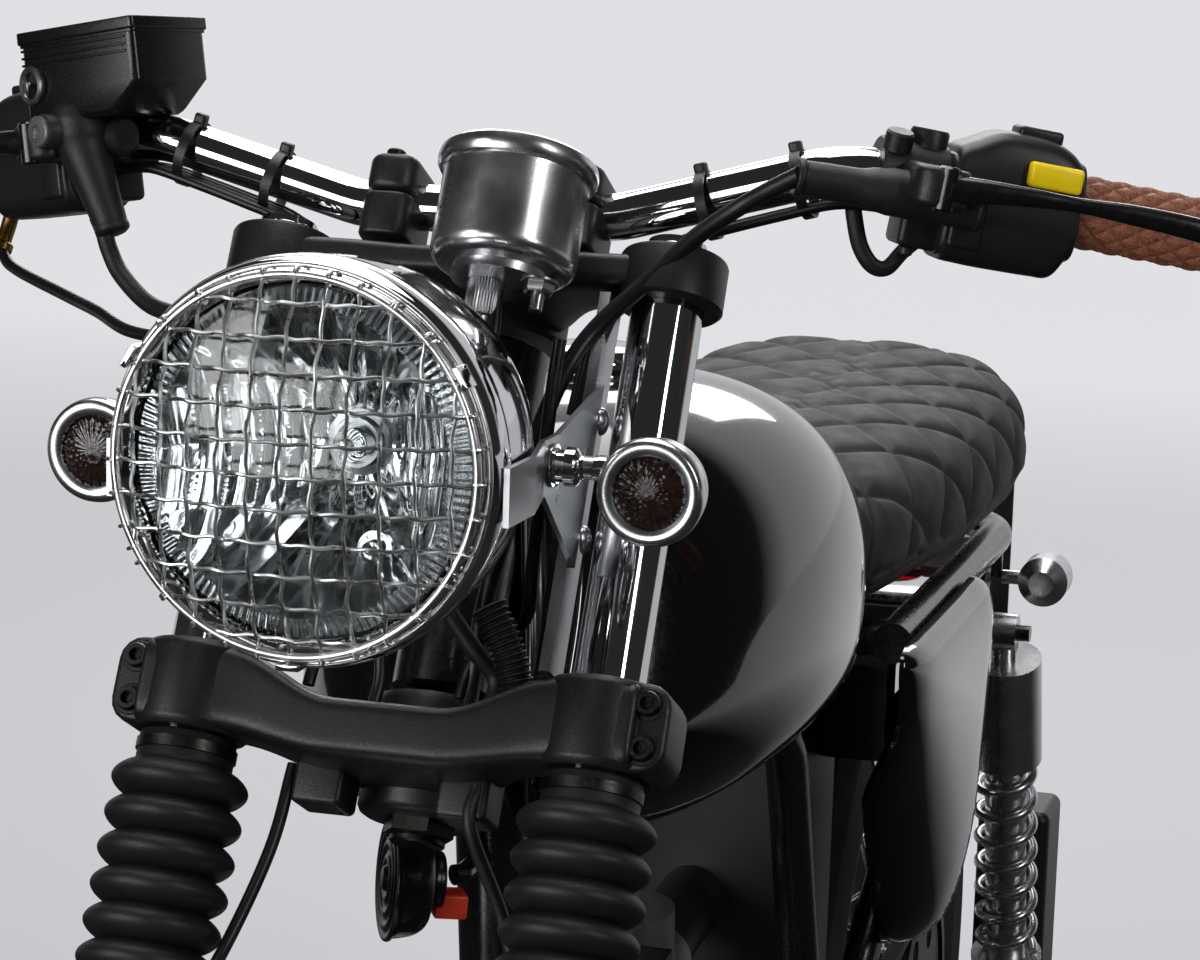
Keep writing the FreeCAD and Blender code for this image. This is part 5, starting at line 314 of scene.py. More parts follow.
def started(name, **sockets):
    """A material of one principled shader with its constant sockets, and its tree, shader and coordinates."""
    material = bpy.data.materials.new(name)
    material.use_nodes = True
    tree = material.node_tree
    shader = tree.nodes["Principled BSDF"]
    for key, value in sockets.items():
        socket = shader.inputs[key.replace("_", " ")]
        socket.default_value = linear(value) if isinstance(value, str) else value
    place = add(tree, "TexCoord", {}).outputs["Object"]
    return material, tree, shader, place


def varied(tree, place, target, low, high, size, detail=4.0):
    """Noise of a size in millimetres between two values, or two colours, fed to a socket."""
    noise = add(tree, "TexNoise", {"Scale": per_mm(size), "Detail": detail}, {"Vector": place})
    if isinstance(low, str):
        mixed = add(tree, "Mix", {"data_type": "RGBA", 6: linear(low), 7: linear(high)},
                    {0: noise.outputs["Fac"]})
        tree.links.new(mixed.outputs[2], target)
    else:
        limits = {"From Min": 0.3, "From Max": 0.7, "To Min": low, "To Max": high}
        mixed = add(tree, "MapRange", limits, {"Value": noise.outputs["Fac"]})
        tree.links.new(mixed.outputs["Result"], target)
    return noise


def bumped(tree, shader, height, rise):
    """A relief of a rise in millimetres on a shader."""
    bump = add(tree, "Bump", {"Distance": rise * MM, "Strength": 1.0}, {"Height": height})
    tree.links.new(bump.outputs["Normal"], shader.inputs["Normal"])


def covered(name, colour, gloss, tint=(), grain=(), rise=0.0, **sockets):
    """A material whose colour and gloss vary by noise between limits; the same noise can raise a relief."""
    material, tree, shader, place = started(name, Base_Color=colour, Roughness=gloss, **sockets)
    if tint:
        varied(tree, place, shader.inputs["Base Color"], *tint)
    if grain:
        noise = varied(tree, place, shader.inputs["Roughness"], *grain)
    if rise:
        bumped(tree, shader, noise.outputs["Fac"], rise)
    return material


def chrome_plate():
    """Bright chrome: a mirror with faint wiping marks that only change its gloss."""
    return covered("chrome_plate", "#DCDDDF", 0.05, (), (0.03, 0.10, 35), Metallic=1.0)


def polished_alloy():
    """Polished aluminium: softer than chrome, with fine drawn lines."""
    return covered("polished_aluminium", "#C9CACC", 0.2, (), (0.14, 0.3, 6, 8.0), Metallic=1.0)


def cast_alloy():
    """Bead-blasted cast aluminium: pale grey, dull, with a fine pitted skin."""
    return covered("blasted_aluminium", "#A9AAAB", 0.45, ("#9A9B9C", "#B4B5B6", 30), (0.38, 0.52, 1.2), 0.15,
                   Metallic=1.0)


def black_casting():
    """Satin black paint on cast alloy: the casting's grain shows through as a soft sparkle."""
    return covered("painted_black_casting", "#131314", 0.42, ("#0E0E0F", "#19191A", 25), (0.34, 0.5, 1.0),
                   0.1)


def black_enamel():
    """Black stove enamel on tube: even gloss with a slight orange peel."""
    return covered("black_enamel", "#0C0C0D", 0.25, (), (0.2, 0.34, 4), 0.06, Coat_Weight=0.5,
                   Coat_Roughness=0.15)


def gloss_lacquer():
    """Deep black lacquer under clear coat: near-black with sharp reflections and a faint peel."""
    return covered("black_lacquer", "#050506", 0.12, (), (0.08, 0.16, 3), 0.01, Coat_Weight=1.0,
                   Coat_Roughness=0.02)


def boot_rubber():
    """Moulded rubber: dull black with a dusty lighter bloom."""
    return covered("moulded_rubber", "#111112", 0.5, ("#0D0D0E", "#1B1B1C", 14), (0.42, 0.6, 0.8), 0.08)


def tyre_rubber():
    """Tyre rubber: matt charcoal, paler where dust sits."""
    return covered("tyre_rubber", "#1A1A1B", 0.78, ("#151516", "#252526", 22), (0.7, 0.86, 1.0), 0.12)


def moulded_plastic(name, colour, darker, gloss=0.4):
    """Moulded plastic with a fine spark-eroded grain."""
    return covered(name, colour, gloss, (darker, colour, 9), (gloss - 0.06, gloss + 0.08, 0.7), 0.06)


def grained_leather(name, colour, darker, gloss):
    """Leather: small rounded pebbles parted by creases, which are painted darker as painted shade and sunk by
    a relief; the gloss varies by a separate noise.
    """
    material, tree, shader, place = started(name, Base_Color=colour, Roughness=gloss)
    pebbles = add(tree, "TexVoronoi", {"feature": "DISTANCE_TO_EDGE", "Scale": per_mm(1.6)},
                  {"Vector": place})
    crease = add(tree, "MapRange", {"From Max": 0.12},
                 {"Value": pebbles.outputs["Distance"]}).outputs["Result"]
    # Painted shade: the colour darkens toward the creases between the pebbles.
    tint = add(tree, "Mix", {"data_type": "RGBA", 6: linear(darker), 7: linear(colour)}, {0: crease})
    tree.links.new(tint.outputs[2], shader.inputs["Base Color"])
    varied(tree, place, shader.inputs["Roughness"], gloss - 0.06, gloss + 0.08, 12)
    bumped(tree, shader, crease, 0.15)
    return material


def clear_glass(name, colour="#F4F8F8", rough=0.0):
    """Clear pressed glass or plastic that refracts what is behind it."""
    return covered(name, colour, rough, IOR=1.46, Transmission_Weight=1.0)


def smoked_lens():
    """Smoked amber lens: brown-black, each small cell painted lighter at its middle as a painted glint, over
    a relief of the same cells.
    """
    material, tree, shader, place = started(
        "smoked_amber_lens", Base_Color="#3A2018", Roughness=0.12, IOR=1.49, Coat_Weight=1.0,
        Coat_Roughness=0.03)
    cells = add(tree, "TexVoronoi", {"Scale": per_mm(2.2)}, {"Vector": place}).outputs["Distance"]
    # Painted glint: each cell is lighter toward its middle, where the light would catch it.
    painted_cell_glint = add(tree, "Mix", {"data_type": "RGBA", 6: linear("#35211A"), 7: linear("#120B09")}, {0: cells})
    tree.links.new(painted_cell_glint.outputs[2], shader.inputs["Base Color"])
    bumped(tree, shader, cells, 0.5)
    return material


def reflector_mirror():
    """Vapour-plated reflector: a bright mirror with a very slight haze."""
    return covered("plated_reflector", "#E9EAEC", 0.06, (), (0.04, 0.1, 10), Metallic=1.0)


def zinc_steel():
    """Zinc-plated steel: grey-white, satin, with faint crystal mottling."""
    return covered("zinc_plated_steel", "#B9BBBD", 0.28, ("#B2B4B6", "#C2C4C6", 40), (0.26, 0.33, 25),
                   Metallic=1.0)


def satin_nickel():
    """Satin nickel on turned parts: bright, with soft-edged reflections a little uneven from the brush."""
    return covered("satin_nickel", "#D6D6D8", 0.26, (), (0.2, 0.32, 20), Metallic=1.0)


def drawn_wire():
    """Bright drawn wire: pale, with a soft shine that breaks up at each crimp."""
    return covered("bright_drawn_wire", "#ECECEC", 0.3, (), (0.2, 0.4, 9), Metallic=1.0)


def dark_steel(name):
    """Blackened steel with an oily film."""
    return covered(name, "#3A3937", 0.36, ("#2C2B2A", "#4B4945", 8), (0.28, 0.48, 2), Metallic=1.0)


def aged_brass():
    """Aged brass fitting: brown-gold, dulled in patches."""
    return covered("aged_brass", "#8A6A3C", 0.35, ("#6A4E2A", "#8A6A3C", 9), (0.29, 0.43, 0.7), 0.06,
                   Metallic=1.0)


CHROME = chrome_plate()
ALLOY = polished_alloy()
CASTING = cast_alloy()
BLACK_CASTING = black_casting()
ENAMEL = black_enamel()
LACQUER = gloss_lacquer()
RUBBER = boot_rubber()
TYRE = tyre_rubber()
PLASTIC = moulded_plastic("moulded_black_plastic", "#161617", "#101011")
GLOSS_PLASTIC = moulded_plastic("gloss_black_plastic", "#121213", "#0D0D0E", 0.22)
YELLOW = moulded_plastic("yellow_plastic", "#FFE000", "#F8D400", 0.3)
RED = moulded_plastic("red_orange_plastic", "#C8361A", "#B02C14", 0.35)
SEAT_COVER = grained_leather("black_seat_leather", "#1F1B1A", "#141111", 0.62)
GRIP_LEATHER = grained_leather("brown_grip_leather", "#96593D", "#673926", 0.5)
GLASS = clear_glass("headlamp_glass")
AMBER = smoked_lens()
MIRROR = reflector_mirror()
ZINC = zinc_steel()
NICKEL = satin_nickel()
DARK = dark_steel("oiled_dark_steel")
RED_LENS = clear_glass("red_lens", "#B01010", 0.08)
SHEATH = moulded_plastic("cable_sheath", "#0F0F10", "#0B0B0C", 0.38)
WIRE = drawn_wire()
BLACK_STEEL = dark_steel("blackened_bolt_steel")
BRASS = aged_brass()

FINISHES = {
    CHROME: ["fuel_cap", "exhaust_pipe", "silencer", "rear_mudguard", "fork_tubes", "handlebar",
             "headlamp_shell", "front_indicators", "speedometer", "front_mudguard", "front_rim",
             "rear_rim"],
    NICKEL: ["left_shock", "right_shock", "rear_indicators"],
    ALLOY: ["fork_sliders", "front_spokes", "rear_spokes", "rear_axle"],
    CASTING: ["crankcase", "carburettor"],
    BLACK_CASTING: ["cylinder", "cylinder_head", "lower_yoke", "upper_yoke", "bar_clamps", "clutch_lever",
                    "brake_lever", "brake_caliper"],
    ENAMEL: ["frame", "swingarm", "centre_stand", "side_stand"],
    LACQUER: ["fuel_tank", "side_panel_left", "side_panel_right"],
    RUBBER: ["fork_gaiters", "footrests"],
    TYRE: ["front_tyre", "rear_tyre"],
    PLASTIC: ["air_box", "number_plate", "tool_pouch", "horn", "switchgear"],
    SEAT_COVER: ["seat"],
    GRIP_LEATHER: ["grips"],
    GLASS: ["headlamp_lens"],
    MIRROR: ["headlamp_reflector"],
    ZINC: ["headlamp_grille", "lamp_brackets", "front_axle", "front_disc", "foot_controls"],
    DARK: ["drive_chain", "rear_sprocket"],
    RED_LENS: ["tail_lamp"],
}
for finish, names in FINISHES.items():
    for name in names:
        NODE[name].data.materials.clear()
        NODE[name].data.materials.append(finish)


# Headlamp
def round_the_lamp(r, a, h):
    """Points of the lamp's frame from radius, angle and depth: (r cos a, r sin a, h) down the beam's axis."""
    r, a, h = np.broadcast_arrays(r, a, h)
    return carried(np.stack([r * np.cos(a), r * np.sin(a), h], -1), LAMP)


def bucket():
    """Headlamp bowl in sheet steel, r = 26 + 56.6 cos^0.7 t and h = 19 + 92.8 sin t, with a rolled rim."""
    t = np.linspace(0, np.pi / 2, 26)
    wall = 1.8
    bowl = np.stack([26 + 56.6 * np.cos(t) ** 0.7, 19 + 92.8 * np.sin(t)], -1)
    rim = [(73.4, 6), (73.4, 1), (74.6, -2.6), (77.4, -4.6), (80.4, -4.2), (83.0, -1.8), (84.3, 2.2),
           (84.6, 7), (84.4, 12), (83.6, 15.2), (82.4, 16.4), (81.6, 16.8), (81.6, 17.6), (82.6, 18.2)]
    outer = np.concatenate([rim, bowl, [(0, 111.8)]])
    inner = np.concatenate([[(0, 111.8 - wall)], bowl[::-1] - [wall, wall], [(73.4 + wall, 12)]])
    profile = np.concatenate([outer, inner, [rim[0]]])
    piece("headlamp_bucket", lathe(profile, LAMP, 160), CHROME, "fork", ["headlamp_shell"], angle=35)


def reflector():
    """Faceted bowl, h = 66 (1 - (r/R)^2.2), less flutes 2.2 |sin(pi x / 9.5)| and rays 1.8 |sin 9a|."""
    lens, deep = 71.4, 66
    r = np.linspace(13, lens, 90)[:, None]
    a = circle(480)[None]
    x, z = r * np.cos(a), r * np.sin(a)
    base = deep * (1 - (r / lens) ** 2.2) + 4
    beside = np.clip((np.abs(x) - np.abs(z) * 0.9) / 14, 0, 1)
    flutes = np.abs(np.sin(np.pi * x / 9.5)) * 2.2
    steps = np.abs(np.sin(np.pi * z / 26)) * 1.2
    rays = np.abs(np.sin(a * 9)) * 1.8 * (r / lens)
    h = base - beside * (flutes + steps) - (1 - beside) * rays
    points = round_the_lamp(r, a, h)
    wall = points[::-1] + LAMP[0][2] * 1.5
    whole = joined(surface(np.concatenate([points, wall])), surface(np.stack([wall[-1], points[0]])))
    piece("headlamp_reflector_bowl", whole, MIRROR, "fork", ["headlamp_reflector"], angle=12)


def bulb():
    """Halogen bulb: a glass tube with a chrome tip in a bright base ring and a shallow shield cup."""
    foot = frame_of(carried([0, 0, 68], LAMP), -LAMP[0][2], LAMP[0][0])
    glass = [(0, 0), (6.5, 0), (6.5, 12)] + arc(0, 12, 6.5, 7)
    piece("headlamp_bulb", lathe(glass, foot, 32), GLASS, "fork")
    cap = [(6.7, 11.5), (7.2, 11.5)] + arc(0, 13, 7.2, 7.6) + arc(0, 12.6, 6.7, 7.2)[::-1]
    piece("headlamp_bulb_tip", lathe(cap, foot, 32, True), CHROME, "fork")
    base = [(0, -2), (15, -2), (15, 0), (14, 1.5), (11.5, 2), (10.5, 6), (9, 6), (9, 1), (0, 1)]
    piece("headlamp_bulb_base", lathe(base, foot, 48), ZINC, "fork")
    side = frame_of(carried([17, 40, 44], LAMP), -LAMP[0][2], LAMP[0][0])
    park = [(0, 0), (7.5, 0), (7.5, 3), (6, 3), (4, 3.2), (4, 8)] + arc(0, 8, 4, 4)
    piece("headlamp_parking_bulb", lathe(park, side, 32), CHROME, "fork")


def lens():
    """Domed glass 3 mm thick, h = -13 (1 - (r/R)^2), with a border of prisms 0.45 sin(130 a) inside."""
    radius, dome, thick = 72.6, 13, 3
    r = np.concatenate([np.linspace(0.4, 63, 20), np.linspace(63.4, 72.6, 12)])[:, None]
    a = circle(780)[None]
    outer = -dome * (1 - (r / radius) ** 2) + 0 * a
    border = np.clip((r - 63.4) / 1.2, 0, 1) * np.clip(72 - r, 0, 1)
    inner = outer + thick - border * 0.9 * (0.5 + 0.5 * np.sin(130 * a))
    middle = [round_the_lamp(0 * r[:1], a, depth) for depth in (thick - dome, -dome)]
    points = np.concatenate([middle[0], round_the_lamp(r, a, inner), round_the_lamp(r, a, outer)[::-1],
                             middle[1]])
    piece("headlamp_glass", surface(points), GLASS, "fork", ["headlamp_lens"], angle=60)


def guard():
    """Crimped wire mesh: each wire follows h = -10 - 17 (1 - (r/R)^2) and weaves by cos(pi v / pitch)."""
    ring_r, pitch, wire = 77.5, 13.6, 0.85
    plane, dome = -10, 17
    parts = []
    for across in (0, 1):
        for k in range(-5, 6):
            u = k * pitch + (pitch * 0.12 if across else 0)
            half = math.sqrt(ring_r**2 - u * u)
            v = np.linspace(-half, half, 130)
            r2 = (u * u + v * v) / ring_r**2
            weave = np.cos(np.pi * (v / pitch + k)) * (1 if across else -1)
            h = plane - dome * (1 - r2) + weave * np.clip((1 - r2) * 8, 0, 1)
            side = u + 0.35 * np.sin(2 * np.pi * v / pitch)
            line = np.stack([v, side, h] if across else [side, v, h], -1)
            line = np.concatenate([hooked(line[0], plane)[::-1], line, hooked(line[-1], plane)])
            parts.append(swept(carried(line, LAMP), wire, 8))
    rings = [ring(ring_r, 1.9, (LAMP[0], carried([0, 0, plane], LAMP)), 160, 10),
             ring(ring_r + 3.4, 1.3, (LAMP[0], carried([0, 0, plane + 6], LAMP)), 160, 10)]
    piece("headlamp_guard", joined(*parts, *rings), WIRE, "fork", ["headlamp_grille"])
    clips = []
    for turn in (math.radians(90), math.radians(210), math.radians(330)):
        out = np.array([math.cos(turn), math.sin(turn), 0])
        place = frame_of(carried(out * (ring_r + 3.6) + [0, 0, plane], LAMP), LAMP[0][2], out @ LAMP[0])
        clips.append(rounded_block((-1.2, -5, -4), (1.6, 5, 11), 0.5, place))
    piece("headlamp_guard_clips", joined(*clips), CHROME, "fork")


def hooked(end, plane):
    """The end of a wire bent once round the guard's ring: most of a small circle outward of it."""
    out = np.array([end[0], end[1], 0]) / math.hypot(end[0], end[1])
    t = np.linspace(-np.pi / 2, np.pi * 0.9, 10)[1:, None]
    middle = out * math.hypot(end[0], end[1]) + np.array([0, 0, plane])
    return middle + 2.9 * (np.cos(t) * out + np.sin(t) * Z_AXIS)


# Front indicators
def indicator(name, face, ahead, body, replaced=()):
    """Bullet indicator: a turned shell with a rolled front ring, and a smoked lens with rays 0.35 sin 24a."""
    place = frame_of(face, ahead)
    shell = [(15.6, 4), (15.8, 1.6), (17, 0.9), (19, 0.4), (21.2, 0.6), (22.6, 2), (23.1, 4.4), (23.1, 7),
             (22.7, 9), (21.6, 9.8), (21.6, 10.6), (22.2, 11.2)]
    shell += arc(0, 11.2, 22.2, 26.4, 14)[1:] + [(0, 30), (14, 26), (14, 8), (15.6, 4)]
    piece(name + "_shell", lathe(shell, place, 96), NICKEL, body, replaced)
    r = np.linspace(0, 15.4, 26)[:, None]
    a = circle(96)[None]
    h = 3.4 - 3.6 * (1 - (r / 15.4) ** 2) + 0.35 * np.sin(24 * a) * (r / 15.4)
    front = np.stack([r * np.cos(a), r * np.sin(a), h], -1)
    back = np.stack([r * np.cos(a), r * np.sin(a), 0 * r + 6 + 0 * a], -1)[::-1]
    piece(name + "_lens", surface(carried(np.concatenate([front, back]), place)), AMBER, body)


def front_indicators():
    """Both front indicators, each on a turned stem at its headlamp bracket."""
    profile = [(0, -6), (7, -6), (7, 0), (8.5, 0.6), (8.5, 5), (7, 6), (5, 7), (4.6, 12), (5.6, 13),
               (5.6, 19), (0, 19)]
    for side, label in ((1, "left"), (-1, "right")):
        replaced = ["front_indicators"] if side > 0 else ()
        indicator("front_indicator_" + label, (side * 125, -445, 903), Y_AXIS, "fork", replaced)
        stem = frame_of((side * 84, -426, 909), X_AXIS * side, Y_AXIS)
        piece("front_indicator_stem_" + label, lathe(profile, stem, 32), CHROME, "fork")


# Speedometer
def speedometer():
    """Nickel cup with a wide rolled rim, domed glass over a black dial, and a knurled coupling below."""
    top = on_fork(34, -62, 766)
    place = frame_of(top, FORK[0][2])
    cup = [(31, -6), (31, -1.5), (32, 0), (34.5, 0.2), (35.8, -1), (36.3, -3.5), (36.0, -6.4), (34.8, -8.4),
           (33.4, -9), (33.0, -9.4), (32.8, -11)]
    cup += [(32.8, -46)] + arc(26, -46, 6.8, -7, 10)
    cup += [(22, -54), (22, -58), (0, -58), (0, -10), (31, -10), (31, -6)]
    piece("speedometer_cup", lathe(cup, place, 128), NICKEL, "fork", ["speedometer"], angle=30)
    face = [(0, -6), (31, -6), (31, -9), (0, -9)]
    piece("speedometer_face", lathe(face, place, 64), PLASTIC, "fork", smooth=False)
    r = np.linspace(0, 31, 12)
    glass = [(k, -1.6 + 1.6 * (1 - (k / 31) ** 2)) for k in r] + [(31, -3.2), (0, -2)]
    piece("speedometer_glass", lathe(glass, place, 64), GLASS, "fork")
    below = frame_of(on_fork(28, -62, 708), -FORK[0][2])
    a = circle(240)[None]
    stations = np.array([(0, 0), (7.4, 0), (7.8, 1), (7.8, 15), (7.2, 16.5), (5, 17), (5, 22), (0, 22)])
    knurl = np.array([0, 0, 1, 1, 0, 0, 0, 0])[:, None] * 0.35 * np.sin(36 * a)
    reach = stations[:, :1] + knurl
    points = np.stack([reach * np.cos(a), reach * np.sin(a), stations[:, 1:] + 0 * a], -1)
    piece("speedometer_coupling", surface(carried(points, below)), ZINC, "fork")
    stud = frame_of(on_fork(54, -66, 708), -FORK[0][2])
    piece("speedometer_nut", joined(hex_head(7, 6, stud), bar_end(3, 14, 0.4, stud),
                                    bar_end(8.5, 1.4, 0.3, stud)), ZINC, "fork")


# Fork
def gaiters():
    """Rubber gaiter: r = 22.6 + 8.4 |sin(pi n)|^0.75 over folds n, between collars at yoke and slider."""
    top, foot, folds = 490, 262, 14
    h = np.linspace(top, foot, folds * 22 + 1)
    wave = np.abs(np.cos(np.pi * (h - top) / ((top - foot) / folds) + np.pi / 2))
    r = 22.6 + 8.4 * wave ** 0.75
    outer = [(18, 504), (21.4, 504), (22, 503), (22, 491.5), (22.2, 490.4)]
    lower = [(23.5, foot - 1), (25, foot - 2), (25, foot - 13), (24.2, foot - 14), (21.6, foot - 14)]
    profile = np.concatenate([outer, np.stack([r, h], -1), lower])
    inner = np.stack([r[::-1] - 2, h[::-1]], -1)
    profile = np.concatenate([profile, inner, [outer[0]]])
    parts = [lathe(profile, fork_place(x, 0, 0), 72) for x in (-LEG, LEG)]
    piece("fork_gaiter_boots", joined(*parts), RUBBER, "fork", ["fork_gaiters"], angle=60)
    band = [(22.0, 0), (22.9, 0.3), (22.9, 5.2), (22.0, 5.5)]
    bands = [lathe(band, fork_place(x, 0, 495), 64, True) for x in (-LEG, LEG)]
    piece("fork_gaiter_bands", joined(*bands), DARK, "fork")


# Grips: the left one's line, mirrored for the right
BAR_MIDDLE = on_fork(0, BAR_BACK, TOP_HIGH + BAR_RISE)
BAR_KNEE = np.array([169, 0, 29])
BAR_END = np.array([388, 96, -11])
GRIP_INNER = 262


def grip_line():
    """Start of the left grip, its direction outward, to the rear and upward, from the handlebar's bends."""
    along = (BAR_END - BAR_KNEE) / np.linalg.norm(BAR_END - BAR_KNEE)
    start = BAR_MIDDLE + BAR_KNEE + along * ((GRIP_INNER - BAR_KNEE[0]) / along[0])
    back = np.cross(Z_AXIS, along)
    back /= np.linalg.norm(back)
    return start, along, back, np.cross(along, back)


GRIP_START, GRIP_OUT, GRIP_REAR, GRIP_UP = grip_line()
BAR_FRAME = (np.array([GRIP_OUT, GRIP_REAR, GRIP_UP]), GRIP_START)
ROUND_BAR = (np.array([-GRIP_REAR, GRIP_UP, GRIP_OUT]), GRIP_START)


def on_bar(out, rear, up):
    """One point from the left grip's inner end: outward along the bar, to the rear and upward."""
    return GRIP_START + out * GRIP_OUT + rear * GRIP_REAR + up * GRIP_UP


def mirrored(part):
    """The same part on the rider's other side: x changes sign and the faces keep facing out."""
    return part[0] * [-1, 1, 1], part[1][:, ::-1]


def grip():
    """Leather grip: r = 15.2 + 1.9 min(|sin(p + q)|, |sin(p - q)|)^0.7, with p along it and q round it."""
    length = 135
    place = ROUND_BAR
    h = np.linspace(0, length, 300)[:, None]
    a = circle(160)[None]
    p, q = np.pi * h / 13, 5 * a
    diamonds = np.minimum(np.abs(np.sin(p + q)), np.abs(np.sin(p - q)))
    ends = np.clip(np.minimum(h, length - h) / 9, 0, 1)
    r = 15.2 + 1.9 * diamonds ** 0.7 * ends + 0 * a
    tube = np.stack([r * np.cos(a), r * np.sin(a), h + 0 * a], -1)
    flange = np.array([(11.4, -4), (19.6, -4), (20.4, -3), (20.4, -0.6), (19.4, 0.6), (16, 1)])
    cap = np.array([(16.4, 135.5), (16.8, 137), (16.4, 139.5), (14, 141), (0, 141.4)])
    flange = np.concatenate([flange, [(15.2, 2)]])
    part = joined(surface(carried(tube[4:-2], place)), lathe(flange, place, 160))
    low, high = carried(tube[4:5], place), carried(tube[-3:-2], place)
    edge = carried(np.stack([15.2 * np.cos(a), 15.2 * np.sin(a), 2 + 0 * a], -1), place)
    bridge = surface(np.concatenate([edge, low]))
    end_ring = carried(np.stack([16.4 * np.cos(a), 16.4 * np.sin(a), 135.5 + 0 * a], -1), place)
    close = surface(np.concatenate([high, end_ring]))
    inner = lathe(np.array([(11.4, -4), (11.4, 138), (0, 138)]), place, 160)
    return joined(part, bridge, close, lathe(cap, place, 160), inner)


def grips():
    """Both leather grips."""
    left = grip()
    piece("leather_grips", joined(left, mirrored(left)), GRIP_LEATHER, "fork", ["grips"], angle=50)


# Bodywork
TANK_STATIONS = np.array([(0.0, 0.36, 0.2, 0.86), (0.02, 0.52, 0.12, 0.9), (0.07, 0.68, 0.06, 0.94),
                          (0.15, 0.82, 0.02, 0.975), (0.25, 0.92, 0.0, 0.995), (0.36, 0.98, 0.0, 1.0),
                          (0.48, 1.0, 0.0, 0.985), (0.6, 0.985, 0.0, 0.94), (0.71, 0.93, 0.0, 0.87),
                          (0.8, 0.85, 0.01, 0.78), (0.88, 0.75, 0.02, 0.68), (0.945, 0.63, 0.04, 0.58),
                          (0.985, 0.5, 0.08, 0.48), (1.0, 0.38, 0.12, 0.42)])


def round_ends(points, depth, axis=1, steps=7):
    """Closed ends for a row of sections: each end shrinks to its middle over a quarter circle and a flat."""
    ends = []
    for edge, sign in ((points[0], -1), (points[-1], 1)):
        middle = edge.mean(axis=0)
        reach = np.abs(edge - middle).max()
        rings = []
        for t in np.linspace(0, np.pi / 2, steps)[1:]:
            loop = middle + (edge - middle) * (1 - depth / reach * (1 - math.cos(t)))
            loop[:, axis] += sign * depth * math.sin(t)
            rings.append(loop)
        rings.append(np.broadcast_to(rings[-1].mean(axis=0), edge.shape))
        ends.append(np.array(rings))
    return np.concatenate([ends[0][::-1], points, ends[1]])


def sections(half, low, high, a, squareness):
    """Superellipse sections, widest at 0.4 of their height: x, z, and the heights of middle and top."""
    middle = low + (high - low) * 0.4
    reach = np.where(np.sin(a) > 0, high - middle, middle - low)
    x, z = half * squared(np.cos(a), 2 / squareness), middle + reach * squared(np.sin(a), 2 / squareness)
    return x, z, middle, high


def fuel_tank():
    """Tank: superellipse sections of power 2.7 along smooth stations, whose front end leans with the fork."""
    front, rear, low_edge, top, half = -262, 146, 690, 908, 138
    table = smooth_path(TANK_STATIONS, 9)
    along, wide, low, high = [table[:, k:k + 1] for k in range(4)]
    a = circle(300)[None] + 0.003
    x, z, middle, high = sections(half * wide, low_edge + (top - low_edge) * low,
                                  low_edge + (top - low_edge) * high, a, 2.7)
    y = front + (rear - front) * along + math.tan(RAKE) * (1 - along) * (z - (top + low_edge) / 2)
    roof = np.interp(y, np.array([-300, -190, 186]), np.array([880, 836, 733]))
    inside = np.clip((32 - np.abs(x)) / 5, 0, 1) * (z < middle)
    z = z + inside * np.clip(roof - z, 0, None)
    points = round_ends(np.stack([x, y, z], -1), 9)
    piece("fuel_tank_shell", surface(points), LACQUER, "chassis", ["fuel_tank"], angle=50)
    cap = frame_of((0, -96, 903), Z_AXIS)
    profile = [(0, -4), (29, -4), (33, -1), (34, 1.5), (33, 3.5), (31, 4), (31, 6), (30.6, 13), (29, 15.6),
               (25, 17), (0, 18)]
    piece("filler_cap_top", lathe(profile, cap, 96), CHROME, "chassis", ["fuel_cap"], angle=30)


PANEL_OUTLINE = np.array([(0, 0.96), (0.015, 0.86), (0.05, 0.756), (0.19, 0.5), (0.33, 0.244), (0.44, 0.09),
                          (0.55, 0.02), (0.67, 0), (0.78, 0.045), (0.86, 0.14), (0.92, 0.3), (0.965, 0.5),
                          (0.99, 0.717), (0.995, 0.86), (0.975, 0.96), (0.91, 1), (0.7, 1), (0.46, 1),
                          (0.2, 1), (0.05, 0.995)])
PANEL_DOME = np.array([(0, 1), (0.15, 0.995), (0.3, 0.98), (0.45, 0.955), (0.6, 0.91), (0.72, 0.85),
                       (0.82, 0.76), (0.9, 0.64), (0.95, 0.5), (0.985, 0.3), (1, 0.1)])


def side_panel(side):
    """Domed panel: its outline shrinks about its middle as x rises from a base that eases out above."""
    closed = np.concatenate([PANEL_OUTLINE[-2:], PANEL_OUTLINE, PANEL_OUTLINE[:3]])
    loop = smooth_path(closed, 8)[16:16 + 8 * len(PANEL_OUTLINE)]
    middle = np.array([0.68, 0.69])
    dome = smooth_path(PANEL_DOME, 5)
    rings = []
    for grow, inset in ((1, 0), (0.955, 4)):
        shares = middle + (loop[None] - middle) * dome[:, 1, None, None] * grow
        y, z = 112 + 276 * shares[..., 0], 493 + 231 * shares[..., 1]
        ease = np.clip((z - 600) / 90, 0, 1)
        base = 106 + 28 * ease * ease * (3 - 2 * ease)
        x = base + (154 - base) * dome[:, 0, None] - inset
        inboard = np.interp(z, np.array([690, 698]), np.array([104.5, 132.5]))
        rings.append(np.stack([side * np.maximum(x, inboard + (1 if inset == 0 else 0)), y, z], -1))
    outer, inner = rings
    tops = [np.broadcast_to(ring[-1].mean(axis=0), ring[-1:].shape) for ring in rings]
    return surface(np.concatenate([tops[1], inner[::-1], outer, tops[0]]))


def side_panels():
    """Both side panels, each on a stud of the frame."""
    for side, label in ((1, "left"), (-1, "right")):
        stud = frame_of((side * 99.9, 277, 650), X_AXIS * side, Y_AXIS)
        whole = joined(side_panel(side), bar_end(9, 48, 0.6, stud))
        piece("domed_panel_" + label, whole, LACQUER, "chassis", ["side_panel_" + label], angle=50)


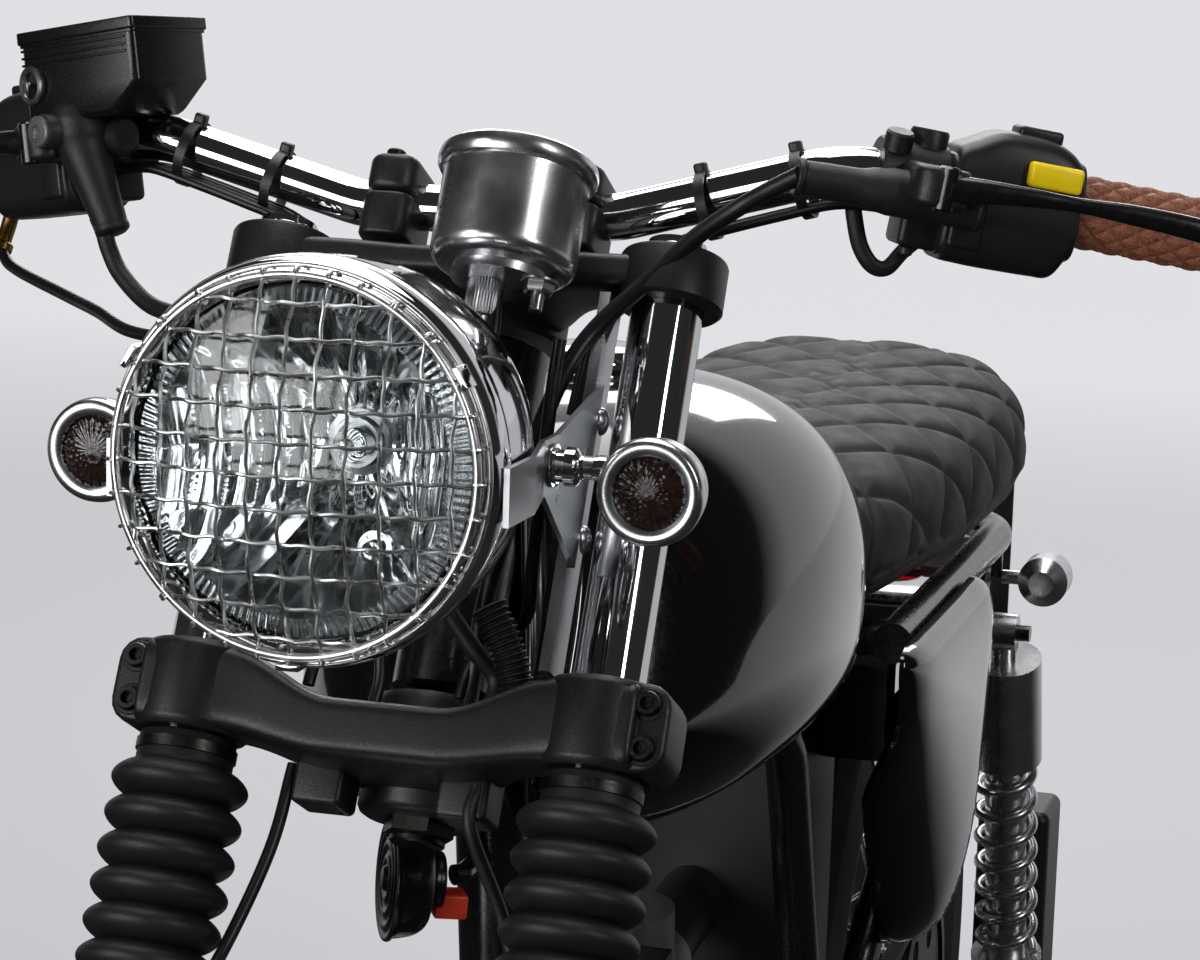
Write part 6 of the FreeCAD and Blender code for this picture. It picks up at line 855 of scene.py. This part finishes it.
# Yokes
def lower_yoke():
    """Lower yoke: squared sections along x between a dipping top and a sagging underside; bosses and ears."""
    end, flat, tube = 95, 24, TUBE
    x = np.linspace(-112, 112, 180)[:, None]
    along = np.clip((np.abs(x) - flat) / (end - flat - tube), 0, 1)
    dip = (1 + np.cos(np.pi * along)) / 2
    top, low = YOKE_HIGH - 0.6 - 17.6 * dip, YOKE_LOW + 0.6 - 8 * dip
    front = -21 - 3.5 * np.clip((np.abs(x) - 60) / 30, 0, 1) ** 2
    back = 18 + 40 * np.exp(-(x / 46) ** 4)
    a = circle(96)[None]
    y, z = between(front, back, np.cos(a), 2 / 5.5), between(low, top, np.sin(a), 2 / 5.5)
    parts = [surface(round_ends(carried(np.stack([x + 0 * a, y, z], -1), FORK), 3, 0))]
    boss = [(TUBE + 0.1, 505), (25, 505), (27.4, 507.4), (27.6, 509), (27.6, 541), (27.2, 542.8), (25, 545),
            (TUBE + 0.1, 545)]
    stem = [(13, 488), (26, 488), (28.6, 489.4), (30, 492), (30, 540), (28, 544), (13, 545)]
    for side in (-1, 1):
        parts.append(lathe(boss, fork_place(side * LEG, 0, 0), 72, True))
        ear = rounded_block((-17, -20, -18), (17, 20, 18), 3,
                            frame_of(on_fork(side * 112, 0, 525), FORK[0][1], X_AXIS), corner=11)
        parts.append(ear)
    parts.append(lathe(stem, fork_place(0, STEM_BACK, 0), 72, True))
    for side in (-1, 1):
        parts.append(rounded_block((side * 34 - 12, 8, 482), (side * 34 + 12, 34, 506), 3, FORK))
    piece("lower_yoke_casting", joined(*parts), BLACK_CASTING, "fork", ["lower_yoke"], angle=38)
    bolts, washers = [], []
    for side in (-1, 1):
        for rise in (-10, 10):
            place = frame_of(on_fork(side * 119, -17.4, 525 + rise), -FORK[0][1], X_AXIS)
            bolts.append(socket_head(5.6, 5, place))
            washers.append(bar_end(7.4, 1.2, 0.4, place))
    piece("pinch_bolts", joined(*bolts), BLACK_STEEL, "fork", angle=30)
    piece("pinch_bolt_washers", joined(*washers), BLACK_CASTING, "fork")
    stem_nut = frame_of(on_fork(0, STEM_BACK, 488.2), -FORK[0][2])
    piece("stem_lock_nut", joined(hex_head(17, 8, stem_nut), bar_end(13, 11, 1, stem_nut)), BLACK_STEEL,
          "fork")


def upper_yoke():
    """Upper yoke: a waisted bar of squared sections between two round clamps, with caps and the stem nut."""
    x = np.linspace(-100, 100, 120)[:, None]
    a = circle(80)[None]
    back = 18 + 48 * np.exp(-(x / 44) ** 4)
    y, z = between(-19, back, np.cos(a), 0.4), between(727, 744, np.sin(a), 0.5) + 0 * x
    parts = [surface(round_ends(carried(np.stack([x + 0 * a, y, z], -1), FORK), 2, 0))]
    clamp = [(16.7, 723), (23.4, 723), (25, 724.6), (25, 745.6), (24.2, 747.2), (22, 748), (16.7, 748)]
    boss = [(13.2, 723), (28, 723), (30, 725), (30, 746), (28, 748), (13.2, 748)]
    for side in (-1, 1):
        parts.append(lathe(clamp, fork_place(side * LEG, 0, 0), 72, True))
    parts.append(lathe(boss, fork_place(0, STEM_BACK, 0), 72, True))
    nut = frame_of(on_fork(0, STEM_BACK, TOP_HIGH), FORK[0][2])
    parts.append(hex_head(18, 9, nut))
    piece("upper_yoke_casting", joined(*parts), BLACK_CASTING, "fork", ["upper_yoke"], angle=38)
    caps = []
    profile = [(0, -1), (15.6, -1), (15.6, 2.6), (14.6, 3.6), (12.6, 4), (12.2, 6.4), (11, 7), (7.5, 7),
               (7, 4.6), (0, 4.6)]
    for side in (-1, 1):
        caps.append(lathe(profile, frame_of(on_fork(side * LEG, 0, TOP_HIGH), FORK[0][2]), 48))
    piece("fork_caps", joined(*caps), CHROME, "fork")


# Brackets beside the headlamp
def brackets():
    """Button-head screws in the gusset plates, and the washers, nuts and ball studs of the lamp's arms."""
    screws, nuts = [], []
    for side in (-1, 1):
        for back, rise in ((-15, 664), (-13, 609)):
            place = frame_of(on_fork(side * 75.5, back + 4, rise), X_AXIS * side, Y_AXIS)
            screws.append(joined(dome_head(6.4, 3.4, place),
                                 lathe(np.array([(0, 3.45), (2.2, 3.45), (2.2, 3.2), (0, 3.2)]), place, 6)))
        place = frame_of((side * 78.2, -426, 909), X_AXIS * side, Y_AXIS)
        nuts.append(joined(bar_end(9.5, 1.4, 0.3, place), bar_end(7.8, 2.4, 0.3, place)))
        nuts.append(hex_head(7.2, 7.5, place))
        t = np.linspace(0, np.pi, 12)
        ball = np.stack([5.2 * np.sin(t) * 1.05, 12.5 - 5.2 * np.cos(t)], -1)
        nuts.append(lathe(ball, place, 24))
        nuts.append(lathe(np.array([(0, 15), (3.6, 15), (3.6, 20), (6, 20.6), (6, 24), (0, 24)]), place, 24))
    piece("gusset_screws", joined(*screws), ZINC, "fork")
    piece("lamp_arm_nuts", joined(*nuts), CHROME, "fork")


# Handlebar controls, drawn in the left grip's frame
def bar_frame(out, rear, up, along=None, across=None):
    """A frame at a point of the left grip; its directions are shares of outward, rearward and upward."""
    turn = np.array([GRIP_OUT, GRIP_REAR, GRIP_UP])
    along = np.array(along or (1, 0, 0), float) @ turn
    across = np.array(across or (0, 1, 0), float) @ turn
    return frame_of(on_bar(out, rear, up), along, across)


def bar_line(points, per_run=10):
    """A smooth curve through points given in the left grip's frame, millimetres."""
    p = smooth_path(points, per_run)
    return carried(p, BAR_FRAME)


def switch_housing():
    """Two shells on the bar: squared sections whose top swells and whose box below is a little wider."""
    place = BAR_FRAME
    a = circle(96)[None]
    c, s = np.cos(a), np.sin(a)
    t = smooth_path([(-57, 16, 31), (-55, 20, 33), (-48, 24, 33.4), (-38, 29, 33.6), (-26, 30, 33.4),
                     (-12, 29, 33), (-4, 26, 32), (1, 22, 24)], 6)
    out, high, low = t[:, 0:1], t[:, 1:2], t[:, 2:3]
    wide = np.where(s > 0, 21, 22.4)
    rear = wide * squared(c, 0.42) + 0 * out
    up = np.where(s > 0, high * np.abs(s) ** 0.62, -low * np.abs(s) ** 0.3)
    shell = surface(round_ends(carried(np.stack([out + 0 * a, rear, up], -1), place), 2.5, 0))
    pad = rounded_block((-29, -8, 26), (-8, 9, 33.6), 2, place)
    stem = rounded_block((-56, -23.4, -26), (-40, -10, -6), 2, place)
    return joined(shell, pad, stem)


def perch():
    """Lever perch: a split clamp round the bar, its cap, the pivot's fork and the threaded mirror boss."""
    clamp = [(11.2, -90), (16.4, -90), (17.4, -89), (17.4, -59), (16.4, -58), (11.2, -58)]
    parts = [lathe(clamp, ROUND_BAR, 48, True)]
    parts.append(bar_end(6.6, 10, 1, bar_frame(-84, -9, 11, (0, -0.25, 1))))
    boss = [(4.3, 12), (8, 12), (9, 13), (9, 22.4), (8.2, 23.8), (5, 23.8), (4.3, 23)]
    parts.append(lathe(boss, bar_frame(-68, 0, 0, (0, 0, 1)), 40, True))
    place = BAR_FRAME
    parts.append(rounded_block((-82, -54, -9), (-56, -12, 9), 3, place, corner=9))
    parts.append(rounded_block((-76, -14, -30), (-56, 14, -8), 3, place))
    parts.append(bar_end(3.2, 4, 0.6, bar_frame(-70, -8, -34, (0, 0, 1))))
    return joined(*parts)


def lever():
    """Lever blade: a flattened section along a curve, slim at the bend, with a pivot and a round end."""
    table = smooth_path([(-66, -50, 0, 7), (-50, -53, 2.2, 5.4), (-30, -55.5, 3.6, 4.2), (-10, -57, 4.2, 3.4),
                         (15, -59, 4.6, 4.6), (45, -61, 3.6, 5.4), (75, -62, 0, 5.6), (105, -61, -4.6, 5.2),
                         (119, -58.5, -7.6, 4.9)], 10)
    path = carried(table[:, :3], BAR_FRAME)
    end = path[-1]
    t = np.linspace(0, np.pi, 14)
    ball = lathe(np.stack([7.2 * np.sin(t), -7.2 * np.cos(t)], -1),
                 (np.array([GRIP_REAR, GRIP_UP, GRIP_OUT]), end), 28)
    pivot = bar_end(5, 20, 1, bar_frame(-68, -50, -10, (0, 0, 1)))
    return joined(swept(path, table[:, 3] / 1.25, 20, 1.25), ball, pivot)


def lever_boot():
    """Rubber boot over the lever's pivot: rings of changing radius along the cable, lips at both ends."""
    h = [(-131, 5.5), (-131, 8.4), (-128.6, 8.9), (-127.6, 8.2), (-126, 8), (-118, 8.2), (-104, 8.3),
         (-97, 9.4), (-88, 10.6), (-76, 11), (-60, 11.2), (-50, 11.4), (-48.4, 12), (-46.4, 12),
         (-45.6, 11.2), (-46, 7)]
    table = smooth_path(h, 4)
    height = table[:, 0]
    centre = on_bar(0, -33, -3.4)[None] + height[:, None] * (GRIP_OUT + 0.035 * GRIP_UP - 0.04 * GRIP_REAR)
    a = circle(56)
    ring = np.cos(a)[:, None] * GRIP_REAR + np.sin(a)[:, None] * GRIP_UP
    wrinkle = 0.35 * np.sin(height * 0.7)[:, None] * (0.5 + 0.5 * np.cos(a))[None] * (table[:, 1:2] > 9)
    points = centre[:, None] + (table[:, 1:2] + wrinkle)[..., None] * ring[None]
    ends = [np.broadcast_to(points[k].mean(axis=0), points[k].shape)[None] for k in (0, -1)]
    return surface(np.concatenate([ends[0], points, ends[1]]))


def reservoir():
    """Fluid reservoir: stacked round-cornered rings whose inboard side steps in below; lid and cylinder."""
    turn = math.radians(-8)
    first = math.cos(turn) * GRIP_OUT + math.sin(turn) * GRIP_REAR
    place = (np.array([first, np.cross(GRIP_UP, first), GRIP_UP]), on_bar(-97, -17, 0))
    corner = np.linspace(0, np.pi / 2, 6)
    loops = []
    for rise, inset, cut in ((8, 30, 20), (8, 2, 17), (9.6, 0.4, 15.4), (11, 0, 14), (23, 0, 0), (46, 0, 0),
                             (46, 30, 30)):
        low, high, half, round_by = -35 + inset + cut, 35 - inset, 27 - min(inset, 26), max(4 - inset, 0.3)
        loop = []
        for k, (x, y) in enumerate(((high, half), (low, half), (low, -half), (high, -half))):
            t = np.pi / 2 * k + corner
            centre = np.array([x - round_by * (1 if x == high else -1), y - round_by * np.sign(y)])
            loop.append(centre + round_by * np.stack([np.cos(t), np.sin(t)], -1))
        loop = np.concatenate(loop)
        loops.append(np.column_stack([loop, np.full(len(loop), rise)]))
    loops = np.array(loops)
    loops = np.concatenate([loops[:1].mean(axis=1, keepdims=True) + 0 * loops[:1], loops,
                            loops[-1:].mean(axis=1, keepdims=True) + 0 * loops[-1:]])
    ribs = [rounded_block((-30, -27.8, z), (34, -26, z + 1.2), 0.4, place) for z in (36, 39.4, 42.8)]
    body = joined(surface(carried(loops, place)), *ribs)
    lid = rounded_block((-36.2, -28.2, 46.4), (36.2, 28.2, 52.4), 0.9, place, corner=2.4)
    flange = rounded_block((-35.6, -27.6, 45), (35.6, 27.6, 46.6), 0.3, place, corner=3)
    cylinder = bar_end(9.5, 50, 2, bar_frame(-108, -24, -1, (1, 0, 0)))
    return body, joined(lid, flange), cylinder


def hose_boot():
    """Rubber elbow on the brake hose: a dome over the banjo, a cone down the hose, and a lip at its end."""
    path = bar_line([(-88, -33, 16), (-88, -34, 12), (-88, -35, 5), (-89, -35, -4), (-93, -35, -16),
                     (-97, -35, -28), (-101.5, -35, -40), (-103.6, -35, -47)], 6)
    share = np.linspace(0, 1, len(path))
    stops = [0, 0.05, 0.12, 0.24, 0.36, 0.5, 0.7, 0.9, 0.92, 0.97, 1]
    radius = np.interp(share, stops, [5, 10.5, 13.4, 14.6, 13.8, 11.6, 9.4, 8, 8.5, 8.5, 6.4])
    socket = bar_end(8.4, 23, 1.2, bar_frame(-85, -32, 4, (0.12, -1, 0)))
    profile = [(0, 0), (7.4, 0), (7.6, 0.4), (7.6, 2), (7, 2.6), (3.4, 2.9), (3, 2.2), (0, 2)]
    bolt = lathe(profile, bar_frame(-82.3, -54.6, 4, (0.12, -1, 0)), 40)
    return joined(swept(path, radius, 40), socket), bolt


def controls():
    """Housings, perches, levers and boots; the reservoir on the right, the yellow flasher on the left."""
    place = BAR_FRAME
    housing, clamp, blade, boot = switch_housing(), perch(), lever(), lever_boot()
    box, lid, cylinder = reservoir()
    elbow, bolt = hose_boot()
    right = [mirrored(part) for part in (housing, clamp, cylinder)]
    piece("switch_housings", joined(housing, right[0]), PLASTIC, "fork", ["switchgear"], angle=35)
    piece("lever_perches", joined(clamp, right[1], right[2]), BLACK_CASTING, "fork", angle=35)
    piece("clutch_lever_blade", blade, ENAMEL, "fork", ["clutch_lever"], angle=35)
    piece("brake_lever_blade", mirrored(blade), ENAMEL, "fork", ["brake_lever"], angle=35)
    piece("rubber_lever_boot", boot, RUBBER, "fork", angle=50)
    piece("rubber_hose_boot", mirrored(elbow), RUBBER, "fork", angle=50)
    piece("brake_switch_cap", mirrored(bolt), CASTING, "fork")
    piece("reservoir_body", mirrored(box), GLOSS_PLASTIC, "fork", angle=35)
    piece("reservoir_lid", mirrored(lid), GLOSS_PLASTIC, "fork", angle=35)
    glass = bar_frame(-71.6, -46, 27, (0.14, -1, 0))
    rim = [(6.2, 0), (9, 0), (9.4, 0.8), (9.4, 2.6), (8.6, 3.4), (6.6, 3), (6.2, 2.2)]
    piece("sight_glass_rim", mirrored(lathe(rim, glass, 48, True)), ZINC, "fork")
    disc = [(0, 0.4), (6.1, 0.4), (6.3, 1.6), (4.4, 2.2), (0, 2.5)]
    piece("sight_glass_window", mirrored(lathe(disc, glass, 40)), MIRROR, "fork")
    button = rounded_block((-25, -26, 7.6), (0, -12, 19), 2, place)
    piece("flasher_button", button, YELLOW, "fork")
    loop = swept(bar_line([(-97, 0, -14), (-95, -2, -22), (-90, -3, -34), (-83, -4, -41.5), (-76, -4, -41.5),
                           (-70, -3, -33), (-62, -1, -24)]), 2.6, 12, 1.5)
    piece("switch_lead_loop", loop, RUBBER, "fork")


def bar_leads():
    """Leads bound under the bar, which drop behind the lamp as a flat bundle, and the ties round them."""
    run = [on_bar(-60, -3, -15), on_bar(-86, -4, -15.4)]
    run += [(165, -282, 1014), (142, -284, 1008), (118, -286, 1001), (99, -289, 995), (86, -297, 987),
            (75, -312, 971), (66, -322, 948), (60, -327, 915)]
    path = smooth_path(run, 14)
    across, up = framed(path)
    share = np.linspace(0, 1, len(path))[:, None]
    leads = []
    for shift in (-7.6, -3.8, 0, 3.8, 7.6):
        leads.append(swept(path + across * shift * (0.8 + 0.5 * share) - up * abs(shift) * 0.1, 2.3, 10))
    leads = joined(*leads)
    ties = []
    for x in (106, 150):
        centre = np.array([x, -279.8, 1002.4 + 29 * (x - 62) / 107 - 3.6])
        place = frame_of(centre, np.array([107, 0, 29]) / 110.9, Z_AXIS)
        band = [(14.9, -2.4), (16.2, -2.4), (16.2, 2.4), (14.9, 2.4)]
        ties.append(lathe(band, place, 48, True))
        ties.append(rounded_block((13, -3, -3), (20, 3, 3), 1.4, place))
    ties = joined(*ties)
    piece("bound_leads", joined(leads, mirrored(leads)), SHEATH, "fork", angle=60)
    piece("cable_ties", joined(ties, mirrored(ties)), PLASTIC, "fork")


CLUTCH_LINE = [(156.7, -41.4, 775.1), (142.5, -34.4, 770.2), (128.2, -27.0, 764.4), (109.8, -22.9, 751.1),
               (88.6, -20.8, 728.0), (68.8, -20.2, 704.7), (59.3, -22.5, 684.2), (50.5, -18, 660),
               (45, -12, 640), (30, 8, 585), (25, 24, 552), (25, 24, 527.2)]
THROTTLE_LINE = [(-262, 46, 784), (-265.7, 51.9, 768.1), (-267.0, 52.2, 757.0), (-262.5, 48.8, 747.6),
                 (-249.4, 41.5, 738.1), (-205.5, 12.3, 715.6), (-177.9, -10.5, 700.8), (-149.2, -34.3, 684),
                 (-119, -52, 676), (-90, -46, 682), (-58, -28, 672), (-35, -5, 620), (-20, 22, 556),
                 (-20, 24, 527.2)]
DIAL_LINE = [(34, -62, 704), (34, -62, 676), (12, -50, 658), (-40, -35, 620), (-50, -5, 572),
             (-48.6, 14, 552), (-48.6, 14, 536.8)]
DIAL_FOOT_LINE = [(-48.6, 14, 499.6), (-49.9, 7.6, 459), (-60.4, -0.6, 409), (-65, -33, 362), (-76, -34, 290),
                  (-78, -31, 220), (-78, -28, 110), (-74, -27, 70), (-68.4, -25.1, 43.6),
                  (-68.4, -18.1, 31.4)]
HOSE_FOOT_LINE = [(40, 10, 498), (40, 10, 478), (56, 34, 440), (66, 36, 400), (66, 36, 300), (66, 36, 220),
                  (60, 50, 182), (58, 52, 156.4)]
HOSE_LINE = [(-184.5, -17.8, 746), (-180.8, -15.3, 739.4), (-177.2, -13.5, 731.5), (-169.6, -12.1, 720.2),
             (-153.4, -14.5, 706.4), (-137.3, -22.1, 698.7), (-108, -42, 688), (-74, -52, 673),
             (-46, -30, 652), (-5, -20, 600), (28, 0, 560), (40, 10, 547), (40, 10, 532.6)]


def fork_line(points):
    """A smooth curve through millimetre points of the fork's frame."""
    return carried(smooth_path(points, 14), FORK)


def cable_runs():
    """Clutch, throttle and speedometer cables and the brake hose on smooth lines, and a brass elbow."""
    thick = swept(fork_line(CLUTCH_LINE), 4.1, 16)
    thin = [swept(fork_line(line), 2.9, 14) for line in (THROTTLE_LINE, DIAL_LINE, DIAL_FOOT_LINE)]
    piece("control_cable_runs", joined(thick, *thin), SHEATH, "fork", ["control_cables"], angle=60)
    hose = [swept(fork_line(line), wide, 18) for line, wide in ((HOSE_LINE, 4.2), (HOSE_FOOT_LINE, 3.2))]
    piece("brake_hose_runs", joined(*hose), RUBBER, "fork", ["brake_hose"], angle=60)
    elbow = fork_line(THROTTLE_LINE[:3])
    collar = frame_of(elbow[-1], elbow[-1] - elbow[-2])
    brass = joined(swept(elbow, 3.9, 18), bar_end(5.6, 5, 0.8, (collar[0], collar[1])))
    piece("throttle_elbow", brass, BRASS, "fork")


def risers():
    """Bar risers: round-edged blocks split at the bar's middle, with two bolt heads sunk in each cap."""
    blocks, bolts = [], []
    for side in (-45, 45):
        blocks.append(rounded_block((side - 12, -14, 747.6), (side + 12, 28, 769.4), 2, FORK, corner=8))
        blocks.append(rounded_block((side - 12, -14, 770.4), (side + 12, 28, 789), 4, FORK, corner=9))
        for back in (-8, 23):
            bolts.append(socket_head(4.6, 3.6, fork_place(side, back, 787.6)))
    piece("bar_risers", joined(*blocks), BLACK_CASTING, "fork", ["bar_clamps"], angle=35)
    piece("riser_bolts", joined(*bolts), BLACK_STEEL, "fork", angle=30)


def horn():
    """Horn: a stepped dish with a rolled rim and ridges on its face, and a red-orange plug."""
    along = np.array([-0.87, -0.48, 0.08])
    place = frame_of((-26, -322, 688), along / np.linalg.norm(along), Z_AXIS)
    t = np.array([(0, -30), (14, -30), (17, -28), (18, -22), (27, -20), (32, -14), (34, -6), (35, 0),
                  (36.4, 1), (36.4, 3.4), (34.6, 4), (31, 3), (28, 4.6), (24, 3.2), (20, 4.8), (16, 3.2),
                  (12, 5), (8, 4), (6, 6.4), (0, 7)])
    piece("horn_dish", lathe(smooth_path(t * [0.82, 0.8], 3), place, 72), GLOSS_PLASTIC, "chassis", ["horn"],
          angle=40)
    plug = rounded_block((-17, -8, -36), (-5, 8, -20), 1.6, place)
    piece("horn_plug", plug, RED, "chassis")


def lamp_leads():
    """Ribbed conduit, r = 7.4 + sin(44 pi t), and the bent steel guide beside it."""
    t = np.linspace(0, 1, 260)[:, None]
    start, end = on_fork(38, -12, 574), on_fork(56, 6, 520)
    path = start + (end - start) * t + np.sin(np.pi * t) * 5 * X_AXIS
    rings = 7.4 + np.sin(2 * np.pi * 22 * t[:, 0])
    piece("ribbed_conduit", swept(path, rings, 28), RUBBER, "fork", angle=60)
    guide = smooth_path([on_fork(*p) for p in ((21, 23, 539), (23, 22.6, 552), (28.9, 20, 567),
                                               (50.6, 5, 574), (57, -20, 600), (61, -44, 660),
                                               (63, -52, 687))], 10)
    piece("bent_steel_guide", swept(guide, 3.1, 14), DARK, "fork")


# Seat
SEAT_STATIONS = np.array([(0.0, 0.62, 0.06, 0.5), (0.015, 0.7, 0.02, 0.6), (0.05, 0.77, 0.0, 0.7),
                          (0.12, 0.84, 0.0, 0.78), (0.22, 0.89, 0.0, 0.84), (0.34, 0.94, 0.0, 0.88),
                          (0.48, 0.98, 0.0, 0.9), (0.62, 0.99, 0.0, 0.92), (0.75, 1.0, 0.0, 0.95),
                          (0.85, 0.97, 0.0, 0.985), (0.92, 0.89, 0.0, 1.0), (0.965, 0.78, 0.02, 0.97),
                          (0.99, 0.64, 0.08, 0.9), (1.0, 0.52, 0.16, 0.8)])


def seat():
    """Quilted cover: superellipse sections pushed out by diamonds, min(|sin(p + q)|, |sin(p - q)|)."""
    front, rear, base, top, half = 150, 655, 728.7, 846, 136
    along = np.concatenate([np.linspace(0, 0.04, 14, endpoint=False),
                            np.linspace(0.04, 0.95, 220, endpoint=False), np.linspace(0.95, 1, 20)])[:, None]
    stations = SEAT_STATIONS.T
    wide, low, high = [np.interp(along, stations[0], stations[k]) for k in (1, 2, 3)]
    a = circle(240)[None] + 0.001
    x, z, middle, high = sections(half * wide, base + (top - base) * low, base + (top - base) * high, a, 3.2)
    y = front + (rear - front) * along + 0 * a
    steps = np.hypot(np.diff(x, axis=1, append=x[:, :1]), np.diff(z, axis=1, append=z[:, :1]))
    girth = np.cumsum(steps, axis=1)
    over = girth - girth[:, 60:61]
    p, q = np.pi * y / 78, np.pi * over / 70
    quilt = np.minimum(np.abs(np.sin(p + q)), np.abs(np.sin(p - q)))
    upper = np.clip((z - middle + 12) / 14, 0, 1)
    puff = (1 - np.exp(-quilt * 3.2)) * 5.5 * upper * np.clip((1 - along) * 30, 0, 1)
    nx, nz = x / half**2, (z - middle) / (high - middle) ** 2
    norm = np.hypot(nx, nz) + 1e-9
    points = np.stack([x + puff * nx / norm, y, z + puff * nz / norm - 4 * upper], -1)
    first = np.tile(points[:1].mean(axis=1, keepdims=True), (1, 240, 1))
    last = np.tile(points[-1:].mean(axis=1, keepdims=True), (1, 240, 1))
    points = np.concatenate([first, points, last])
    piece("seat_cushion", surface(points), SEAT_COVER, "chassis", ["seat"], angle=70)


# Studio
FLOOR_RINGS = [0, 500, 4000, 12000, 40000, 150000]


def shown_as(tree, seen, mirrored, lighting):
    """One number by the kind of ray: as the camera and glass see it, in reflections, and as light."""
    path = add(tree, "LightPath", {})
    clear = add(tree, "Math", {"operation": "MAXIMUM"}, {0: path.outputs["Is Camera Ray"],
                                                         1: path.outputs["Is Transmission Ray"]})
    first = add(tree, "Mix", {"data_type": "FLOAT", 2: lighting}, {0: clear.outputs[0], 3: seen})
    second = add(tree, "Mix", {"data_type": "FLOAT"}, {0: path.outputs["Is Glossy Ray"], 2: first.outputs[0],
                                                       3: mirrored})
    return second.outputs[0]


def studio():
    """A wide pale floor that keeps the machine's shadow, painted dark grey in reflections, and soft boxes
    above, beside, ahead and behind.
    """
    disc = lathe([(radius, 0) for radius in FLOOR_RINGS], ROW, 96)
    floor = bpy.data.meshes.new("studio_floor")
    floor.from_pydata((disc[0] * MM).tolist(), [], disc[1].tolist())
    floor_piece = bpy.data.objects.new("studio_floor", floor)
    bpy.context.scene.collection.objects.link(floor_piece)
    material, tree, shader, place = started("pale_paper_floor", Base_Color="#98989B", Roughness=0.95)
    shader.inputs["Specular IOR Level"].default_value = 0.0
    shader.inputs["Emission Color"].default_value = linear("#EBEBEE")
    back = add(tree, "SeparateXYZ", {}, {0: place}).outputs[1]
    fade = add(tree, "MapRange", {"From Min": -1.0, "From Max": 7.0, "To Min": 0.14, "To Max": 0.79},
               {"Value": back}).outputs[0]
    # Painted reflection: to glossy rays the floor glows only behind the machine, rising from y = 1 m to 3.2
    # m.
    dim = add(tree, "MapRange", {"From Min": 1.0, "From Max": 3.2, "To Min": 0.0, "To Max": 0.6},
              {"Value": back}).outputs[0]
    tree.links.new(shown_as(tree, fade, dim, 0.0), shader.inputs["Emission Strength"])
    # Painted reflection: to glossy rays the floor's colour is a dark grey instead of its own pale grey.
    ray = add(tree, "LightPath", {})
    floor_reflection_shade = add(tree, "Mix", {"data_type": "RGBA", 6: linear("#98989B"), 7: linear("#2A2A2B")},
                {0: ray.outputs["Is Glossy Ray"]})
    tree.links.new(floor_reflection_shade.outputs[2], shader.inputs["Base Color"])
    floor.materials.append(material)
    for name, at, size, power, aim in (
        ("overhead_box", (-0.3, 0.4, 3.2), (1.6, 2.4), 52, (0, 0, 0.8)),
        ("right_box", (3.4, -2.2, 2.6), (0.5, 1.8), 34, (0, -0.4, 0.9)),
        ("left_box", (-2.2, -3.0, 1.6), (1.0, 2.0), 30, (0, -0.4, 0.9)),
        ("front_box", (-1.7, -4.8, 1.0), (2.6, 2.2), 70, (0, -0.4, 0.9)),
        ("rear_box", (-0.6, 3.2, 2.6), (2.6, 1.2), 40, (0, 0.2, 0.7)),
    ):
        lamp = bpy.data.lights.new(name, "AREA")
        lamp.shape = "RECTANGLE"
        lamp.size, lamp.size_y = size
        lamp.energy = power
        made = bpy.data.objects.new(name, lamp)
        bpy.context.scene.collection.objects.link(made)
        third = np.array(at) - np.array(aim)
        third /= np.linalg.norm(third)
        first = np.cross(Z_AXIS, third)
        first /= np.linalg.norm(first)
        second = np.cross(third, first)
        rows = [[first[k], second[k], third[k], at[k]] for k in range(3)]
        made.matrix_world = Matrix(rows + [[0, 0, 0, 1]])


def surround():
    """Pale to the camera and through glass; reflections find it pale behind the machine and dim ahead."""
    world = bpy.data.worlds.new("pale_studio")
    bpy.context.scene.world = world
    world.use_nodes = True
    tree = world.node_tree
    shown = tree.nodes["Background"]
    place = add(tree, "TexCoord", {}).outputs["Generated"]
    back = add(tree, "SeparateXYZ", {}, {0: place}).outputs[1]
    pale = add(tree, "Value", {}).outputs[0]
    pale.default_value = 0.86
    dim = add(tree, "MapRange", {"From Min": 0.56, "From Max": 0.72, "To Min": 0.03, "To Max": 0.75},
              {"Value": back}).outputs[0]
    tree.links.new(shown_as(tree, pale, dim, 0.36), shown.inputs["Strength"])
    shown.inputs["Color"].default_value = linear("#E9E9EC")


def camera():
    """The photo's eye: level of the lamp's top, ahead and to the rider's left, looking down a little."""
    at = np.array([460.3, -1712.1, 1124.5]) * MM
    yaw, pitch, roll = math.radians(15.69), math.radians(-9.36), math.radians(1.77)
    ahead = np.array([-math.sin(yaw) * math.cos(pitch), math.cos(yaw) * math.cos(pitch), math.sin(pitch)])
    right = np.cross(ahead, Z_AXIS)
    right /= np.linalg.norm(right)
    up = np.cross(right, ahead)
    across = right * math.cos(roll) + up * math.sin(roll)
    upward = -right * math.sin(roll) + up * math.cos(roll)
    eye = bpy.data.cameras.new("photo_camera")
    eye.sensor_width = 36
    eye.lens = 96.3
    made = bpy.data.objects.new("photo_camera", eye)
    bpy.context.scene.collection.objects.link(made)
    made.matrix_world = Matrix([[across[k], upward[k], -ahead[k], at[k]] for k in range(3)] + [[0, 0, 0, 1]])
    bpy.context.scene.camera = made


PARTS = [bucket, reflector, bulb, lens, guard, front_indicators, speedometer, gaiters, grips, fuel_tank,
         side_panels, lower_yoke, upper_yoke, brackets, controls, cable_runs, risers, bar_leads, horn,
         lamp_leads, seat, studio, surround, camera]
for make in PARTS:
    make()
bpy.context.scene.view_settings.view_transform = "Standard"
